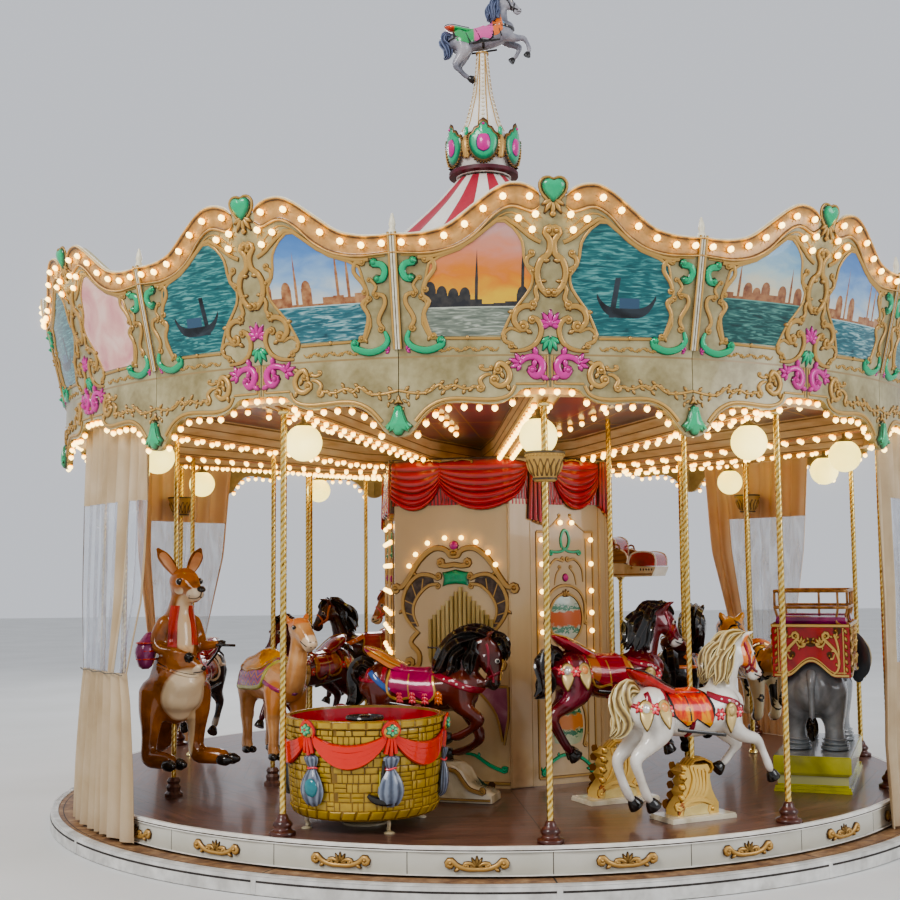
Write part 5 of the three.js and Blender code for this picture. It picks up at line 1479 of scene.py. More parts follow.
# The weather curtains. Each is a width of cream canvas with a window of clear vinyl sewn in, hung in folds from
# the canopy rim and gathered at the waist with a cord.
curtain_cream = Finish("curtain_cream", "dcc6a8", Roughness=0.85)
x, y, z = curtain_cream.axes()
sun = curtain_cream.noise(3, 5, Distortion=0.4)
canvas_shade = curtain_cream.ramp(sun, (0.3, "c9b69b"), (0.55, "bba687"), (0.8, "a48d6e"))
# The troughs of the folds are painted darker, as painted shade.
curtain_cream.set(Base_Color=curtain_cream.mix(curtain_cream.depth() * 0.7, canvas_shade, "a58a68"))
curtain_cream.bump(curtain_cream.noise(500, 2), 0.0004, 0.4)
curtain_tan = Finish("curtain_tan", "dcb48c", Roughness=0.85)
tan_shade = curtain_tan.ramp(curtain_tan.noise(3, 5, Distortion=0.4), (0.3, "fce4c8"), (0.55, "f6d4b2"),
                             (0.8, "e6be98"))
# The troughs of the folds are painted darker, as painted shade.
curtain_tan.set(Base_Color=curtain_tan.mix(curtain_tan.depth() * 0.7, tan_shade, "c99a6e"))
curtain_tan.bump(curtain_tan.noise(500, 2), 0.0004, 0.4)
vinyl = Finish("clear_vinyl", "c9cfda", Roughness=0.09, Coat_Weight=0.5)
haze = vinyl.noise(14, 5, vinyl.stretched((1, 1, 0.25)), Distortion=0.8)
vinyl.set(Base_Color=vinyl.ramp(haze, (0.3, "aeb4c4"), (0.6, "cfd4dd"), (0.8, "f0f2f5")),
          Alpha=vinyl.ramp(haze, (0.3, "6a6a6a"), (0.7, "a8a8a8")))
vinyl.bump(vinyl.noise(16, 4, vinyl.stretched((1, 1, 0.35)), Distortion=1.0), 0.012, 0.6)
tie_cord = mottled("tie_cord", 120, 2, (0.3, "4d473f"), (0.7, "8c8478"), Roughness=0.8)
CURTAIN_R, CURTAIN_TOP, CURTAIN_FOOT, CLOTH = 2.921, 2.5585, 0.1125, 0.0026


def curtain(name, shape, folds, cloth, window, strip=None, sweep_r=0.021):
    """One curtain. Shape gives its two edges, in degrees round the rim, at heights from the top; window is the
    heights between which it is clear vinyl, and strip the share of its width that stays canvas there."""
    heights, starts, ends = zip(*shape[::-1])
    bench = Bench()
    across = np.linspace(0, 1, folds * 7 + 1)
    rows, deeps = [], []
    levels = np.unique(np.concatenate([np.linspace(CURTAIN_FOOT, CURTAIN_TOP, 26), window])) if window else \
        np.linspace(CURTAIN_FOOT, CURTAIN_TOP, 26)
    for z in levels:
        first, last = np.interp(z, heights, starts), np.interp(z, heights, ends)
        drift = 0.35 * sin(z * 2.1 + folds)
        phase = 2 * pi * folds * (across + 0.03 * np.sin(2 * pi * 1.7 * across + z)) + drift
        wave = np.sin(phase) * 0.8 + 0.2 * np.sin(2.3 * phase + 1.3 * z)
        turn = np.radians(first + (last - first) * (across + 0.012 * np.cos(phase)))
        r = CURTAIN_R + sweep_r * wave
        rows.append(np.stack([r * np.sin(turn), -r * np.cos(turn), np.full(len(turn), z)], 1))
        # How far back in a fold each point lies; the cloth's colour darkens by it as painted shade.
        deeps.append(np.clip(-wave, 0, 1))
    rows = np.array(rows)
    out = rows * (1, 1, 0)
    out /= np.linalg.norm(out, axis=2)[:, :, None]
    points = np.concatenate([(rows + out * CLOTH / 2)[:, :, None], (rows - out * CLOTH / 2)[:, ::-1, None]], 1)
    count = 2 * len(across)
    bench.add((points.reshape(-1, 3), capped(len(levels), count),
               np.concatenate([deeps, np.array(deeps)[:, ::-1]], 1).ravel()),
              cloth)
    if window:
        bench.finishes.append(vinyl)
        for index, face in enumerate(bench.faces):
            if len(face) != 4:
                continue
            z = np.mean([levels[i // count] for i in face])
            u = np.mean([across[i % count] if i % count < len(across) else across[count - 1 - i % count]
                         for i in face])
            if window[0] < z < window[1] and not (strip and strip[0] < u < strip[1]) and 0.02 < u < 0.98:
                bench.marks[index] = 1
    piece = bench.piece(f"{name}_gathered", "ride", slot="curtain_cloth", crease=80)
    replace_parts(piece, name)
    return piece


FRONT_WINDOW, REAR_WINDOW = (1.07, 2.08), (0.9, 2.08)
curtain("curtain_front_left", [(CURTAIN_TOP, -66.0, -48.4), (2.08, -67.0, -48.8), (1.5, -67.5, -50.0),
                               (1.07, -66.3, -53.2), (0.9, -67.8, -52.4), (0.5, -70.2, -51.6),
                               (CURTAIN_FOOT, -71.8, -51.2)], 8, curtain_cream, FRONT_WINDOW, (0.66, 0.82))
curtain("curtain_front_right", [(CURTAIN_TOP, 46.3, 65.5), (1.5, 47.6, 65), (1.07, 47.6, 64), (0.6, 46.6, 65),
                                (CURTAIN_FOOT, 47.6, 65.8)], 7, curtain_cream, FRONT_WINDOW, (0.0, 0.3))
curtain("curtain_rear_left", [(CURTAIN_TOP, -135.6, -111.5), (1.8, -134, -112), (1.1, -130, -115),
                              (0.8, -129, -117), (CURTAIN_FOOT, -129, -119)], 8, curtain_tan, REAR_WINDOW,
        (0.82, 1.0))
curtain("curtain_rear_right", [(CURTAIN_TOP, 108.4, 131.6), (1.8, 110, 130), (1.1, 113, 126.5),
                               (0.8, 114, 125.5), (CURTAIN_FOOT, 115, 125)], 8, curtain_tan, REAR_WINDOW,
        (0.82, 1.0))
cord = Bench()
turn = np.linspace(radians(-66.6), radians(-52.9), 42)
loop = [((CURTAIN_R + 0.0265) * sin(t), -(CURTAIN_R + 0.0265) * cos(t), 1.066 + 0.004 * sin(t * 90))
        for t in turn]
cord.add(sweep(loop, ROUND, 0.0035), tie_cord)
cord.piece("curtain_waist_cord", "ride", slot="curtain_cloth", crease=60)

# The horses. Each is moulded in glass fibre in one with its saddle cloth and harness, then painted and
# varnished. The two in front rise and fall on twisted poles; the others are fixed on theirs, and one bows on a
# scrolled base.
CIRCLE = arc_section(0, 324, 10) * (1, 1, 0)
strand_turn = np.linspace(0, 2 * pi, 8, endpoint=False)
strand_ridge = np.where(np.arange(8) % 2, 0.68, 1.0)
STRAND = np.stack([np.cos(strand_turn) * strand_ridge, np.sin(strand_turn) * strand_ridge, np.arange(8) % 2], 1)
FLAT_STRAP = np.array([(-1, -0.6, 1.0), (-1, 0.5, 0.8), (-0.75, 0.85, 0.0), (0.75, 0.85, 0.0), (1, 0.5, 0.8),
                       (1, -0.6, 1.0)])


def limb(*stops, wide=1.0, section=CIRCLE, normal=(0, 1, 0)):
    """A rounded limb through its (x, y, z, radius) stops, widened along the normal by wide."""
    path = smooth(stops, 4)
    ends = []
    for place, inner in ((path[0], path[1]), (path[-1], path[-2])):
        way = place[:3] - inner[:3]
        way = way / np.linalg.norm(way)
        ends.append([[*(place[:3] + way * place[3] * out), place[3] * size]
                     for out, size in ((0.5, 0.84), (0.85, 0.4))])
    path = np.vstack([ends[0][::-1], path, ends[1]])
    return sweep(path[:, :3], section * (1, wide, 1), path[:, 3], normal)


def both(*stops, **more):
    """The same limb on the right and on the left."""
    return [limb(*[(x, side * y, z, r) for x, y, z, r in stops], **more) for side in (-1, 1)]


def flesh(limbs, grain=0.013, rounds=7, keep=0.24):
    """Grows limbs together into one smooth body, and keeps a share of its faces."""
    points, faces, _ = merge(*limbs)
    rough = bpy.data.meshes.new("rough")
    rough.from_pydata(points.tolist(), [], faces)
    holder = bpy.data.objects.new("rough", rough)
    bpy.context.scene.collection.objects.link(holder)
    grow = holder.modifiers.new("grow", "REMESH")
    grow.mode = "VOXEL"
    grow.voxel_size = grain
    ease = holder.modifiers.new("ease", "SMOOTH")
    ease.factor = 0.6
    ease.iterations = rounds
    thin = holder.modifiers.new("thin", "DECIMATE")
    thin.ratio = keep
    done = bpy.data.meshes.new_from_object(holder.evaluated_get(bpy.context.evaluated_depsgraph_get()))
    bpy.data.objects.remove(holder)
    spots = np.empty(len(done.vertices) * 3)
    done.vertices.foreach_get("co", spots)
    return spots.reshape(-1, 3), [tuple(face.vertices) for face in done.polygons], 0.0


def skin_of(shape):
    return BVHTree.FromPolygons(np.asarray(shape[0]).tolist(), shape[1])


def strap(skin, points, width, thick=0.006):
    """A raised strap that follows the skin near the points."""
    spots, outs = [], []
    for place in smooth(points, 3):
        spot, out, _, _ = skin.find_nearest(Vector(place))
        spots.append(spot)
        outs.append(out)
    spots, outs = np.array(spots), np.array(outs)
    outs[1:-1] = (outs[:-2] + outs[1:-1] + outs[2:]) / 3
    spots[1:-1] = (spots[:-2] + 2 * spots[1:-1] + spots[2:]) / 4
    side = np.cross(np.gradient(spots, axis=0), outs)
    side /= np.linalg.norm(side, axis=1)[:, None] + 1e-9
    rows = [spot + width / 2 * FLAT_STRAP[:, :1] * across + thick * FLAT_STRAP[:, 1:2] * out
            for spot, across, out in zip(spots, side, outs)]
    return np.concatenate(rows), capped(len(rows), len(FLAT_STRAP)), np.tile(FLAT_STRAP[:, 2], len(rows))


def pinned(skin, place, up=(0, 0, 1), sink=0.0):
    """Takes flat carving, as its way along, its height and how far it stands out, to a place on the skin."""
    spot, out, _, _ = skin.find_nearest(Vector(place))
    along = Vector(up).cross(out).normalized()
    rise = out.cross(along)
    frame_rows = np.array([along, rise, out])
    return lambda points: np.asarray(points) @ frame_rows + np.array(spot) - sink * np.array(out)


def laid(skin, low, high, reach, lift, steps=(15, 17), axis=-0.13):
    """A cloth or saddle laid over a back. Low and high give where it starts and ends on the back at each turn
    from the top; reach is how far it goes round, and lift how thick it is there."""
    rows, marks = [], []
    for s in np.linspace(0, 1, steps[0]):
        over, under, mark = [], [], []
        for t in np.linspace(-1, 1, steps[1]):
            turn = radians(t * np.interp(s, *reach))
            x = low(abs(turn)) + (high(abs(turn)) - low(abs(turn))) * s
            out = Vector((0, sin(turn), cos(turn)))
            foot = Vector((x, 0, axis))
            spot = skin.ray_cast(foot + out * 0.5, -out)[0] or foot + out * 0.12
            rise = lift(s, abs(turn))
            edge = min(1.0, 8 * min(s, 1 - s), 8 * (1 - abs(t)) + 0.35)
            over.append(spot + out * (0.002 + rise * edge))
            under.append(spot - out * 0.004)
            mark.append(1 - edge)
        rows.append(over + under[::-1])
        marks.append(mark + [1.0] * steps[1])
    points = np.array(rows).reshape(-1, 3)
    return points, capped(len(rows), 2 * steps[1]), np.array(marks).ravel()


def tress(stops, strands, turns=0.35, wave=0.45, phase=0.0):
    """Locks of carved hair that lie together along (x, y, z, radius) stops and wind round each other."""
    path = smooth(stops, 3)
    ahead = np.gradient(path[:, :3], axis=0)
    ahead /= np.linalg.norm(ahead, axis=1)[:, None]
    side = np.cross(ahead, (0, 1, 0))
    side /= np.linalg.norm(side, axis=1)[:, None] + 1e-9
    up = np.cross(side, ahead)
    run = np.linspace(0, 1, len(path))
    locks = []
    for k in range(strands):
        turn = 2 * pi * (k / strands + turns * run) + phase + wave * np.sin(2 * pi * (1.5 * run + 0.37 * k))
        off = 0.62 * path[:, 3] * (1 if strands > 1 else 0)
        place = path[:, :3] + off[:, None] * (np.cos(turn)[:, None] * side + np.sin(turn)[:, None] * up)
        size = path[:, 3] * (0.62 if strands > 1 else 1.0) * np.clip(6 * (1.02 - run), 0.12, 1) ** 0.6
        locks.append(sweep(place, STRAND, size, normal=(0, 1, 0)))
    return merge(*locks)


def ball(place, radius, squash=1.0):
    """A small round boss or bead."""
    profile = [(0.1, -1), (0.75, -0.68), (1, 0), (0.75, 0.68), (0.1, 1)]
    points, faces, depths = turned([(radius * r, radius * z * squash) for r, z in profile], 12)
    return points + place, faces, depths


def varnished(name, shades, patches=(), **constants):
    """Varnished paint on a figure: a mottled ground, and soft-edged rounds of other colours, each given by its
    middle, how far it reaches along x, y and z, and its colour."""
    finish = Finish(name, shades[1], Roughness=0.17, Coat_Weight=0.55, Coat_Roughness=0.06, **constants)
    mottle = finish.noise(7, 5, Distortion=0.5)
    color = finish.ramp(mottle, (0.3, shades[0]), (0.5, shades[1]), (0.75, shades[2]))
    for middle, reach, shade in patches:
        u, v, w = [(axis - m) / r for axis, m, r in zip(finish.axes(), middle, reach)]
        color = finish.mix((u * u + v * v + w * w + mottle * 0.3).fade(1.25, 1.0), color, shade)
    finish.set(Base_Color=color)
    return finish.bump(finish.noise(30, 4), 0.0012, 0.25)


hoof_black = mottled("hoof_black", 30, 4, (0.3, "0b0a09"), (0.7, "2c2722"), Roughness=0.2, Coat_Weight=0.5)
eye_white = mottled("eye_white", 90, 2, (0.3, "e5dfd3"), (0.7, "f7f3ea"), Roughness=0.15, Coat_Weight=0.5)
medal_gold = carved("medal_gold", "d9c088", "a58a4c", "5a431c", Roughness=0.3, Metallic=0.3)
medal_mirror = mottled("medal_mirror", 40, 2, (0.3, "d8d8d5"), (0.7, "f7f5ee"), Roughness=0.08, Metallic=0.5)
medal_amber = mottled("medal_amber", 40, 2, (0.3, "de8243"), (0.7, "f5b373"), Roughness=0.12, Coat_Weight=0.6)
rosette_red = carved("rosette_red", "ef5a62", "cf2a3b", "6d0f1c", Roughness=0.2, Coat_Weight=0.5)

LEG_SETS = {
    "leap": [
        [(0.19, -0.055, -0.15, 0.082), (0.26, -0.066, -0.235, 0.058), (0.335, -0.064, -0.28, 0.043),
         (0.415, -0.062, -0.302, 0.035), (0.458, -0.062, -0.37, 0.025), (0.497, -0.062, -0.455, 0.028),
         (0.512, -0.062, -0.486, 0.023)],
        [(0.19, 0.055, -0.15, 0.082), (0.255, 0.066, -0.24, 0.056), (0.315, 0.064, -0.295, 0.042),
         (0.378, 0.062, -0.334, 0.035), (0.33, 0.062, -0.385, 0.025), (0.285, 0.062, -0.43, 0.027),
         (0.262, 0.062, -0.446, 0.023)],
        [(-0.29, -0.05, -0.12, 0.115), (-0.275, -0.07, -0.205, 0.092), (-0.335, -0.068, -0.285, 0.056),
         (-0.425, -0.066, -0.36, 0.038), (-0.402, -0.066, -0.45, 0.028), (-0.362, -0.066, -0.55, 0.030),
         (-0.338, -0.066, -0.585, 0.025)],
        [(-0.29, 0.05, -0.12, 0.115), (-0.29, 0.07, -0.205, 0.092), (-0.36, 0.068, -0.29, 0.056),
         (-0.455, 0.066, -0.37, 0.038), (-0.44, 0.066, -0.46, 0.028), (-0.395, 0.066, -0.56, 0.030),
         (-0.368, 0.066, -0.595, 0.025)],
    ],
    "prance": [
        [(0.19, -0.055, -0.15, 0.082), (0.245, -0.066, -0.24, 0.058), (0.285, -0.064, -0.305, 0.043),
         (0.318, -0.062, -0.36, 0.035), (0.325, -0.062, -0.45, 0.025), (0.33, -0.062, -0.53, 0.028),
         (0.342, -0.062, -0.555, 0.023)],
        [(0.19, 0.055, -0.15, 0.082), (0.25, 0.066, -0.235, 0.056), (0.305, 0.064, -0.28, 0.042),
         (0.36, 0.062, -0.31, 0.035), (0.325, 0.062, -0.385, 0.025), (0.29, 0.062, -0.45, 0.027),
         (0.272, 0.062, -0.474, 0.023)],
        [(-0.3, -0.05, -0.12, 0.115), (-0.29, -0.07, -0.205, 0.092), (-0.36, -0.068, -0.28, 0.056),
         (-0.46, -0.066, -0.345, 0.038), (-0.425, -0.066, -0.435, 0.028), (-0.37, -0.066, -0.53, 0.030),
         (-0.342, -0.066, -0.56, 0.025)],
        [(-0.3, 0.05, -0.12, 0.115), (-0.275, 0.07, -0.205, 0.092), (-0.32, 0.068, -0.29, 0.056),
         (-0.40, 0.066, -0.37, 0.038), (-0.365, 0.066, -0.45, 0.028), (-0.31, 0.066, -0.53, 0.030),
         (-0.285, 0.066, -0.56, 0.025)],
    ],
    "bow": [
        [(0.19, -0.055, -0.15, 0.082), (0.225, -0.066, -0.215, 0.06), (0.29, -0.064, -0.265, 0.046),
         (0.345, -0.062, -0.305, 0.037), (0.29, -0.062, -0.36, 0.027), (0.21, -0.062, -0.405, 0.03),
         (0.17, -0.062, -0.41, 0.024)],
        [(0.19, 0.055, -0.15, 0.082), (0.22, 0.066, -0.24, 0.058), (0.27, 0.064, -0.33, 0.043),
         (0.315, 0.062, -0.42, 0.036), (0.26, 0.062, -0.48, 0.026), (0.18, 0.062, -0.515, 0.028),
         (0.14, 0.062, -0.52, 0.023)],
        [(-0.3, -0.05, -0.12, 0.115), (-0.29, -0.07, -0.205, 0.092), (-0.34, -0.068, -0.29, 0.056),
         (-0.40, -0.066, -0.37, 0.038), (-0.36, -0.066, -0.45, 0.028), (-0.31, -0.066, -0.53, 0.030),
         (-0.29, -0.066, -0.555, 0.025)],
        [(-0.3, 0.05, -0.12, 0.115), (-0.275, 0.07, -0.205, 0.092), (-0.32, 0.068, -0.29, 0.056),
         (-0.38, 0.066, -0.375, 0.038), (-0.34, 0.066, -0.455, 0.028), (-0.28, 0.066, -0.53, 0.030),
         (-0.26, 0.066, -0.555, 0.025)],
    ],
    "rear": [
        [(0.19, -0.055, -0.15, 0.082), (0.265, -0.066, -0.225, 0.058), (0.34, -0.064, -0.262, 0.043),
         (0.41, -0.062, -0.285, 0.035), (0.43, -0.062, -0.355, 0.025), (0.43, -0.062, -0.43, 0.028),
         (0.41, -0.062, -0.455, 0.023)],
        [(0.19, 0.055, -0.15, 0.082), (0.25, 0.066, -0.24, 0.056), (0.31, 0.064, -0.29, 0.042),
         (0.36, 0.062, -0.33, 0.035), (0.32, 0.062, -0.39, 0.025), (0.275, 0.062, -0.43, 0.027),
         (0.255, 0.062, -0.44, 0.023)],
        [(-0.29, -0.05, -0.12, 0.115), (-0.3, -0.07, -0.21, 0.092), (-0.37, -0.068, -0.285, 0.056),
         (-0.455, -0.066, -0.355, 0.038), (-0.43, -0.066, -0.435, 0.028), (-0.38, -0.066, -0.52, 0.030),
         (-0.355, -0.066, -0.545, 0.025)],
        [(-0.29, 0.05, -0.12, 0.115), (-0.28, 0.07, -0.205, 0.092), (-0.33, 0.068, -0.285, 0.056),
         (-0.40, 0.066, -0.365, 0.038), (-0.37, 0.066, -0.43, 0.028), (-0.33, 0.066, -0.50, 0.030),
         (-0.305, 0.066, -0.525, 0.025)],
    ],
}
BARREL = [(-0.385, 0, -0.095, 0.085), (-0.3, 0, -0.11, 0.13), (-0.17, 0, -0.125, 0.124),
          (-0.02, 0, -0.14, 0.134), (0.12, 0, -0.13, 0.136), (0.22, 0, -0.11, 0.13), (0.285, 0, -0.09, 0.085)]
HEADS = {
    "up": dict(
        bones=[limb((0.19, 0, -0.07, 0.112), (0.225, 0, 0.0, 0.095), (0.262, 0, 0.09, 0.078),
                    (0.295, 0, 0.17, 0.067), (0.325, 0, 0.225, 0.06), wide=0.72),
               limb((0.335, 0, 0.238, 0.055), (0.375, 0, 0.21, 0.072), (0.42, 0, 0.15, 0.056),
                    (0.455, 0, 0.1, 0.043), (0.482, 0, 0.062, 0.038), wide=0.66),
               *both((0.35, 0.02, 0.17, 0.045), (0.395, 0.022, 0.14, 0.036)),
               *both((0.40, 0.028, 0.22, 0.024), (0.43, 0.026, 0.18, 0.02)),
               *both((0.486, 0.016, 0.075, 0.022), (0.498, 0.014, 0.06, 0.018)),
               limb((0.43, 0, 0.062, 0.026), (0.458, 0, 0.036, 0.021)),
               *both((0.352, 0.038, 0.262, 0.02), (0.375, 0.046, 0.292, 0.021), (0.43, 0.044, 0.312, 0.009))],
        eye=(0.424, 0.05, 0.186), nostril=(0.5, 0.03, 0.07),
        mouth=[(0.497, 0.02, 0.046), (0.47, 0.035, 0.05), (0.447, 0.035, 0.062)],
        mane=[[(0.345, 0.018, 0.30, 0.024), (0.268, 0.028, 0.272, 0.040), (0.212, 0.04, 0.215, 0.044),
               (0.178, 0.05, 0.14, 0.042), (0.158, 0.058, 0.065, 0.034), (0.128, 0.062, 0.018, 0.012)],
              [(0.262, 0.045, 0.235, 0.030), (0.236, 0.062, 0.18, 0.032), (0.222, 0.068, 0.115, 0.028),
               (0.20, 0.076, 0.055, 0.020), (0.212, 0.082, 0.018, 0.008)],
              [(0.205, 0.02, 0.235, 0.034), (0.142, 0.03, 0.175, 0.038), (0.125, 0.035, 0.105, 0.030),
               (0.092, 0.04, 0.055, 0.012)]],
        forelock=[(0.36, 0, 0.30, 0.022), (0.40, 0, 0.288, 0.022), (0.437, 0, 0.25, 0.018),
                  (0.45, 0.01, 0.215, 0.008)],
        bridle=[[(0.345, 0.0, 0.315), (0.365, 0.05, 0.25), (0.385, 0.055, 0.18), (0.392, 0.05, 0.12),
                 (0.385, 0.0, 0.085)],
                [(0.452, 0.0, 0.165), (0.44, 0.045, 0.135), (0.43, 0.045, 0.105), (0.41, 0.0, 0.075)]],
        noseband=[(0.382, 0.055, 0.15), (0.41, 0.05, 0.11), (0.445, 0.04, 0.085), (0.465, 0.036, 0.075)],
    ),
    "bowed": dict(
        bones=[limb((0.18, 0, -0.08, 0.115), (0.22, 0, 0.0, 0.102), (0.27, 0, 0.08, 0.09),
                    (0.33, 0, 0.13, 0.08), (0.385, 0, 0.14, 0.07), wide=0.72),
               limb((0.39, 0, 0.13, 0.062), (0.415, 0, 0.075, 0.072), (0.425, 0, 0.0, 0.054),
                    (0.425, 0, -0.06, 0.043), (0.42, 0, -0.1, 0.038), wide=0.66),
               *both((0.375, 0.02, 0.06, 0.045), (0.385, 0.022, 0.01, 0.036)),
               *both((0.455, 0.028, 0.085, 0.024), (0.45, 0.026, 0.045, 0.02)),
               *both((0.44, 0.016, -0.09, 0.022), (0.44, 0.014, -0.105, 0.018)),
               limb((0.39, 0, -0.07, 0.026), (0.385, 0, -0.1, 0.021)),
               *both((0.39, 0.038, 0.185, 0.02), (0.405, 0.046, 0.215, 0.021), (0.445, 0.044, 0.235, 0.009))],
        eye=(0.455, 0.05, 0.052), nostril=(0.452, 0.03, -0.09),
        mouth=[(0.43, 0.02, -0.122), (0.405, 0.035, -0.1), (0.40, 0.035, -0.075)],
        mane=[[(0.41, 0.018, 0.205, 0.03), (0.32, 0.03, 0.225, 0.046), (0.215, 0.04, 0.18, 0.056),
               (0.14, 0.05, 0.10, 0.056), (0.095, 0.056, 0.02, 0.046), (0.06, 0.06, -0.04, 0.022)],
              [(0.32, 0.055, 0.17, 0.04), (0.295, 0.072, 0.11, 0.042), (0.285, 0.08, 0.04, 0.036),
               (0.29, 0.084, -0.03, 0.014)],
              [(0.23, 0.06, 0.13, 0.044), (0.2, 0.08, 0.06, 0.042), (0.18, 0.09, -0.01, 0.034),
               (0.17, 0.094, -0.07, 0.012)]],
        forelock=[(0.42, 0, 0.20, 0.03), (0.465, 0, 0.185, 0.036), (0.495, 0.01, 0.12, 0.036),
                  (0.49, 0.02, 0.05, 0.014)],
        bridle=[[(0.36, 0.0, 0.215), (0.395, 0.05, 0.14), (0.405, 0.055, 0.05), (0.39, 0.05, -0.02),
                 (0.365, 0.0, -0.02)],
                [(0.475, 0.0, -0.01), (0.45, 0.045, -0.03), (0.42, 0.045, -0.04), (0.385, 0.0, -0.05)]],
        noseband=[(0.41, 0.055, 0.03), (0.42, 0.05, -0.02), (0.425, 0.04, -0.06), (0.425, 0.036, -0.08)],
    ),
}
TAIL = [(-0.375, 0, -0.01, 0.034), (-0.43, 0, 0.022, 0.046), (-0.478, 0, -0.035, 0.056),
        (-0.462, 0, -0.13, 0.058), (-0.487, 0, -0.20, 0.044), (-0.545, 0, -0.24, 0.014)]
CANTLE = [(-0.16, 0, -0.01, 0.03), (-0.23, 0, 0.018, 0.034), (-0.30, 0, 0.058, 0.034), (-0.36, 0, 0.09, 0.03),
          (-0.408, 0, 0.118, 0.014)]


def hoof(leg):
    """The hoof below a leg's last two stops."""
    (x0, y0, z0, _), (x1, y1, z1, r) = leg[-2:]
    way = np.array((x1 - x0, y1 - y0, z1 - z0))
    way /= np.linalg.norm(way)
    foot = np.array((x1, y1, z1))
    stops = [(0.004, 1.05), (0.016, 1.3), (0.05, 1.72), (0.056, 1.6)]
    path = np.array([foot + way * out for out, _ in stops])
    return sweep(path, CIRCLE * (1.12, 0.95, 1), np.array([r * size for _, size in stops]), normal=(0, 1, 0))


ROUNDED_HEM = ([0, 0.06, 0.3, 0.5, 0.82, 1.0], [88, 94, 116, 101, 121, 92])
POINTED_HEM = ([0, 0.1, 0.36, 0.55, 0.86, 1.0], [92, 97, 126, 104, 130, 82])


def saddle_on(bench, skin, cloth, edge, pointed):
    """The saddle cloth, the saddle on it and the rim round its raised back."""
    bench.add(laid(skin, lambda a: -0.235 + 0.012 * a, lambda a: 0.045 + 0.024 * a,
                   POINTED_HEM if pointed else ROUNDED_HEM, lambda s, a: 0.008, (21, 19)), cloth)
    bench.add(laid(skin, lambda a: -0.21, lambda a: 0.03, ([0, 0.5, 1], [34, 26, 34]),
                   lambda s, a: 0.016 + 0.05 * max(0.0, (0.3 - s) * 2) + 0.03 * max(0.0, (s - 0.84) * 5)),
              cloth)
    bench.add(limb(*CANTLE, wide=2.7), cloth)
    rim = [(x, 2.45 * r * side, z + r * 0.8)
           for side in (-1, 1) for x, _, z, r in (CANTLE if side < 0 else CANTLE[::-1])]
    bench.add(sweep(smooth(rim, 4), ROUND, 0.0045, normal=(0, 1, 0.3)), edge)


def harness_on(bench, skin, side, look, strap_paint, edge, pointed):
    """One side's hem, breast strap, crupper, bridle and studs."""
    fold = [(-0.10, side * 0.09, -0.02), (-0.095, side * 0.132, -0.10), (-0.088, side * 0.134, -0.165)]
    bench.add(strap(skin, fold, 0.01, 0.014), edge)
    hem = [(-0.232, side * 0.03, 0.01), (-0.232, side * 0.12, -0.07), (-0.22, side * 0.14, -0.145),
           (-0.16, side * 0.12, -0.205), (-0.092, side * 0.13, -0.17), (0.0, side * 0.115, -0.215),
           (0.082, side * 0.135, -0.155), (0.062, side * 0.12, -0.07), (0.045, side * 0.03, 0.01)]
    if not pointed:
        bench.add(strap(skin, hem, 0.016, 0.011), edge)
    breast = [(0.06, side * 0.08, -0.012), (0.13, side * 0.125, -0.045), (0.22, side * 0.125, -0.085),
              (0.29, side * 0.09, -0.115), (0.345, side * 0.0, -0.125)]
    bench.add(strap(skin, breast, 0.042, 0.009), strap_paint)
    crupper = [(-0.25, side * 0.12, -0.08), (-0.34, side * 0.14, -0.075), (-0.43, side * 0.11, -0.06),
               (-0.48, side * 0.03, -0.05)]
    bench.add(strap(skin, crupper, 0.024, 0.008), strap_paint)
    for path in look["bridle"]:
        bench.add(strap(skin, [(x, side * y, z) for x, y, z in path], 0.017, 0.006), strap_paint)
    bench.add(strap(skin, [(x, side * y, z) for x, y, z in look["noseband"]], 0.015, 0.005), strap_paint)
    for x, z in ((-0.375, -0.02), (-0.25, -0.02)):
        drop = [(x, side * 0.09, 0.01), (x, side * 0.13, -0.03), (x, side * 0.14, -0.065)]
        bench.add(strap(skin, drop, 0.03, 0.007), strap_paint)
    studs = [(0.13, -0.045), (0.175, -0.065), (0.22, -0.085), (0.265, -0.103)]
    for x, z in studs:
        bench.add(dome(ring_outline((0, 0), 0.009, 8), 0.014, 3), eye_white,
                  pinned(skin, (x, side * 0.13, z)))


def tassels_on(bench, skin, side):
    """One side's blue strap and the leafy tassels that hang from it."""
    bench.add(strap(skin, [(-0.34, side * 0.12, -0.02), (-0.28, side * 0.14, -0.08),
                           (-0.21, side * 0.14, -0.13)], 0.036, 0.009), strap_blue)
    for x in (-0.155, -0.07, 0.015, 0.1):
        place = pinned(skin, (x, side * 0.15, -0.165))
        leaf = [petal((0, 0.03 - 0.022 * row), turn, 0.042, 0.022, 0.5)
                for row in range(3) for turn in (-125, -90, -55)]
        bench.add(merge(*leaf), rosette_red if int(x * 100) % 2 else strap_orange, place)


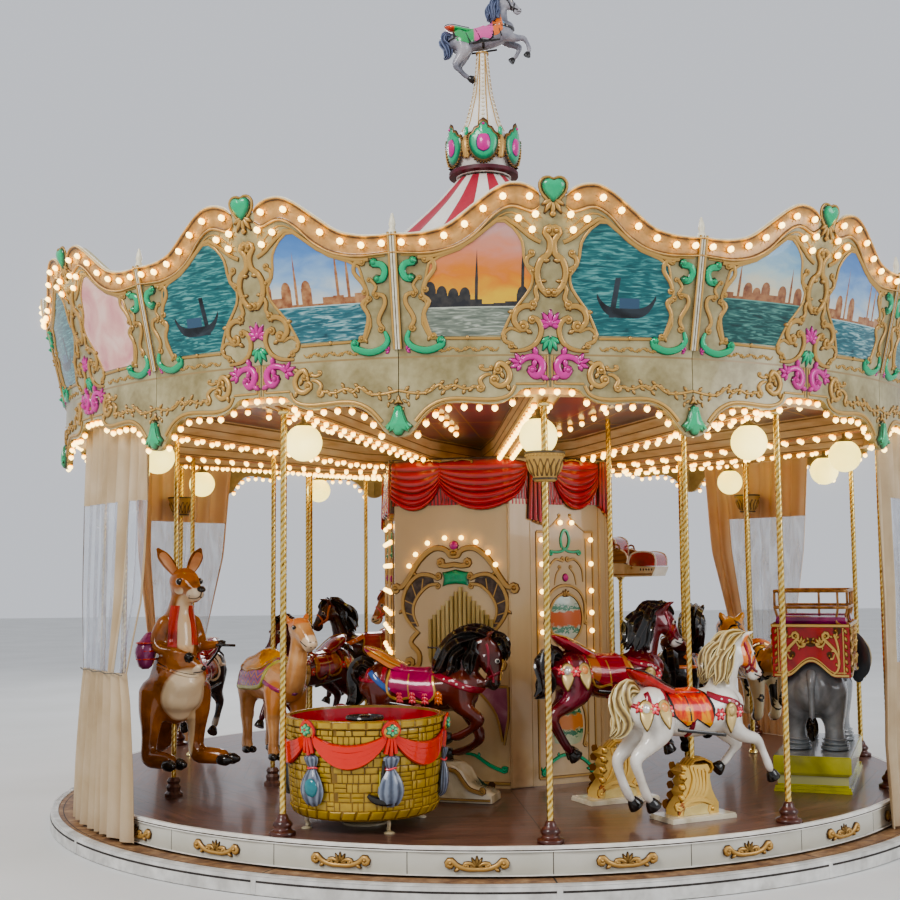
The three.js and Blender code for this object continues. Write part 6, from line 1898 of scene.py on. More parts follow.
def medals_on(bench, skin, side):
    """One side's jewelled medals, and the rosettes between them."""
    gems = (medal_mirror, medal_amber, medal_gold)
    for (x, z), gem in zip(((-0.405, -0.07), (-0.288, -0.078), (0.185, -0.125)), gems):
        place = pinned(skin, (x, side * 0.15, z))
        drop = [(-0.037, -0.01), (0.037, -0.01), (0.035, -0.06), (0.014, -0.108), (0.0, -0.126),
                (-0.014, -0.108), (-0.035, -0.06)]
        bench.add(dome(smooth(drop + drop[:1], 3)[:-1], 0.012, 3), medal_gold, place)
        bench.add(dome(ring_outline((0, 0), 0.042, 16, 1.25), 0.015, 3, 0.3), medal_gold, place)
        bench.add(dome(ring_outline((0, 0), 0.025, 14, 1.3), 0.023, 3), gem, place)
    for x, z in ((-0.468, -0.045), (-0.347, -0.082), (-0.238, -0.10), (0.115, -0.14), (0.255, -0.135)):
        place = pinned(skin, (x, side * 0.15, z))
        bench.add(merge(*[petal((0, 0), 60 * k, 0.04, 0.028, 0.4) for k in range(6)]), rosette_red,
                  place)
        bench.add(dome(ring_outline((0, 0), 0.01, 8), 0.018, 3), eye_white, place)


def face_on(bench, skin, side, look, coat):
    """One side's eye, nostril and mouth."""
    eye = np.array(look["eye"]) * (1, side, 1)
    bench.add(ball(eye * (1, 0.82, 1), 0.0165), eye_white)
    bench.add(ball(eye * (1, 0.93, 1) + (0.003, 0, 0), 0.0125), hoof_black)
    lid = [tuple(eye + (-0.02, -0.004 * side, 0.0)), tuple(eye + (0, 0.002 * side, 0.017)),
           tuple(eye + (0.021, -0.006 * side, -0.002))]
    bench.add(strap(skin, lid, 0.01, 0.007), coat)
    nostril = np.array(look["nostril"]) * (1, side, 1)
    bench.add(dome(ring_outline((0, 0), 0.009, 10, 0.75), 0.004, 3, 0.6), hoof_black, pinned(skin, nostril))
    bench.add(strap(skin, [(x, side * y, z) for x, y, z in look["mouth"]], 0.007, 0.0035), hoof_black)


def stirrups_on(bench, skin, strap_paint):
    """The foot bar on each side, and the strap that it hangs from."""
    for side in (-1, 1):
        bar = [(-0.2, side * 0.155, -0.205), (-0.05, side * 0.16, -0.225), (0.12, side * 0.155, -0.25)]
        bench.add(sweep(smooth(bar, 3), ROUND, 0.011), hoof_black)
        bench.add(strap(skin, [(-0.07, side * 0.12, -0.17), (-0.07, side * 0.11, -0.225),
                               (-0.07, side * 0.05, -0.27)],
                        0.028, 0.012), strap_paint)


def horse(name, coat, hair, cloth, strap_paint, edge, head="up", legs="leap", medals=True, blaze=None, size=1.0,
          locks=4, pointed=False, tassels=False):
    """A carved horse with its saddle at the origin, facing the way the ride turns."""
    look = HEADS[head]
    body = flesh([limb(*BARREL, wide=0.95), *look["bones"], *[limb(*leg) for leg in LEG_SETS[legs]],
                  *both((0.2, 0.045, -0.09, 0.095), (0.24, 0.05, -0.17, 0.075)),
                  *both((-0.30, 0.045, -0.06, 0.1), (-0.36, 0.05, -0.12, 0.085))], keep=0.04 * locks)
    skin = skin_of(body)
    bench = Bench()
    bench.add(body, coat)
    for leg in LEG_SETS[legs]:
        bench.add(hoof(leg), hoof_black)
    saddle_on(bench, skin, cloth, edge, pointed)
    for side in (-1, 1):
        harness_on(bench, skin, side, look, strap_paint, edge, pointed)
        if tassels:
            tassels_on(bench, skin, side)
        if medals:
            medals_on(bench, skin, side)
        face_on(bench, skin, side, look, coat)
        for k, stops in enumerate(look["mane"]):
            bench.add(tress([(x, side * y, z, r) for x, y, z, r in stops], locks - k, 0.3 * side, phase=k),
                      hair)
    bench.add(tress(look["forelock"], 3), hair)
    bench.add(tress(TAIL, locks + 1, 0.5, 0.4), hair)
    if blaze:
        bench.add(strap(skin, blaze[1], 0.03, 0.003), blaze[0])
    stirrups_on(bench, skin, strap_paint)
    return bench.mesh(name, 60) if size == 1.0 else (bench, skin)


def seat(r, deg, height):
    """Where a figure stands: out from the middle, turned to face the way the ride turns."""
    return Matrix.Rotation(radians(deg), 4, "Z") @ Matrix.Translation((0, -r, height))


SLIDING_R = 0.0167


def fixed_pole(name, r, deg, low, high, body="ride", slot="twisted_brass"):
    """A twisted pole from the deck or a guide up into the ceiling."""
    bench = Bench()
    bench.add(twisted(low, high, POLE_R if body == "ride" else SLIDING_R, 0.0152, 10), brass)
    if body == "ride":
        collar = [(0.02, low), (0.034, low + 0.004), (0.03, low + 0.02), (0.02, low + 0.028)]
        bench.add(turned(collar, 20), brass)
    return bench.piece(name, body, seat(r, deg, 0), slot, 60)


def pole_top(r, deg):
    """How high a fixed pole reaches: into a beam where one is over it, and into the ceiling elsewhere."""
    off_beam = abs(deg - round(deg / BAY_DEG) * BAY_DEG) * radians(1) * r
    return underside(r) + (0.0 if off_beam < BEAM_WIDE / 2 + POLE_R else BEAM_TALL) - 0.002


flame = Finish("flame_cloth", "d3311d", Roughness=0.24, Coat_Weight=0.35)
x, y, z = flame.axes()
lick = flame.noise(13, 4, flame.stretched((1.4, 1, 0.45)), Distortion=1.4) + z * 1.6
tongues = flame.ramp(lick, (0.2, "f0a01e"), (0.3, "e8560f"), (0.42, "cf200c"), (0.75, "a30d0a"))
flame.set(Base_Color=flame.mix(flame.depth() > 0.42, tongues, "1c0f0c"))
cloth_maroon = varnished("maroon_cloth", ("b0122f", "a30f2c", "7b0a20"), [
    ((-0.2, 0, -0.08), (0.05, 1, 0.09), "b5642a"), ((0.06, 0, -0.05), (0.04, 1, 0.1), "c4743a")])
cloth_magenta = varnished("magenta_cloth", ("c01f63", "a81455", "7c0f3f"),
                          [((-0.3, 0, 0.05), (0.14, 1, 0.06), "cf7a2e")])
cloth_red = varnished("red_cloth", ("c3201d", "a81a1b", "7d1214"))
cloth_brown = varnished("brown_red_cloth", ("93341f", "7d2a1b", "571b12"))
strap_crimson = varnished("crimson_strap", ("a81230", "8b0d27", "5f0a1c"))
strap_orange = varnished("orange_strap", ("f08b3e", "e0742a", "b9551d"))
strap_blue = varnished("blue_strap", ("3a6bb0", "2b559a", "1b3a70"))
edge_black = varnished("black_edge", ("15110f", "1f1917", "33291f"))
edge_gold = varnished("gold_edge", ("e2bd6c", "c99d4b", "93692b"), Metallic=0.3)
blond = carved("blond_hair", "e6d8a6", "bfa468", "6b5227", Roughness=0.22, Coat_Weight=0.5)
black_hair = carved("black_hair", "38322d", "1b1715", "060504", Roughness=0.14, Coat_Weight=0.7)
red_hair = carved("red_hair", "c0482f", "8f2b1e", "451009", Roughness=0.2, Coat_Weight=0.5)
white_coat = varnished("white_coat", ("f3f1ea", "e9e4da", "cfc6b8"), [
    ((0.375, 0, 0.20), (0.038, 1, 0.095), "e8822e"), ((0.437, 0, 0.125), (0.024, 1, 0.055), "e98a3c"),
    ((0.5, 0, 0.055), (0.03, 1, 0.03), "dfbfb2")])
maroon_coat = varnished("maroon_coat", ("7d1420", "650e1a", "420812"), [
    ((0.41, 0, 0.12), (0.035, 1, 0.05), "a8442c"), ((0.47, 0, 0.05), (0.05, 1, 0.035), "d9d2cb"),
    ((-0.35, 0, -0.2), (0.1, 1, 0.1), "7d1a33")])
brown_coat = varnished("brown_coat", ("6f2a1a", "5a1f14", "36120c"),
                       [((0.42, 0, -0.1), (0.05, 1, 0.04), "2f1a16")])
black_coat = varnished("black_coat", ("23201e", "171413", "383230"),
                       [((0.44, 0, 0.1), (0.02, 1, 0.09), "e6dfd4")])
dark_coat = varnished("dark_coat", ("5a2018", "42160f", "2a0d09"))
tan_coat = varnished("tan_coat", ("cf8a52", "b96f3d", "8f4d27"), [((0.48, 0, 0.06), (0.05, 1, 0.04), "e8d2b8")])
wine_coat = varnished("wine_coat", ("7b1424", "61101d", "3d0912"))
donkey_coat = varnished("donkey_coat", ("4b4d53", "3b3c42", "27282c"), [
    ((0.48, 0, 0.05), (0.06, 1, 0.05), "d8d4cc"), ((0.0, 0, -0.6), (0.8, 1, 0.12), "b9b6b0")])
gold_blaze = varnished("gold_blaze", ("ecc25a", "d8a640", "a2742a"))

# Each figure's name, how far out it stands, its degrees round, the height of its saddle, the foot of its
# sliding pole, or None where the pole is fixed, and how it looks.
FIGURES = [
    ("white_horse", 2.4, 22, 0.975, 0.34,
     dict(coat=white_coat, hair=blond, cloth=flame, strap_paint=strap_crimson, edge=edge_black, locks=6,
          pointed=True)),
    ("maroon_horse", 1.71, 20, 1.135, 0.48,
     dict(coat=maroon_coat, hair=black_hair, cloth=cloth_maroon, legs="prance", strap_paint=strap_crimson,
          edge=edge_gold, locks=5)),
    ("black_horse", 1.45, 62, 1.08, None,
     dict(coat=black_coat, hair=black_hair, cloth=cloth_brown, legs="prance", strap_paint=strap_orange,
          edge=edge_gold, medals=False)),
    ("dark_horse", 2.4, -159, 1.1, None,
     dict(coat=dark_coat, hair=black_hair, cloth=cloth_red, legs="prance", strap_paint=strap_orange,
          edge=edge_gold, medals=False)),
    ("tan_horse", 1.6, -168, 1.18, None,
     dict(coat=tan_coat, hair=red_hair, cloth=cloth_magenta, strap_paint=rosette_red, edge=edge_gold,
          medals=False)),
    ("wine_horse", 1.71, -129, 1.0, None,
     dict(coat=wine_coat, hair=black_hair, cloth=cloth_maroon, strap_paint=strap_crimson, edge=edge_gold)),
    ("donkey", 2.35, -108, 1.0, None,
     dict(coat=donkey_coat, hair=black_hair, cloth=cloth_maroon, legs="prance", strap_paint=eye_white,
          edge=eye_white, medals=False)),
]
LIFT_POLE_TOP = 2.9
for name, r, deg, height, foot, look in FIGURES:
    body = f"{name}_lift" if foot else "ride"
    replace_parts(set_up(f"carved_{name}", horse(name, **look), body, seat(r, deg, height)), name)
    if foot:
        pole = fixed_pole(f"{name}_twisted_pole", r, deg, foot, LIFT_POLE_TOP, body)
        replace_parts(pole, f"{name}_pole")
    else:
        fixed_pole(f"{name}_twisted_pole", r, deg, DECK_TOP + 0.001, pole_top(r, deg))

bow_mesh = horse("brown_horse", coat=brown_coat, hair=black_hair, cloth=cloth_magenta,
                 strap_paint=strap_crimson, edge=edge_gold, head="bowed", legs="bow", medals=False,
                 tassels=True, blaze=(gold_blaze, [(0.5, 0, 0.06), (0.49, 0, 0.02), (0.475, 0, -0.03),
                                                   (0.47, 0, -0.07)]))
set_up("carved_brown_horse", bow_mesh, "ride", seat(1.5, -21, 1.05))
base_cream = varnished("scrolled_base_cream", ("e3d8be", "d3c4a2", "a9936b"))
bow_base = Bench()
BASE_HALF = [(0.43, 0.002), (0.425, 0.045), (0.385, 0.065), (0.31, 0.08), (0.275, 0.13), (0.245, 0.185),
             (0.20, 0.215), (0.14, 0.228), (0.06, 0.23)]
outline = BASE_HALF + [(-u, v) for u, v in BASE_HALF[::-1]]
slice_rows = [np.column_stack([np.array(outline)[:, 0] * grow, np.full(len(outline), y),
                               np.array(outline)[:, 1] * grow])
              for y, grow in ((-0.113, 0.97), (-0.107, 1.0), (0.107, 1.0), (0.113, 0.97))]
bow_base.add((np.concatenate(slice_rows), capped(4, len(outline)), 0.0), base_cream,
             shift(0, 0, DECK_TOP + 0.001))
for side in (-1, 1):
    upright = lambda p, side=side: np.stack([p[:, 0] * side, side * (0.114 + p[:, 2]), p[:, 1] + DECK_TOP], 1)
    for turn in (-1, 1):
        ornament = merge(scroll([(0.10, 0.20), (0.2, 0.19), (0.25, 0.13), (0.29, 0.085), (0.37, 0.06)], 0.03,
                                (0.02, 0.016)), sweep([(0.02, 0.02), (0.2, 0.02), (0.42, 0.02)], HALF_ROUND,
                                                      0.009))
        bow_base.add((ornament[0] * (turn, 1, 1), ornament[1], ornament[2]), old_gold, upright)
    bow_base.add(scroll([(0.05, 0.12), (0.14, 0.165), (0.24, 0.13), (0.33, 0.06)], 0.04, (0.0, 0.016)), green,
                 upright)
stem = [(0.0, 0.42, 0.066), (0.0, 0.5, 0.05), (0.0, 0.62, 0.042), (0.0, 0.75, 0.05), (0.0, 0.87, 0.062)]
bow_base.add(limb(*[(x, 0, z, r) for x, z, r in stem]), base_cream)
for k in range(6):
    leaf = petal((0, 0), 90, 0.2, 0.07, 0.3)
    bow_base.add(leaf, old_gold, lambda p: np.stack([p[:, 0], -0.05 - p[:, 2] - p[:, 1] * 0.05, p[:, 1] + 0.5],
                                                    1),
                 round_about(60 * k))
bow_piece = bow_base.piece("scrolled_bow_base", "ride", seat(1.5, -21, 0), "brown_horse_paint", 50)
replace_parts(bow_piece, "brown_horse")

# The kangaroo and the camel. Each stands on its own legs of painted glass fibre, with the pole that lifts it
# through its back. The joey, vest and pack are moulded on the one, the saddle and blanket on the other.
def paw(place, ways, length, radius):
    """A few short black fingers or claws that spread from one place."""
    place = np.array(place)
    return merge(*[limb((*place, radius), (*(place + np.array(way) * length * 0.5), radius * 1.1),
                        (*(place + np.array(way) * length), radius * 0.6)) for way in ways])


roo_coat = varnished("kangaroo_coat", ("b5702c", "9a5a1e", "653711"), [
    ((0.21, 0.01, 0.43), (0.20, 0.16, 0.185), "ecd6b2"), ((0.16, 0.01, 0.87), (0.12, 0.072, 0.21), "e8cba2"),
    ((0.02, 0.085, 0.2), (0.2, 0.035, 0.2), "e2c69c"), ((0.24, 0.05, 1.07), (0.06, 0.065, 0.045), "efdcbe"),
    ((0.15, -0.03, 1.10), (0.05, 0.03, 0.03), "e9cfa6"), ((0.1, 0.01, 1.17), (0.14, 0.1, 0.1), "c47426"),
    ((0.21, 0.07, 0.605), (0.07, 0.05, 0.035), "f0dcc0"), ((0.15, -0.02, 0.65), (0.06, 0.05, 0.03), "d9702a")])
ear_pink = varnished("ear_pink", ("e9b78c", "dfa377", "c07f52"))
vest_red = varnished("vest_red", ("dc4327", "c53320", "8f1d14"))
pack_pink = varnished("pack_pink", ("c04a72", "8d3568", "5a2a63"))
roo_arms = [[(0.05, -0.09, 0.89, 0.055), (0.05, -0.14, 0.79, 0.046), (0.09, -0.14, 0.735, 0.037),
             (0.17, -0.075, 0.715, 0.03), (0.225, -0.005, 0.70, 0.026)],
            [(0.05, 0.1, 0.89, 0.055), (0.06, 0.14, 0.79, 0.046), (0.11, 0.15, 0.745, 0.036),
             (0.18, 0.185, 0.75, 0.03), (0.22, 0.2, 0.76, 0.025)]]
roo_legs = [[(0.0, -0.12, 0.45, 0.115), (0.0, -0.145, 0.34, 0.088), (0.0, -0.155, 0.22, 0.06),
             (-0.01, -0.16, 0.12, 0.052), (0.01, -0.16, 0.055, 0.056), (0.1, -0.13, 0.05, 0.056),
             (0.18, -0.09, 0.045, 0.05)],
            [(0.0, 0.13, 0.45, 0.115), (0.0, 0.15, 0.34, 0.088), (0.0, 0.15, 0.22, 0.06),
             (-0.01, 0.15, 0.12, 0.052), (0.01, 0.16, 0.055, 0.056), (0.08, 0.215, 0.05, 0.056),
             (0.14, 0.27, 0.045, 0.05)]]
roo_body = flesh([
    limb((0.01, 0.005, 0.36, 0.12), (0.02, 0.005, 0.41, 0.168), (0.025, 0.005, 0.49, 0.185),
         (0.035, 0.005, 0.58, 0.168), (0.045, 0.005, 0.69, 0.138), (0.05, 0.005, 0.8, 0.118),
         (0.05, 0.005, 0.9, 0.106), (0.06, 0.01, 0.98, 0.08), (0.08, 0.015, 1.06, 0.07)),
    limb((0.07, 0.015, 1.1, 0.078), (0.095, 0.017, 1.145, 0.096), (0.15, 0.025, 1.135, 0.086),
         (0.205, 0.039, 1.1, 0.058), (0.235, 0.049, 1.085, 0.048)),
    *[limb((0.19, 0.045 + side * 0.03, 1.075, 0.034), (0.22, 0.055 + side * 0.025, 1.068, 0.03))
      for side in (-1, 1)],
    limb((0.15, 0.035, 1.055, 0.04), (0.205, 0.055, 1.04, 0.028)),
    limb((0.14, -0.055, 0.665, 0.07), (0.175, -0.005, 0.655, 0.074), (0.205, 0.05, 0.625, 0.052),
         (0.22, 0.08, 0.605, 0.036)),
    limb((0.11, -0.075, 0.56, 0.09), (0.13, 0.005, 0.52, 0.11), (0.11, 0.085, 0.56, 0.09)),
    *[limb(*arm) for arm in roo_arms], *[limb(*leg) for leg in roo_legs],
    limb((-0.08, 0.005, 0.38, 0.12), (-0.17, 0.01, 0.24, 0.09), (-0.22, 0.01, 0.14, 0.07),
         (-0.33, 0.0, 0.09, 0.058), (-0.44, -0.01, 0.055, 0.04)),
], 0.014, 6, 0.5)
roo_skin = skin_of(roo_body)
roo = Bench()
roo.add(roo_body, roo_coat)
for side in (-1, 1):
    base = (0.07, 0.017 + side * 0.045, 1.2)
    ear = [(*base, 0.026), (0.05, 0.017 + side * 0.085, 1.265, 0.042),
           (0.03, 0.017 + side * 0.118, 1.315, 0.038), (0.015, 0.017 + side * 0.14, 1.352, 0.014)]
    roo.add(limb(*ear, section=CIRCLE * (0.34, 1, 1)), roo_coat)
    roo.add(limb(*[(x + 0.012, y, z - 0.002, r * 0.72) for x, y, z, r in ear[:3]],
                 section=CIRCLE * (0.3, 1, 1)), ear_pink)
    eye = np.array((0.17, 0.025 + side * 0.064, 1.15))
    roo.add(ball(eye, 0.024), eye_white)
    roo.add(ball(eye + (0.008, side * 0.004, 0), 0.0205), hoof_black)
    # A small white glint on each eye, a painted highlight.
    roo.add(ball(eye + (0.026, side * 0.006, 0.008), 0.0045), eye_white)
    for turn in (-1, 1):
        lid = [tuple(eye + (0.006, -side * 0.024, -0.004 * turn)), tuple(eye + (0.016, 0, 0.02 * turn)),
               tuple(eye + (-0.004, side * 0.022, 0.002))]
        roo.add(strap(roo_skin, lid, 0.007, 0.005), hoof_black)
    smile = [(0.265, 0.065, 1.055), (0.245, 0.06 + side * 0.02, 1.043), (0.21, 0.055 + side * 0.045, 1.052)]
    roo.add(strap(roo_skin, smile, 0.006, 0.004), hoof_black)
    for x, z in ((0.225, 1.068), (0.21, 1.075), (0.218, 1.058)):
        roo.add(dome(ring_outline((0, 0), 0.003, 6), 0.003, 2), hoof_black,
                pinned(roo_skin, (x, 0.055 + side * 0.045, z)))
    vest = [(0.11, 0.005 + side * 0.045, 1.0), (0.13, 0.005 + side * 0.07, 0.92),
            (0.15, 0.005 + side * 0.085, 0.83), (0.17, 0.005 + side * 0.088, 0.755)]
    roo.add(strap(roo_skin, vest, 0.058, 0.011), vest_red)
roo.add(limb((0.265, 0.067, 1.103, 0.02), (0.278, 0.071, 1.098, 0.017), wide=1.5), hoof_black)
roo.add(strap(roo_skin, [(0.27, 0.069, 1.09), (0.27, 0.067, 1.055)], 0.006, 0.005), hoof_black)
roo.add(strap(roo_skin, [(0.15, 0.105, 0.69), (0.15, 0.155, 0.65), (0.12, 0.19, 0.58)], 0.055, 0.012),
        vest_red)
roo.add(ball((0.258, 0.093, 0.612), 0.017), hoof_black)
for y, z in ((-0.025, 0.67), (0.06, 0.665)):
    roo.add(ball((0.22, y, z), 0.013), hoof_black)
roo.add(strap(roo_skin, [(0.23, 0.035, 0.585), (0.26, 0.075, 0.578), (0.24, 0.095, 0.59)], 0.005, 0.004),
        hoof_black)
pouch = [(0.08, -0.155, 0.64), (0.17, -0.095, 0.60), (0.21, -0.015, 0.568), (0.21, 0.065, 0.566),
         (0.16, 0.135, 0.6)]
roo.add(strap(roo_skin, pouch, 0.018, 0.012), roo_coat)
roo.add(strap(roo_skin, [(x, y, z + 0.012) for x, y, z in pouch], 0.006, 0.008), hoof_black)
roo.add(paw((0.225, -0.007, 0.695), [(0.6, 0.7, -0.3), (0.7, 0.5, -0.7), (0.55, 0.2, -0.9), (0.5, -0.2, -0.8)],
            0.04, 0.018), hoof_black)
roo.add(ball((0.242, 0.001, 0.685), 0.03), hoof_black)
roo.add(paw((0.22, 0.205, 0.765), [(0.8, 0.4, -0.3), (0.8, 0.1, -0.5), (0.7, 0.7, -0.2), (0.3, 0.9, 0.1)],
            0.04, 0.013), hoof_black)
grip = [(0.252, 0.175, 0.752), (0.248, 0.245, 0.748), (0.244, 0.305, 0.744)]
roo.add(sweep(grip, ROUND, 0.009), hoof_black)
roo.add(sweep([(0.248, 0.21, 0.75), (0.2, 0.195, 0.69), (0.12, 0.17, 0.62)], ROUND, 0.008), hoof_black)
for x, y, z, _ in (roo_legs[0][-1], roo_legs[1][-1]):
    way = np.array((0.95, 0.28 if y < 0 else 0.6, 0))
    way /= np.linalg.norm(way)
    for k in (-0.04, 0.04):
        toe = np.array((x, y, 0.03)) + way * 0.015 + np.array((-way[1], way[0], 0)) * k
        roo.add(limb((*toe, 0.034), (*(toe + way * 0.04), 0.036), (*(toe + way * 0.07), 0.022)), hoof_black)
pack_roll = [(0.0, -0.165, 0.79, 0.05), (0.02, -0.2, 0.72, 0.066), (0.03, -0.205, 0.65, 0.05)]
roo.add(limb(*pack_roll), pack_pink)
for z in (0.77, 0.72, 0.67):
    ring = [(0.02 + 0.062 * cos(t), -0.195 + 0.062 * sin(t), z) for t in np.linspace(0, 2 * pi, 13)]
    roo.add(sweep(ring, ROUND, 0.006), vest_red)
LIFT_POLE_FOOT = 0.31
set_up("carved_kangaroo", roo.mesh("carved_kangaroo", 60), "kangaroo_lift", seat(2.4, -62.6, 0.45))
fixed_pole("kangaroo_twisted_pole", 2.4, -62.6, LIFT_POLE_FOOT, LIFT_POLE_TOP, "kangaroo_lift",
           "kangaroo_paint")
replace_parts(bpy.data.objects["carved_kangaroo"], "kangaroo")

camel_coat = varnished("camel_coat", ("e0ac76", "cf9760", "a66f3d"), [
    ((0.4, 0, 0.9), (0.1, 0.1, 0.06), "e0874a"), ((0.57, 0.02, 0.74), (0.08, 0.08, 0.07), "ead0ae"),
    ((0.25, 0, 0.4), (0.1, 0.3, 0.12), "d08a4c")])
saddle_yellow = varnished("saddle_yellow", ("ecaa25", "d8921a", "a4640f"))
blanket = Finish("zigzag_blanket", "8a4f86", Roughness=0.2, Coat_Weight=0.5)
x, y, z = blanket.axes()
zig = (z + abs((x * 11) % 1.0 - 0.5) * 0.09) * 14 % 1.0
blanket.shade(zig, (0.0, "8e4f92"), (0.28, "8e4f92"), (0.3, "c4506a"), (0.53, "c4506a"), (0.55, "7c4a86"),
              (0.78, "7c4a86"), (0.8, "d0703c"), (1.0, "d0703c"))
lime_edge = varnished("lime_edge", ("d2cf6e", "b7b04a", "8b8430"))
camel_legs = [[(x, side * 0.07, 0.44, 0.085), (x + 0.012, side * 0.085, 0.34, 0.058),
               (x, side * 0.085, 0.25, 0.046), (x + 0.012, side * 0.085, 0.14, 0.036),
               (x, side * 0.085, 0.065, 0.04), (x + 0.02, side * 0.085, 0.04, 0.043)]
              for x in (0.2, -0.24) for side in (-1, 1)]
camel_body = flesh([
    limb((-0.34, 0, 0.45, 0.1), (-0.22, 0, 0.49, 0.145), (-0.04, 0, 0.5, 0.156), (0.14, 0, 0.48, 0.142),
         (0.25, 0, 0.47, 0.115)),
    limb((-0.14, 0, 0.54, 0.11), (-0.05, 0, 0.6, 0.085), (0.05, 0, 0.54, 0.1)),
    limb((0.24, 0, 0.46, 0.11), (0.335, 0, 0.52, 0.083), (0.385, 0, 0.62, 0.066), (0.4, 0.005, 0.73, 0.06),
         (0.41, 0.01, 0.82, 0.06)),
    limb((0.38, 0.0, 0.84, 0.064), (0.43, 0.0, 0.85, 0.07), (0.48, 0.005, 0.82, 0.062),
         (0.525, 0.012, 0.78, 0.055), (0.555, 0.018, 0.75, 0.046), wide=0.95),
    limb((0.46, 0.005, 0.775, 0.04), (0.53, 0.015, 0.72, 0.032)),
    *[limb((0.435, side * 0.035, 0.89, 0.024), (0.47, side * 0.038, 0.872, 0.02)) for side in (-1, 1)],
    *[limb((0.55, 0.016 + side * 0.022, 0.765, 0.026), (0.572, 0.018 + side * 0.02, 0.742, 0.023))
      for side in (-1, 1)],
    *[limb((0.375, side * 0.05, 0.885, 0.02), (0.365, side * 0.075, 0.915, 0.024),
           (0.355, side * 0.088, 0.94, 0.012))
      for side in (-1, 1)],
    *[limb(*leg) for leg in camel_legs]], 0.014, 6, 0.5)
camel_skin = skin_of(camel_body)
camel = Bench()
camel.add(camel_body, camel_coat)
camel.add(laid(camel_skin, lambda a: -0.33, lambda a: 0.14, ([0, 0.5, 1], [96, 100, 88]), lambda s, a: 0.008,
               (20, 25), 0.47),
          blanket)
camel.add(laid(camel_skin, lambda a: -0.27, lambda a: 0.1, ([0, 0.5, 1], [58, 64, 52]), lambda s, a: 0.022,
               (18, 21), 0.47),
          saddle_yellow)
for side in (-1, 1):
    hem = [(-0.33, side * 0.02, 0.66), (-0.33, side * 0.13, 0.55), (-0.33, side * 0.14, 0.46),
           (-0.2, side * 0.15, 0.435), (-0.05, side * 0.155, 0.44), (0.13, side * 0.15, 0.47),
           (0.14, side * 0.12, 0.57), (0.14, side * 0.02, 0.64)]
    camel.add(strap(camel_skin, hem, 0.03, 0.014), lime_edge)
    seam = [(-0.27, side * 0.02, 0.66), (-0.27, side * 0.12, 0.58), (-0.08, side * 0.13, 0.56),
            (0.1, side * 0.12, 0.57), (0.1, side * 0.02, 0.65)]
    camel.add(strap(camel_skin, seam, 0.012, 0.026), edge_gold)
    eye = np.array((0.462, 0.002 + side * 0.06, 0.85))
    camel.add(ball(eye, 0.015), eye_white)
    camel.add(ball(eye + (0.005, side * 0.003, 0), 0.012), hoof_black)
    camel.add(strap(camel_skin, [tuple(eye + (-0.02, 0, 0.005)), tuple(eye + (0, side * 0.006, 0.016)),
                                 tuple(eye + (0.02, 0, 0.0))],
                    0.009, 0.007), hoof_black)
    camel.add(strap(camel_skin, [(0.58, 0.018 + side * 0.01, 0.735), (0.55, 0.015 + side * 0.04, 0.742),
                                 (0.51, 0.01 + side * 0.048, 0.765)], 0.006, 0.004), hoof_black)
    camel.add(dome(ring_outline((0, 0), 0.008, 8, 0.5), 0.003, 2), hoof_black,
              pinned(camel_skin, (0.59, 0.018 + side * 0.022, 0.765)))
    camel.add(strap(camel_skin, [(0.14, side * 0.12, 0.5), (0.25, side * 0.11, 0.46), (0.34, side * 0.0, 0.44)],
                    0.026, 0.008),
              pack_pink)
camel.add(tress([(-0.35, 0, 0.47, 0.03), (-0.4, 0, 0.42, 0.024), (-0.41, 0, 0.3, 0.022), (-0.4, 0, 0.22, 0.03),
                 (-0.39, 0, 0.16, 0.01)], 3), camel_coat)
for leg in camel_legs:
    x, y = leg[-1][:2]
    for k in (-1, 1):
        camel.add(limb((x + 0.01, y + k * 0.02, 0.024, 0.026), (x + 0.045, y + k * 0.022, 0.022, 0.023),
                       (x + 0.062, y + k * 0.02, 0.016, 0.012)),
                  hoof_black)
set_up("carved_camel", camel.mesh("carved_camel", 60), "camel_lift", seat(1.71, -63.5, 0.45))
fixed_pole("camel_twisted_pole", 1.71, -63.5, LIFT_POLE_FOOT, LIFT_POLE_TOP, "camel_lift", "camel_paint")
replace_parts(bpy.data.objects["carved_camel"], "camel")

# The finial. A small rearing horse of cast metal stands on a white post above the spire, its blanket painted in
# patches of bright colour with black edges.
finial_coat = Finish("finial_coat", "8d8f98", Roughness=0.3, Coat_Weight=0.3)
x, y, z = finial_coat.axes()
mottle = finial_coat.noise(9, 5, Distortion=0.5)
shade = finial_coat.ramp(mottle, (0.3, "a9a6aa"), (0.5, "86868f"), (0.75, "5f6069"))
finial_coat.set(Base_Color=shade)
patchwork = Finish("patchwork_cloth", "5fa9c9", Roughness=0.25, Coat_Weight=0.4)
x, y, z = patchwork.axes()
patchwork.shade(x * 1.05 + 0.55 + patchwork.noise(5, 3) * 0.03, (0.0, "8fc3dd"), (0.19, "8fc3dd"),
                (0.2, "d8552f"), (0.33, "d8552f"), (0.34, "3fa45f"), (0.49, "3fa45f"), (0.5, "d8609f"),
                (0.64, "d8609f"), (0.65, "e37a3a"), (0.72, "e37a3a"), (0.73, "4f9fc6"), (1.0, "4f9fc6"))
blue_hair = carved("blue_hair", "7c86a0", "5a6482", "2a3046", Roughness=0.3)
FINIAL_SIZE, FINIAL_TILT, FINIAL_Z = 0.66, -18, 5.79
bench, skin = horse("carved_finial_horse", coat=finial_coat, hair=blue_hair, cloth=patchwork,
                    strap_paint=edge_black, edge=edge_black, legs="rear", medals=False, size=FINIAL_SIZE)
bench.add(laid(skin, lambda a: -0.36, lambda a: 0.24, ([0, 0.2, 0.5, 0.8, 1.0], [84, 112, 100, 112, 78]),
               lambda s, a: 0.006, (22, 23)), patchwork)
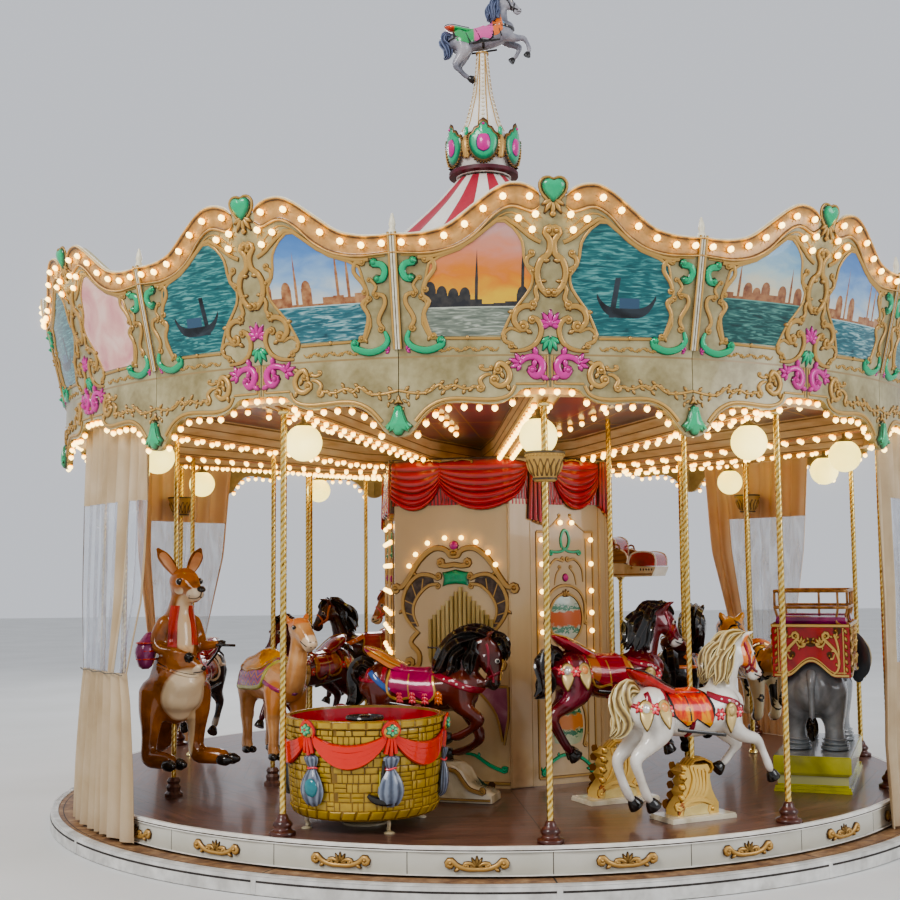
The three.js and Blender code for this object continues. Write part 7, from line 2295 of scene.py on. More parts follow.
for x in (-0.24, -0.09, 0.06, 0.16):
    for side in (-1, 1):
        seam = [(x, side * 0.03, 0.02), (x, side * 0.12, -0.08), (x, side * 0.12, -0.2)]
        bench.add(strap(skin, seam, 0.012, 0.012), edge_black)
rearing = Matrix.Rotation(radians(FINIAL_TILT), 4, "Y") @ Matrix.Scale(FINIAL_SIZE, 4)
finial_mesh = bench.mesh("carved_finial_horse", 60)
finial_mesh.transform(rearing)
finial = set_up("carved_finial_horse", finial_mesh, "ride", Matrix.Translation((0, 0, FINIAL_Z)))
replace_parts(finial, "finial_horse")
post = Bench()
post.add(turned([(0.021, 5.7305), (0.03, 5.735), (0.026, 5.75), (0.015, 5.752), (0.015, 5.77)], 16),
         crown_white)
post.piece("finial_post", "ride", None, "finial_paint", 50)

# The elephant, turned away from the front, with a howdah on its back to ride in. Body, ears and tail are
# moulded in one and painted grey; it stands on a two-tier painted wooden plinth screwed to the deck.
ELEPHANT = seat(2.32, 65, 0)
elephant_hide = varnished("elephant_hide", ("a4a6a6", "8c8f91", "63666a"), [
    ((-0.28, -0.13, 0.5), (0.14, 0.14, 0.05), "8f979c"), ((-0.28, 0.13, 0.5), (0.14, 0.14, 0.05), "8f979c"),
    ((0.47, -0.25, 1.0), (0.12, 0.2, 0.26), "4a4d50")])
howdah_red = varnished("howdah_red", ("cf2823", "bb201e", "8f1716"))
howdah_gold = carved("howdah_gold", "e3c277", "b98a42", "5a3a14", Roughness=0.26, Metallic=0.3)
cushion_magenta = varnished("cushion_magenta", ("b3127a", "9a0f69", "740b4f"))
rail_copper = mottled("rail_copper", 20, 4, (0.3, "8a5a2c"), (0.55, "bd8a4e"), (0.75, "dcb07a"), Roughness=0.32,
                      Metallic=0.35)
legs = [[(x, side * 0.11, 0.84, 0.145), (x, side * 0.128, 0.73, 0.108), (x + 0.01, side * 0.136, 0.63, 0.076),
         (x + 0.01, side * 0.138, 0.56, 0.08), (x + 0.015, side * 0.138, 0.515, 0.094)]
        for x in (-0.27, 0.26) for side in (-1, 1)]
elephant_body = flesh([
    limb((-0.36, 0, 0.86, 0.15), (-0.26, 0, 0.88, 0.215), (-0.1, 0, 0.9, 0.225), (0.1, 0, 0.9, 0.225),
         (0.3, 0, 0.92, 0.2), (0.4, 0, 0.98, 0.16)),
    limb((0.4, 0, 1.05, 0.15), (0.5, 0, 1.1, 0.165), (0.58, 0, 1.07, 0.14), (0.64, 0, 0.97, 0.09),
         (0.68, 0, 0.87, 0.066), (0.715, 0, 0.76, 0.054), (0.74, 0, 0.66, 0.044), (0.745, 0, 0.6, 0.036)),
    *both((0.47, 0.06, 1.18, 0.08), (0.5, 0.06, 1.2, 0.06)),
    *[limb(*leg) for leg in legs]], 0.018, 7, 0.32)
elephant = Bench()
elephant.add(elephant_body, elephant_hide)
for side in (-1, 1):
    flap = [(0.47, side * 0.12, 1.11, 0.07), (0.44, side * 0.19, 1.12, 0.115),
            (0.42, side * 0.255, 1.06, 0.125), (0.42, side * 0.285, 0.97, 0.10),
            (0.43, side * 0.275, 0.90, 0.05)]
    elephant.add(limb(*flap, wide=0.13, normal=(1, 0, 0)), elephant_hide)
    hem = [(0.455, side * 0.16, 1.215), (0.43, side * 0.27, 1.195), (0.41, side * 0.36, 1.11),
           (0.405, side * 0.38, 1.0), (0.42, side * 0.325, 0.89)]
    elephant.add(sweep(smooth(hem, 4), ROUND, 0.0075), base_cream)
    tusk = [(0.63, side * 0.075, 0.97, 0.026), (0.7, side * 0.1, 0.9, 0.02), (0.77, side * 0.105, 0.9, 0.008)]
    elephant.add(limb(*tusk), base_cream)
    elephant.add(ball((0.585, side * 0.118, 1.11), 0.016), hoof_black)
for leg in legs:
    x, y = leg[-1][:2]
    for z, r in ((0.55, 0.084), (0.525, 0.092), (0.502, 0.1)):
        turn = np.linspace(0, 2 * pi, 17)
        elephant.add(sweep(np.stack([x + r * np.cos(turn), y + r * np.sin(turn), z + 0.003 * np.sin(3 * turn)],
                                    1), ROUND, 0.009),
                     elephant_hide)
    elephant.add(turned([(0.094, 0.4815), (0.105, 0.487), (0.105, 0.5), (0.09, 0.515)], 24), elephant_hide,
                 shift(x, y, 0))
elephant.add(limb((-0.44, 0, 0.97, 0.04), (-0.475, 0, 0.9, 0.03), (-0.482, 0, 0.78, 0.022),
                  (-0.484, 0, 0.69, 0.018)), elephant_hide)
elephant.add(tress([(-0.484, 0, 0.70, 0.022), (-0.486, 0, 0.65, 0.038), (-0.484, 0, 0.6, 0.03),
                    (-0.48, 0, 0.555, 0.012)], 5),
             black_hair)

WALL, SIDE_Y, END_X = 0.018, 0.272, (-0.412, 0.318)


def arched(half, top, foot, arch, rise, count=14):
    """The outline of a howdah wall, its lower edge arched up over the elephant."""
    t = np.linspace(-1, 1, count)
    edge = [(arch * u * 1.25, foot + rise * (0.5 + 0.5 * cos(pi * u)) ** 0.8) for u in t]
    return [(-half, top), (-half, foot), *edge, (half, foot), (half, top)]


def plate(outline, thick):
    """A flat wall of an outline, of even thickness."""
    flat = np.asarray(outline, float)
    rows = [np.column_stack([flat, np.full(len(flat), z)]) for z in (-thick / 2, thick / 2)]
    return np.concatenate(rows), capped(2, len(flat)), 0.0


def rear_wall(p):
    return np.stack([END_X[0] - p[:, 2], -p[:, 0], p[:, 1]], 1)


def front_wall(p):
    return np.stack([END_X[1] + p[:, 2], p[:, 0], p[:, 1]], 1)


REAR = arched(0.28, 1.288, 0.952, 0.135, 0.095)
for wall, move in ((REAR, rear_wall), (arched(0.28, 1.288, 0.952, 0.2, 0.16), front_wall)):
    elephant.add(plate(wall, WALL), howdah_red, move)
    for step, size in ((0.012, 0.011), (0.03, 0.005)):
        line = np.array(wall[1:-1])
        line = line + np.array([(-np.sign(u) * step if abs(u) > 0.2 else 0, step) for u, v in line])
        elephant.add(sweep(np.column_stack([line, np.full(len(line), WALL / 2)]), HALF_ROUND, size),
                     howdah_gold, move)
    elephant.add(sweep([(-0.28, 1.28, WALL / 2), (0.28, 1.28, WALL / 2)], HALF_ROUND, 0.013), howdah_gold, move)
for side in (-1, 1):
    wall = arched(0.365, 1.288, 0.952, 0.2, 0.05)
    flank = lambda p, side=side: np.stack([-0.047 - side * p[:, 0] * -1, side * (SIDE_Y + p[:, 2]), p[:, 1]], 1)
    elephant.add(plate(wall, WALL), howdah_red, flank)
    line = np.array(wall[1:-1]) + (0, 0.012)
    elephant.add(sweep(np.column_stack([line, np.full(len(line), WALL / 2)]), HALF_ROUND, 0.011), howdah_gold,
                 flank)
    elephant.add(sweep([(-0.365, 1.28, WALL / 2), (0.365, 1.28, WALL / 2)], HALF_ROUND, 0.013), howdah_gold,
                 flank)
    for u in (-0.3, -0.22, 0.22, 0.3, -0.1, 0.1):
        for v in (1.05, 1.13, 1.21):
            elephant.add(scroll([(u - 0.03, v - 0.05), (u + 0.01, v - 0.03), (u + 0.02, v), (u, v + 0.015)],
                                0.022, (0.0, 0.014), leaves=2),
                         howdah_gold, lambda p, flank=flank: flank(p + (0, 0, WALL / 2)))
    for k in range(7):
        elephant.add(petal((0, 0), 60 + 60 * (k % 2), 0.06, 0.03, 0.5), howdah_gold,
                     lambda p, k=k, side=side, flank=flank: flank(p + (side * 0.34 * -1, 0.98 + 0.04 * k,
                                                                       WALL / 2)))
on_rear = lambda p: rear_wall(p + (0, 0, WALL / 2))
for turn in (-1, 1):
    tree = merge(
        scroll([(0.155, 0.97), (0.19, 1.0), (0.20, 1.06), (0.175, 1.12), (0.13, 1.165), (0.09, 1.2)], 0.03,
               (0.0, 0.026), leaves=4),
        scroll([(0.195, 1.05), (0.20, 1.12), (0.185, 1.19), (0.165, 1.235)], 0.026, (0.0, -0.03)),
        scroll([(0.17, 1.1), (0.155, 1.07), (0.13, 1.075)], 0.02, (0.0, -0.018)),
        scroll([(0.11, 1.19), (0.085, 1.15), (0.05, 1.15), (0.035, 1.18)], 0.024, (0.0, -0.026), leaves=3),
        fan((0.075, 1.16), 120, 100, 4, 0.06, 0.028), fan((0.18, 1.2), 70, 90, 3, 0.05, 0.024),
        sweep([(0.235, 0.975, 0), (0.235, 1.12, 0), (0.235, 1.268, 0)], HALF_ROUND, 0.007))
    flip = (turn, 1, 1)
    elephant.add((tree[0] * flip, tree[1], tree[2]), howdah_gold, on_rear)
    for k in range(6):
        leaf = petal((0.262, 0.985 + 0.048 * k), 115, 0.045, 0.028, 0.5)
        elephant.add((leaf[0] * flip, leaf[1], leaf[2]), howdah_gold, on_rear)
floor_shape = plate([(-0.40, -0.262), (0.306, -0.262), (0.306, 0.262), (-0.40, 0.262)], 0.02)
elephant.add(floor_shape, howdah_red, shift(0, 0, 1.14))
for low_x, high_x in ((-0.395, -0.2), (0.11, 0.3)):
    seat_path = [(x, 0, 1.285 + 0.012 * sin((x - low_x) / (high_x - low_x) * pi))
                 for x in np.linspace(low_x + 0.02, high_x - 0.02, 7)]
    cushion_section = np.array([(-0.045, -0.25, 0), (-0.045, 0.25, 0), (0.02, 0.262, 0), (0.034, 0.2, 0),
                                (0.036, 0, 0), (0.034, -0.2, 0), (0.02, -0.262, 0)])
    elephant.add(sweep(seat_path, cushion_section * (-1, 1, 1), 1.0, normal=(0, 1, 0)), cushion_magenta)
for z, grow in ((1.5, 1.0), (1.395, 1.0)):
    ring = [(-0.385, -0.15), (-0.385, -0.245), (-0.37, -0.262), (-0.3, -0.266), (0.23, -0.266), (0.3, -0.255),
            (0.315, -0.2), (0.318, 0.0), (0.315, 0.2), (0.3, 0.255), (0.23, 0.266), (-0.3, 0.266),
            (-0.37, 0.262), (-0.385, 0.245), (-0.385, 0.15)]
    rail = np.array([(*spot, z) for spot in ring + ring[:1]])
    elephant.add(sweep(rail, ROUND, 0.011), rail_copper)
for x, y in ((-0.385, -0.2), (-0.385, 0.2), (-0.33, -0.265), (-0.33, 0.265), (-0.05, -0.266), (-0.05, 0.266),
             (0.25, -0.262), (0.25, 0.262), (0.317, 0.0)):
    post = [(x, y, 1.28), (x * 0.96, y * 0.93, 1.32), (x, y, 1.39), (x, y, 1.5)]
    elephant.add(sweep(smooth(post, 3), ROUND, 0.0095), rail_copper)
    elephant.add(turned([(0.018, 1.283), (0.02, 1.288), (0.012, 1.298), (0.006, 1.3)], 12), rail_copper,
                 shift(x, y, 0))
ELEPHANT_SLIM = 0.86
elephant.points = [p * (1, ELEPHANT_SLIM, 1) for p in elephant.points]
elephant_piece = elephant.piece("carved_elephant_and_howdah", "ride", ELEPHANT, "elephant_grey", 50)
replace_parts(elephant_piece, "elephant")

plinth_lime = Finish("plinth_lime_paint", "b4b030", Roughness=0.22, Coat_Weight=0.5)
x, y, z = plinth_lime.axes()
worn = plinth_lime.noise(6, 5, Distortion=0.5)
shade = plinth_lime.ramp(worn, (0.3, "c6c22c"), (0.55, "b0ac22"), (0.8, "8f8c22"))
shade = plinth_lime.mix((z - 0.3).fade(0.0, 0.004) * (0.355 - z).fade(0.0, 0.004), shade, "c3c487")
shade = plinth_lime.mix((-0.262 - y + worn * 0.02).fade(0.0, 0.01), shade, "c7a0b4")
plinth_lime.set(Base_Color=plinth_lime.mix((z - 0.4785).fade(0.0, 0.001), shade, "a9adac"))
plinth = Bench()
for low, high, half_x, half_y in ((0.2545, 0.272, 0.6, 0.275), (0.2725, 0.292, 0.592, 0.268),
                                  (0.2925, 0.36, 0.57, 0.25), (0.3605, 0.372, 0.588, 0.265),
                                  (0.3725, 0.472, 0.6, 0.275), (0.472, 0.4795, 0.594, 0.269)):
    corners = np.array([(-half_x, -half_y), (half_x, -half_y), (half_x, half_y), (-half_x, half_y)])
    rows = [np.column_stack([corners, np.full(4, z)]) for z in (low, high)]
    plinth.add((np.concatenate(rows), capped(2, 4), 0.0), plinth_lime)
plinth.points = [p * (1, ELEPHANT_SLIM, 1) for p in plinth.points]
plinth_piece = plinth.piece("two_tier_plinth", "ride", ELEPHANT, "plinth_lime", 50)
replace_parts(plinth_piece, "elephant_plinth")

# The tiger, moulded in glass fibre and painted with black stripes. It strides round on its own twisted pole.
tiger_coat = Finish("tiger_coat", "d99a2e", Roughness=0.18, Coat_Weight=0.55, Coat_Roughness=0.06)
x, y, z = tiger_coat.axes()
warp = tiger_coat.noise(6, 4, Distortion=0.8)
band = abs((x * 8.5 + warp * 2.2 + abs(y) * 2.5) % 1.0 - 0.5)
fur = tiger_coat.ramp(warp, (0.3, "e6ac3c"), (0.55, "d48f26"), (0.8, "b06f1b"))
fur = tiger_coat.mix((-0.235 - z + warp * 0.1).fade(0.0, 0.05), fur, "e8d9b6")
tiger_coat.set(Base_Color=tiger_coat.mix((0.13 - band).fade(0.0, 0.03), fur, "17120d"))
tiger_coat.bump(tiger_coat.noise(50, 4), 0.0012, 0.3)
tiger_legs = [[(x, side * 0.07, -0.14, 0.098), (x + swing / 2, side * 0.072, -0.26, 0.07),
               (x + swing, side * 0.07, -0.36, 0.05), (x + swing, side * 0.07, -0.45, 0.042),
               (x + swing + 0.015, side * 0.07, -0.51, 0.044), (x + swing + 0.06, side * 0.07, -0.525, 0.04)]
              for x, side, swing in ((0.23, 1, 0.06), (0.23, -1, -0.03), (-0.23, 1, -0.04), (-0.23, -1, -0.04))]
tiger_body = flesh([
    limb((-0.33, 0, -0.12, 0.1), (-0.22, 0, -0.13, 0.14), (0, 0, -0.14, 0.145), (0.2, 0, -0.11, 0.145),
         (0.3, 0, -0.05, 0.1)),
    limb((0.25, 0, -0.06, 0.1), (0.33, 0, 0.06, 0.112), (0.41, 0, 0.09, 0.105), (0.47, 0, 0.06, 0.075),
         (0.5, 0, 0.045, 0.06)),
    *both((0.36, 0.06, 0.03, 0.055), (0.42, 0.05, 0.02, 0.05)),
    *both((0.335, 0.062, 0.16, 0.032), (0.33, 0.088, 0.2, 0.03), (0.33, 0.095, 0.22, 0.014)),
    *[limb(*leg) for leg in tiger_legs],
    limb((-0.29, 0, -0.08, 0.05), (-0.42, 0, 0.0, 0.036), (-0.5, 0, -0.05, 0.034), (-0.525, 0, -0.16, 0.034),
         (-0.51, 0, -0.29, 0.035), (-0.515, 0, -0.4, 0.032))], 0.015, 5, 0.5)
tiger_skin = skin_of(tiger_body)
tiger = Bench()
tiger.add(tiger_body, tiger_coat)
tiger.add(laid(tiger_skin, lambda a: -0.2, lambda a: 0.1, ([0, 0.5, 1], [70, 80, 66]), lambda s, a: 0.012,
               (18, 21)), cloth_red)
tiger.add(laid(tiger_skin, lambda a: -0.17, lambda a: 0.07, ([0, 0.5, 1], [40, 32, 40]),
               lambda s, a: 0.022 + 0.05 * max(0.0, (0.3 - s) * 2)), strap_orange)
for side in (-1, 1):
    hem = [(-0.2, side * 0.02, 0.01), (-0.2, side * 0.13, -0.1), (-0.05, side * 0.14, -0.13),
           (0.1, side * 0.13, -0.1), (0.1, side * 0.02, 0.02)]
    tiger.add(strap(tiger_skin, hem, 0.018, 0.016), edge_gold)
    tiger.add(ball((0.478, side * 0.05, 0.1), 0.015), hoof_black)
    tiger.add(strap(tiger_skin, [(0.55, 0, 0.02), (0.53, side * 0.04, 0.005), (0.5, side * 0.06, 0.02)], 0.007,
                    0.004), hoof_black)
tiger.add(ball((0.553, 0, 0.06), 0.02), rosette_red)
tiger_piece = tiger.piece("carved_tiger", "ride", seat(2.05, 97, 1.08), "tiger_paint", 60)
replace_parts(tiger_piece, "tiger")
fixed_pole("tiger_twisted_pole", 2.05, 97, DECK_TOP + 0.001, pole_top(2.05, 97))

# The gondola. Its glass-fibre hull is painted cream outside, with scrolled wooden sides and two red seats, and
# hangs level between two twisted poles.
GONDOLA = seat(2.3, 149.5, 0)
hull_cream = varnished("hull_cream", ("e9dfc9", "d8c8a6", "b39a70"))
seat_red = varnished("seat_red", ("c0141d", "a50f19", "780a12"))
scroll_wood = Finish("scroll_wood", "96642f", Roughness=0.3, Coat_Weight=0.4)
grain = scroll_wood.noise(4, 5, scroll_wood.stretched((1, 6, 9)), Distortion=0.6)
scroll_wood.shade(grain, (0.25, "b9853f"), (0.5, "94602b"), (0.75, "5f3a18"))
HULL = [(-0.635, 1.668), (-0.60, 1.586), (-0.3, 1.581), (0.3, 1.581), (0.56, 1.64), (0.675, 1.84), (0.6, 1.80),
        (0.45, 1.74), (0.2, 1.715), (-0.3, 1.715), (-0.42, 1.675)]
gondola = Bench()
across = lambda p: np.stack([p[:, 0], -p[:, 2], p[:, 1]], 1)
gondola.add(plate(HULL, 0.40), hull_cream, across)
SCROLL_SIDE = [(-0.37, 1.70), (-0.38, 1.745), (-0.36, 1.79), (-0.31, 1.82), (-0.24, 1.822), (-0.12, 1.80),
               (0.05, 1.795), (0.2, 1.83), (0.33, 1.90), (0.46, 1.93), (0.56, 1.915), (0.52, 1.86),
               (0.44, 1.79), (0.3, 1.73), (0.1, 1.705)]
for side in (-1, 1):
    flank = lambda p, side=side: np.stack([p[:, 0], side * (0.192 + p[:, 2]), p[:, 1]], 1)
    gondola.add(plate(SCROLL_SIDE, 0.03), scroll_wood, flank)
    outer = lambda p, flank=flank: flank(p + (0, 0, 0.015))
    gondola.add(scroll([(0.45, 1.90), (0.25, 1.835), (0.05, 1.775), (-0.15, 1.785), (-0.30, 1.80)], 0.018,
                       (0.0, 0.036)), scroll_wood, outer)
    gondola.add(scroll([(0.35, 1.80), (0.15, 1.745), (-0.1, 1.74), (-0.22, 1.75)], 0.014), scroll_wood, outer)
    rim = [(u, v, 0.0) for u, v in SCROLL_SIDE[:12]]
    gondola.add(sweep(smooth(rim, 3), ROUND, 0.009), eye_white, flank)
    hull_side = lambda p, side=side: np.stack([p[:, 0], side * (0.2 + p[:, 2]), p[:, 1]], 1)
    for u in (-0.60, -0.575, -0.55, -0.525, -0.50):
        gondola.add(dome(ring_outline((u, 1.645), 0.006, 8, 1.9), 0.004, 2), hoof_black, hull_side)
    for u in (-0.42, -0.2, 0.05, 0.3):
        gondola.add(dome(ring_outline((u, 1.66), 0.013, 10), 0.008, 3, 0.4), scroll_wood, hull_side)
    gondola.add(sweep([(-0.6, side * 0.2, 1.607), (-0.3, side * 0.2, 1.602), (0.3, side * 0.2, 1.602),
                       (0.54, side * 0.2, 1.655)],
                      ROUND, 0.006), scroll_wood)
SEAT_WIDTH = 0.34
for low_x, high_x, foot, head in ((-0.625, -0.385, 1.675, 1.80), (-0.27, -0.10, 1.72, 1.935),
                                  (0.0, 0.16, 1.72, 1.945)):
    shape = smooth([(low_x, foot), (low_x, head - 0.06), (low_x + 0.03, head - 0.015),
                    ((low_x + high_x) / 2, head), (high_x - 0.03, head - 0.02), (high_x, head - 0.08),
                    (high_x, foot)], 3)
    gondola.add(plate(shape, SEAT_WIDTH), seat_red, across)
    for y in (-SEAT_WIDTH / 2, SEAT_WIDTH / 2):
        piping = np.column_stack([shape[:, 0], np.full(len(shape), y), shape[:, 1]])
        gondola.add(sweep(piping, ROUND, 0.008), eye_white)
gondola.add(plate([(-0.25, 1.70), (0.3, 1.70), (0.3, 1.76), (-0.25, 1.76)], 0.33), seat_red, across)
gondola_piece = gondola.piece("scrolled_gondola", "ride", GONDOLA, "gondola_red", 45)
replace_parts(gondola_piece, "gondola")
for x in (-0.25, 0.25):
    bench = Bench()
    bench.add(twisted(DECK_TOP + 0.001, 1.6, POLE_R, 0.011, 12), brass)
    bench.add(turned([(0.02, 1.55), (0.04, 1.575), (0.04, 1.6)], 16), brass)
    bench.piece(f"gondola_pole_{1 if x < 0 else 2}", "ride", GONDOLA @ Matrix.Translation((x, 0, 0)),
                "gondola_red", 60)

# The turning balloon basket: a round tub of moulded glass fibre, its side cast like wickerwork and hung with
# red swags, rosettes and sandbags. It stands on a cast column with four feet, and the riders turn it by the
# wheel inside.
BASKET = seat(2.32, -24, 0)
wicker = Finish("wicker_yellow", "c0962a", Roughness=0.24, Coat_Weight=0.45, Coat_Roughness=0.12)
wear_and_groove_darkening = wicker.depth() * 0.5 + wicker.noise(26, 4, Distortion=0.4) * 0.45 - 0.12
wicker.shade(wear_and_groove_darkening, (0.0, "b99a35"), (0.3, "a27f24"), (0.62, "806018"), (0.95, "50380f"))
wicker.bump(wicker.noise(60, 4), 0.001, 0.3)
lining_red = varnished("lining_red", ("c9242f", "b01c28", "851420"))
swag_red = carved("swag_red", "dd2f17", "c01f10", "76100a", Roughness=0.15, Coat_Weight=0.6)
flower_green = carved("flower_green", "6fc08f", "2f9468", "0c4a33", Roughness=0.2, Coat_Weight=0.4)
bag_grey = carved("bag_grey", "828b9b", "545d6e", "1c2028", Roughness=0.24, Coat_Weight=0.45)
bag_teal = varnished("bag_teal", ("3f9aa0", "2b7f88", "1d5c66"))
OUTER = [(0.38, 0.327), (0.406, 0.37), (0.425, 0.6), (0.434, 0.74), (0.436, 0.80)]


def tub(height):
    return np.interp(height, *zip(*[(z, r) for r, z in OUTER]))


def bent(points):
    """Takes a place on the side of the tub, as its way round, its height and how far it stands out."""
    out = tub(points[:, 1]) + points[:, 2]
    turn = points[:, 0] / 0.43
    return np.stack([out * np.sin(turn), -out * np.cos(turn), points[:, 1]], 1)


def block(middle, height, wide, tall, stand=0.008):
    """One raised block of the weave, softly rounded, with its gaps deeper in colour."""
    half_w, half_t = wide / 2, tall / 2
    rows = []
    for shrink, out, mark in ((1.0, -0.002, 1.0), (0.94, stand * 0.75, 0.35), (0.72, stand, 0.0)):
        rows += [(middle + u * half_w * shrink, height + v * half_t * shrink, out, mark)
                 for u, v in ((-1, -1), (1, -1), (1, 1), (-1, 1))]
    rows = np.array(rows)
    faces = [(4 * k + i, 4 * k + (i + 1) % 4, 4 * k + 4 + (i + 1) % 4, 4 * k + 4 + i) for k in range(2)
             for i in range(4)]
    return rows[:, :3], faces + [(8, 9, 10, 11), (3, 2, 1, 0)], rows[:, 3]


basket = Bench()
shell = [(0.386, 0.331), (0.412, 0.372), (0.424, 0.6), (0.43, 0.74), (0.432, 0.80), (0.436, 0.812)]
profile = shell + [(0.449, 0.818), (0.4495, 0.84), (0.442, 0.857), (0.43, 0.8615), (0.42, 0.858),
                   (0.4185, 0.846), (0.408, 0.76), (0.388, 0.6), (0.372, 0.4), (0.365, 0.392), (0.04, 0.392),
                   (0.038, 0.331)]
points, faces, depths = turned(profile, 56)
basket.add((points, faces, 0.95), wicker)
ring_count = 30
for k in range(ring_count):
    turn = 2 * pi * 0.43 * (k + 0.5) / ring_count
    basket.add(block(turn, 0.838, 2 * pi * 0.43 / ring_count * 0.94, 0.036, 0.019), wicker, bent)
weave = random.Random(7)
level, course = 0.385, 0
while level < 0.80:
    tall = weave.choice((0.034, 0.05, 0.03))
    turn = 0.02 * (course % 2)
    while turn < 2 * pi * 0.43 - 0.02:
        wide = weave.choice((0.036, 0.072, 0.08, 0.05)) if tall < 0.045 else weave.choice((0.03, 0.075))
        wide = min(wide, 2 * pi * 0.43 - turn)
        if wide > 0.03 and tall > 0.045 and weave.random() < 0.5:
            for half in (0.25, 0.75):
                basket.add(block(turn + wide / 2, level + tall * half, wide * 0.95, tall * 0.46), wicker, bent)
        else:
            basket.add(block(turn + wide / 2, level + tall / 2, wide * 0.94, tall * 0.93), wicker, bent)
        turn += wide
    level += tall
    course += 1
for k in range(34):
    turn = 2 * pi * 0.43 * k / 34
    slab_points, slab_faces, marks = block(0, 0.362, 2 * pi * 0.43 / 34 * 0.93, 0.048, 0.014)
    slab_points[:, 0] += turn + (slab_points[:, 1] - 0.36) * 0.35
    basket.add((slab_points, slab_faces, marks), wicker, bent)
inner_wall = [(0.4165, 0.8465), (0.409, 0.77), (0.39, 0.6), (0.374, 0.4), (0.368, 0.396), (0.05, 0.396),
              (0.05, 0.3945), (0.37, 0.3945), (0.376, 0.4), (0.392, 0.6), (0.411, 0.77), (0.418, 0.8465)]
basket.add(turned(inner_wall + inner_wall[:1], 56), lining_red)

ROSETTES = [41 + 60 * k for k in range(6)]
arc_m = radians(60) * 0.43
for deg in ROSETTES:
    start = radians(deg) * 0.43
    for fold, (top_in, drop) in enumerate(((0.0, 0.07), (0.006, 0.096), (0.012, 0.12), (0.016, 0.14))):
        t = np.linspace(0, 1, 17)
        u = start + 0.022 + (arc_m - 0.044) * t
        z = 0.785 - top_in - drop * np.sin(pi * t) ** 0.75
        out = 0.010 + 0.008 * np.sin(pi * t)
        path = np.stack([u, z, out], 1)
        size = 0.012 + 0.014 * np.sin(pi * t)
        basket.add(sweep(path, HALF_ROUND * (1.0, 0.85, 1), size), swag_red, bent)
    for u, length in ((-0.018, 0.11), (0.0, 0.125), (0.018, 0.11)):
        tail = np.array([(start + u * 0.4, 0.79, 0.02), (start + u, 0.74, 0.022),
                         (start + u * 1.5, 0.80 - length, 0.016)])
        basket.add(sweep(smooth(tail, 4), HALF_ROUND, np.linspace(0.008, 0.015, len(smooth(tail, 4)))),
                   swag_red, bent)
    loop = [(start - 0.03, 0.775, 0.016), (start - 0.04, 0.815, 0.022), (start - 0.015, 0.853, 0.03),
            (start + 0.015, 0.853, 0.03), (start + 0.04, 0.815, 0.022), (start + 0.03, 0.775, 0.016)]
    basket.add(sweep(smooth(loop, 3), HALF_ROUND, 0.013), swag_red, bent)
    place = lambda p, start=start: bent(p + (start, 0.812, 0.028))
    basket.add(dome(ring_outline((0, 0), 0.043, 20), 0.014, 4, 0.4), edge_gold, place)
    basket.add(merge(*[petal((0, 0), 60 * k + 30, 0.035, 0.03, 0.45) for k in range(6)]), flower_green,
               lambda p, place=place: place(p + (0, 0, 0.008)))
    basket.add(dome(ring_outline((0, 0), 0.009, 10), 0.024, 3), rosette_red, place)

BAGS = [(41, "scoop"), (-16, "teal"), (101, "long"), (161, "plain"), (221, "teal"), (281, "plain")]
for deg, kind in BAGS:
    start = radians(deg) * 0.43
    wide = 0.045 if kind == "long" else 0.068
    stops = [(start, 0.415, 0.012, 0.02), (start, 0.435, 0.03, wide * 0.75), (start, 0.49, 0.034, wide),
             (start, 0.55, 0.03, wide * 0.8), (start, 0.595, 0.022, wide * 0.42),
             (start, 0.612, 0.02, wide * 0.32), (start, 0.635, 0.024, wide * 0.5),
             (start, 0.668, 0.028, wide * 0.62), (start, 0.678, 0.03, wide * 0.35)]
    path = smooth(stops, 3)
    turn = np.linspace(0, 2 * pi, 19)[:-1]
    pleat = 1 + 0.07 * np.cos(9 * turn)
    section = np.stack([np.cos(turn) * pleat, np.sin(turn) * pleat * 0.55, (1 - np.cos(9 * turn)) * 0.3], 1)
    basket.add(sweep(path[:, :3], section, path[:, 3]), bag_grey, bent)
    tie = [(start + 0.03 * cos(t), 0.612 + 0.004 * sin(2 * t), 0.02 + 0.018 * sin(t))
           for t in np.linspace(0, 2 * pi, 13)]
    basket.add(sweep(tie, ROUND, 0.005), rosette_red, bent)
    if kind == "teal":
        face = lambda p, start=start: bent(p + (start + 0.012, 0.512, 0.064))
        basket.add(dome(ring_outline((0.004, 0), 0.038, 20, 1.3), 0.016, 4), bag_teal, face)
        mark = [(-0.012, 0.024), (0.012, 0.03), (0.016, 0.014), (-0.006, 0.0), (-0.012, -0.016), (0.01, -0.026)]
        basket.add(sweep(smooth(mark, 4), HALF_ROUND, 0.004), edge_gold, face, )
    if kind == "scoop":
        blade = [(start - 0.12, 0.475, 0.02, 0.010), (start - 0.08, 0.45, 0.034, 0.02),
                 (start - 0.03, 0.435, 0.045, 0.017), (start + 0.02, 0.435, 0.055, 0.008)]
        blade = smooth(blade, 4)
        basket.add(sweep(blade[:, :3], ROUND * (1, 0.6, 1), blade[:, 3]), hoof_black, bent)
        handle = [(start - 0.05, 0.46, 0.03), (start - 0.045, 0.56, 0.028), (start - 0.04, 0.655, 0.03)]
        basket.add(sweep(smooth(handle, 3), ROUND, 0.008), hoof_black, bent)
        basket.add(sweep([(start - 0.062, 0.46, 0.026), (start - 0.056, 0.6, 0.02)], ROUND, 0.004), lime_edge,
                   bent)
basket_piece = basket.piece("wickerwork_tub", "basket", BASKET, "basket_yellow", 45)

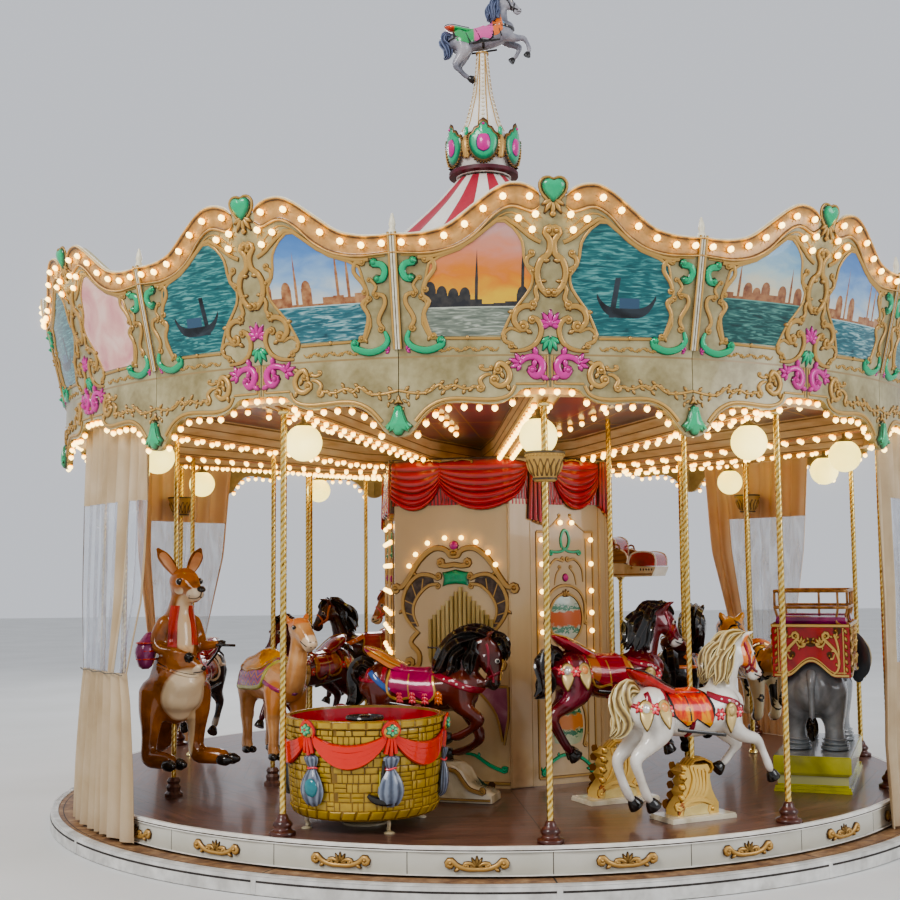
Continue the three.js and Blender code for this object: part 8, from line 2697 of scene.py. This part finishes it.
works = Bench()
works.add(turned([(0.0335, 0.3965), (0.0335, 0.70), (0.029, 0.78), (0.029, 0.815), (0.034, 0.82),
                  (0.034, 0.845), (0.02, 0.852), (0.004, 0.853)], 24), hoof_black)
rim = [(0.1 * cos(t), 0.1 * sin(t), 0.834) for t in np.linspace(0, 2 * pi, 37)]
works.add(sweep(rim, ROUND, 0.0115), hoof_black)
for k in range(4):
    spoke = [(0.02, 0, 0.834), (0.06, 0, 0.832), (0.096, 0, 0.834)]
    works.add(sweep(spoke, ROUND, 0.009), hoof_black, round_about(90 * k + 20))
works.piece("basket_hand_wheel", "basket", BASKET, "basket_yellow", 50)

stand = Bench()
stand.add(turned([(0.128, DECK_TOP + 0.001), (0.128, DECK_TOP + 0.012), (0.10, DECK_TOP + 0.02),
                  (0.06, DECK_TOP + 0.035), (0.06, 0.322), (0.10, 0.3225)], 32), base_cream)
for k in range(4):
    leg = [(0.0, 0.34, 0.32), (0.0, 0.345, 0.30), (0.0, 0.335, 0.28), (0.0, 0.345, DECK_TOP + 0.014)]
    stand.add(sweep(smooth(leg, 3), ROUND, 0.012), base_cream, round_about(45 + 90 * k))
    stand.add(turned([(0.03, DECK_TOP + 0.001), (0.03, DECK_TOP + 0.006), (0.018, DECK_TOP + 0.012),
                      (0.006, DECK_TOP + 0.014)], 16),
              base_cream, shift(0, 0.345, 0), round_about(45 + 90 * k))
stand.piece("basket_feet", "basket", BASKET, "basket_yellow", 50)
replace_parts(basket_piece, "balloon_basket")

# The two pedestals under the lifting horses. Each is a gilded block carved as one great acanthus leaf that
# rolls over at its top, cast in glass fibre and screwed to a cream plate on the deck. The horse's pole slides
# down inside it.
pedestal_gold = carved("pedestal_gold", "e6c271", "c79a45", "84571c", Roughness=0.28, Metallic=0.3)
foot_brown = carved("pedestal_foot_brown", "a8652f", "7d4420", "47220f", Roughness=0.3)
plate_cream = varnished("plate_cream", ("e9e1cd", "dcd2b8", "b7a887"))
foot_cream = varnished("pedestal_foot_cream", ("ecdc9c", "dfcb84", "b99a50"))
PLATE = 0.028
# The block from the side, as shares of half its length and of its height: up the back, over and down the front.
BLOCK = [(-0.66, 0.0), (-0.66, 0.1), (-0.56, 0.2), (-0.42, 0.3), (-0.5, 0.4), (-0.38, 0.47), (-0.44, 0.58),
         (-0.35, 0.64), (-0.52, 0.76), (-0.36, 0.8), (-0.3, 0.86), (0.3, 0.86), (0.38, 0.76), (0.36, 0.6),
         (0.42, 0.42), (0.52, 0.28), (0.62, 0.18), (0.62, 0.0)]


def carved_pedestal(name, r, deg, length, width, height):
    """A pedestal with its leaf ribbed from foot to top, rolled over at the top front and again at its foot."""
    bench = Bench()
    base, half, tall = DECK_TOP + 0.001, length / 2, height - PLATE
    for low, high, share in ((0.0, 0.02, 1.0), (0.02, PLATE, 0.975)):
        u, v = half * share, width / 2 * share
        corners = np.array([(-u, -v), (u, -v), (u, v), (-u, v)])
        rows = [np.column_stack([corners, np.full(4, base + z)]) for z in (low, high)]
        bench.add((np.concatenate(rows), capped(2, 4), 0.0), plate_cream)
    upright = lambda p: np.stack([p[:, 0] * half, p[:, 2], p[:, 1] * tall + base + PLATE], 1)
    bench.add(plate(BLOCK, width * 0.52), pedestal_gold, upright)
    bench.add(plate([(-0.5, 0.004), (0.48, 0.004), (0.44, 0.13), (0.1, 0.19), (-0.46, 0.13)], width * 0.56),
              foot_cream, upright)
    roll = curl([(-0.3 * half, 0.8 * tall), (-0.08 * half, 0.93 * tall), (0.2 * half, 0.95 * tall),
                 (0.4 * half, 0.88 * tall)], 0.034, 1.05)
    path = np.column_stack([roll[:, 0], np.zeros(len(roll)), roll[:, 1] + base + PLATE])
    across = np.linspace(-1, 1, 9)
    ribs = np.stack([(0.16 + 0.05 * (np.arange(9) % 2)) * (1 - 0.3 * across ** 2), across * 0.9,
                     (np.arange(9) % 2 == 0) * 0.7], 1)
    section = np.vstack([ribs, [(-0.06, 0.9, 0.6), (-0.06, -0.9, 0.6)]])
    grow = np.interp(np.linspace(0, 1, len(path)), [0, 0.35, 1], [0.7, 1.0, 0.72]) * width * 0.34
    bench.add(sweep(path, section, grow, normal=(0, 1, 0)), pedestal_gold)
    for side in (-1, 1):
        face = lambda p, side=side: np.stack([p[:, 0], side * (width * 0.255 + p[:, 2]),
                                              p[:, 1] + base + PLATE], 1)
        for k in range(5):
            rib = smooth([((-0.58 + 0.1 * k) * half, (0.2 + 0.02 * k) * tall),
                          ((-0.3 + 0.1 * k) * half, (0.36 - 0.015 * k) * tall),
                          ((-0.16 + 0.1 * k) * half, (0.62 - 0.04 * k) * tall),
                          ((-0.26 + 0.13 * k) * half, (0.86 - 0.03 * k) * tall)], 4)
            bench.add(sweep(rib, HALF_ROUND, np.interp(np.linspace(0, 1, len(rib)), [0, 0.5, 1],
                                                       [0.008, 0.019, 0.01])),
                      pedestal_gold, face)
        for x, z, heading in ((-0.42, 0.3, 165), (-0.42, 0.46, 150), (-0.4, 0.63, 140), (-0.36, 0.78, 140)):
            bench.add(petal((x * half, z * tall), heading, 0.05, 0.05, 0.35), pedestal_gold, face)
        bench.add(scroll([(-0.62 * half, 0.12 * tall), (-0.3 * half, 0.25 * tall), (0.12 * half, 0.25 * tall),
                          (0.42 * half, 0.16 * tall)], 0.034, (0.018, -0.026)), pedestal_gold, face)
        bench.add(scroll([(-0.64 * half, 0.02 * tall), (-0.6 * half, 0.1 * tall), (-0.5 * half, 0.14 * tall)],
                         0.03, (0.0, 0.014), leaves=2), foot_brown, face)
    piece = bench.piece(f"{name}_carved_pedestal", "ride", seat(r, deg, 0), "carved_gold", 50)
    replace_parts(piece, f"{name}_pedestal")


carved_pedestal("white_horse", 2.4, 22, 0.44, 0.22, 0.345)
carved_pedestal("maroon_horse", 1.71, 20, 0.48, 0.24, 0.37)
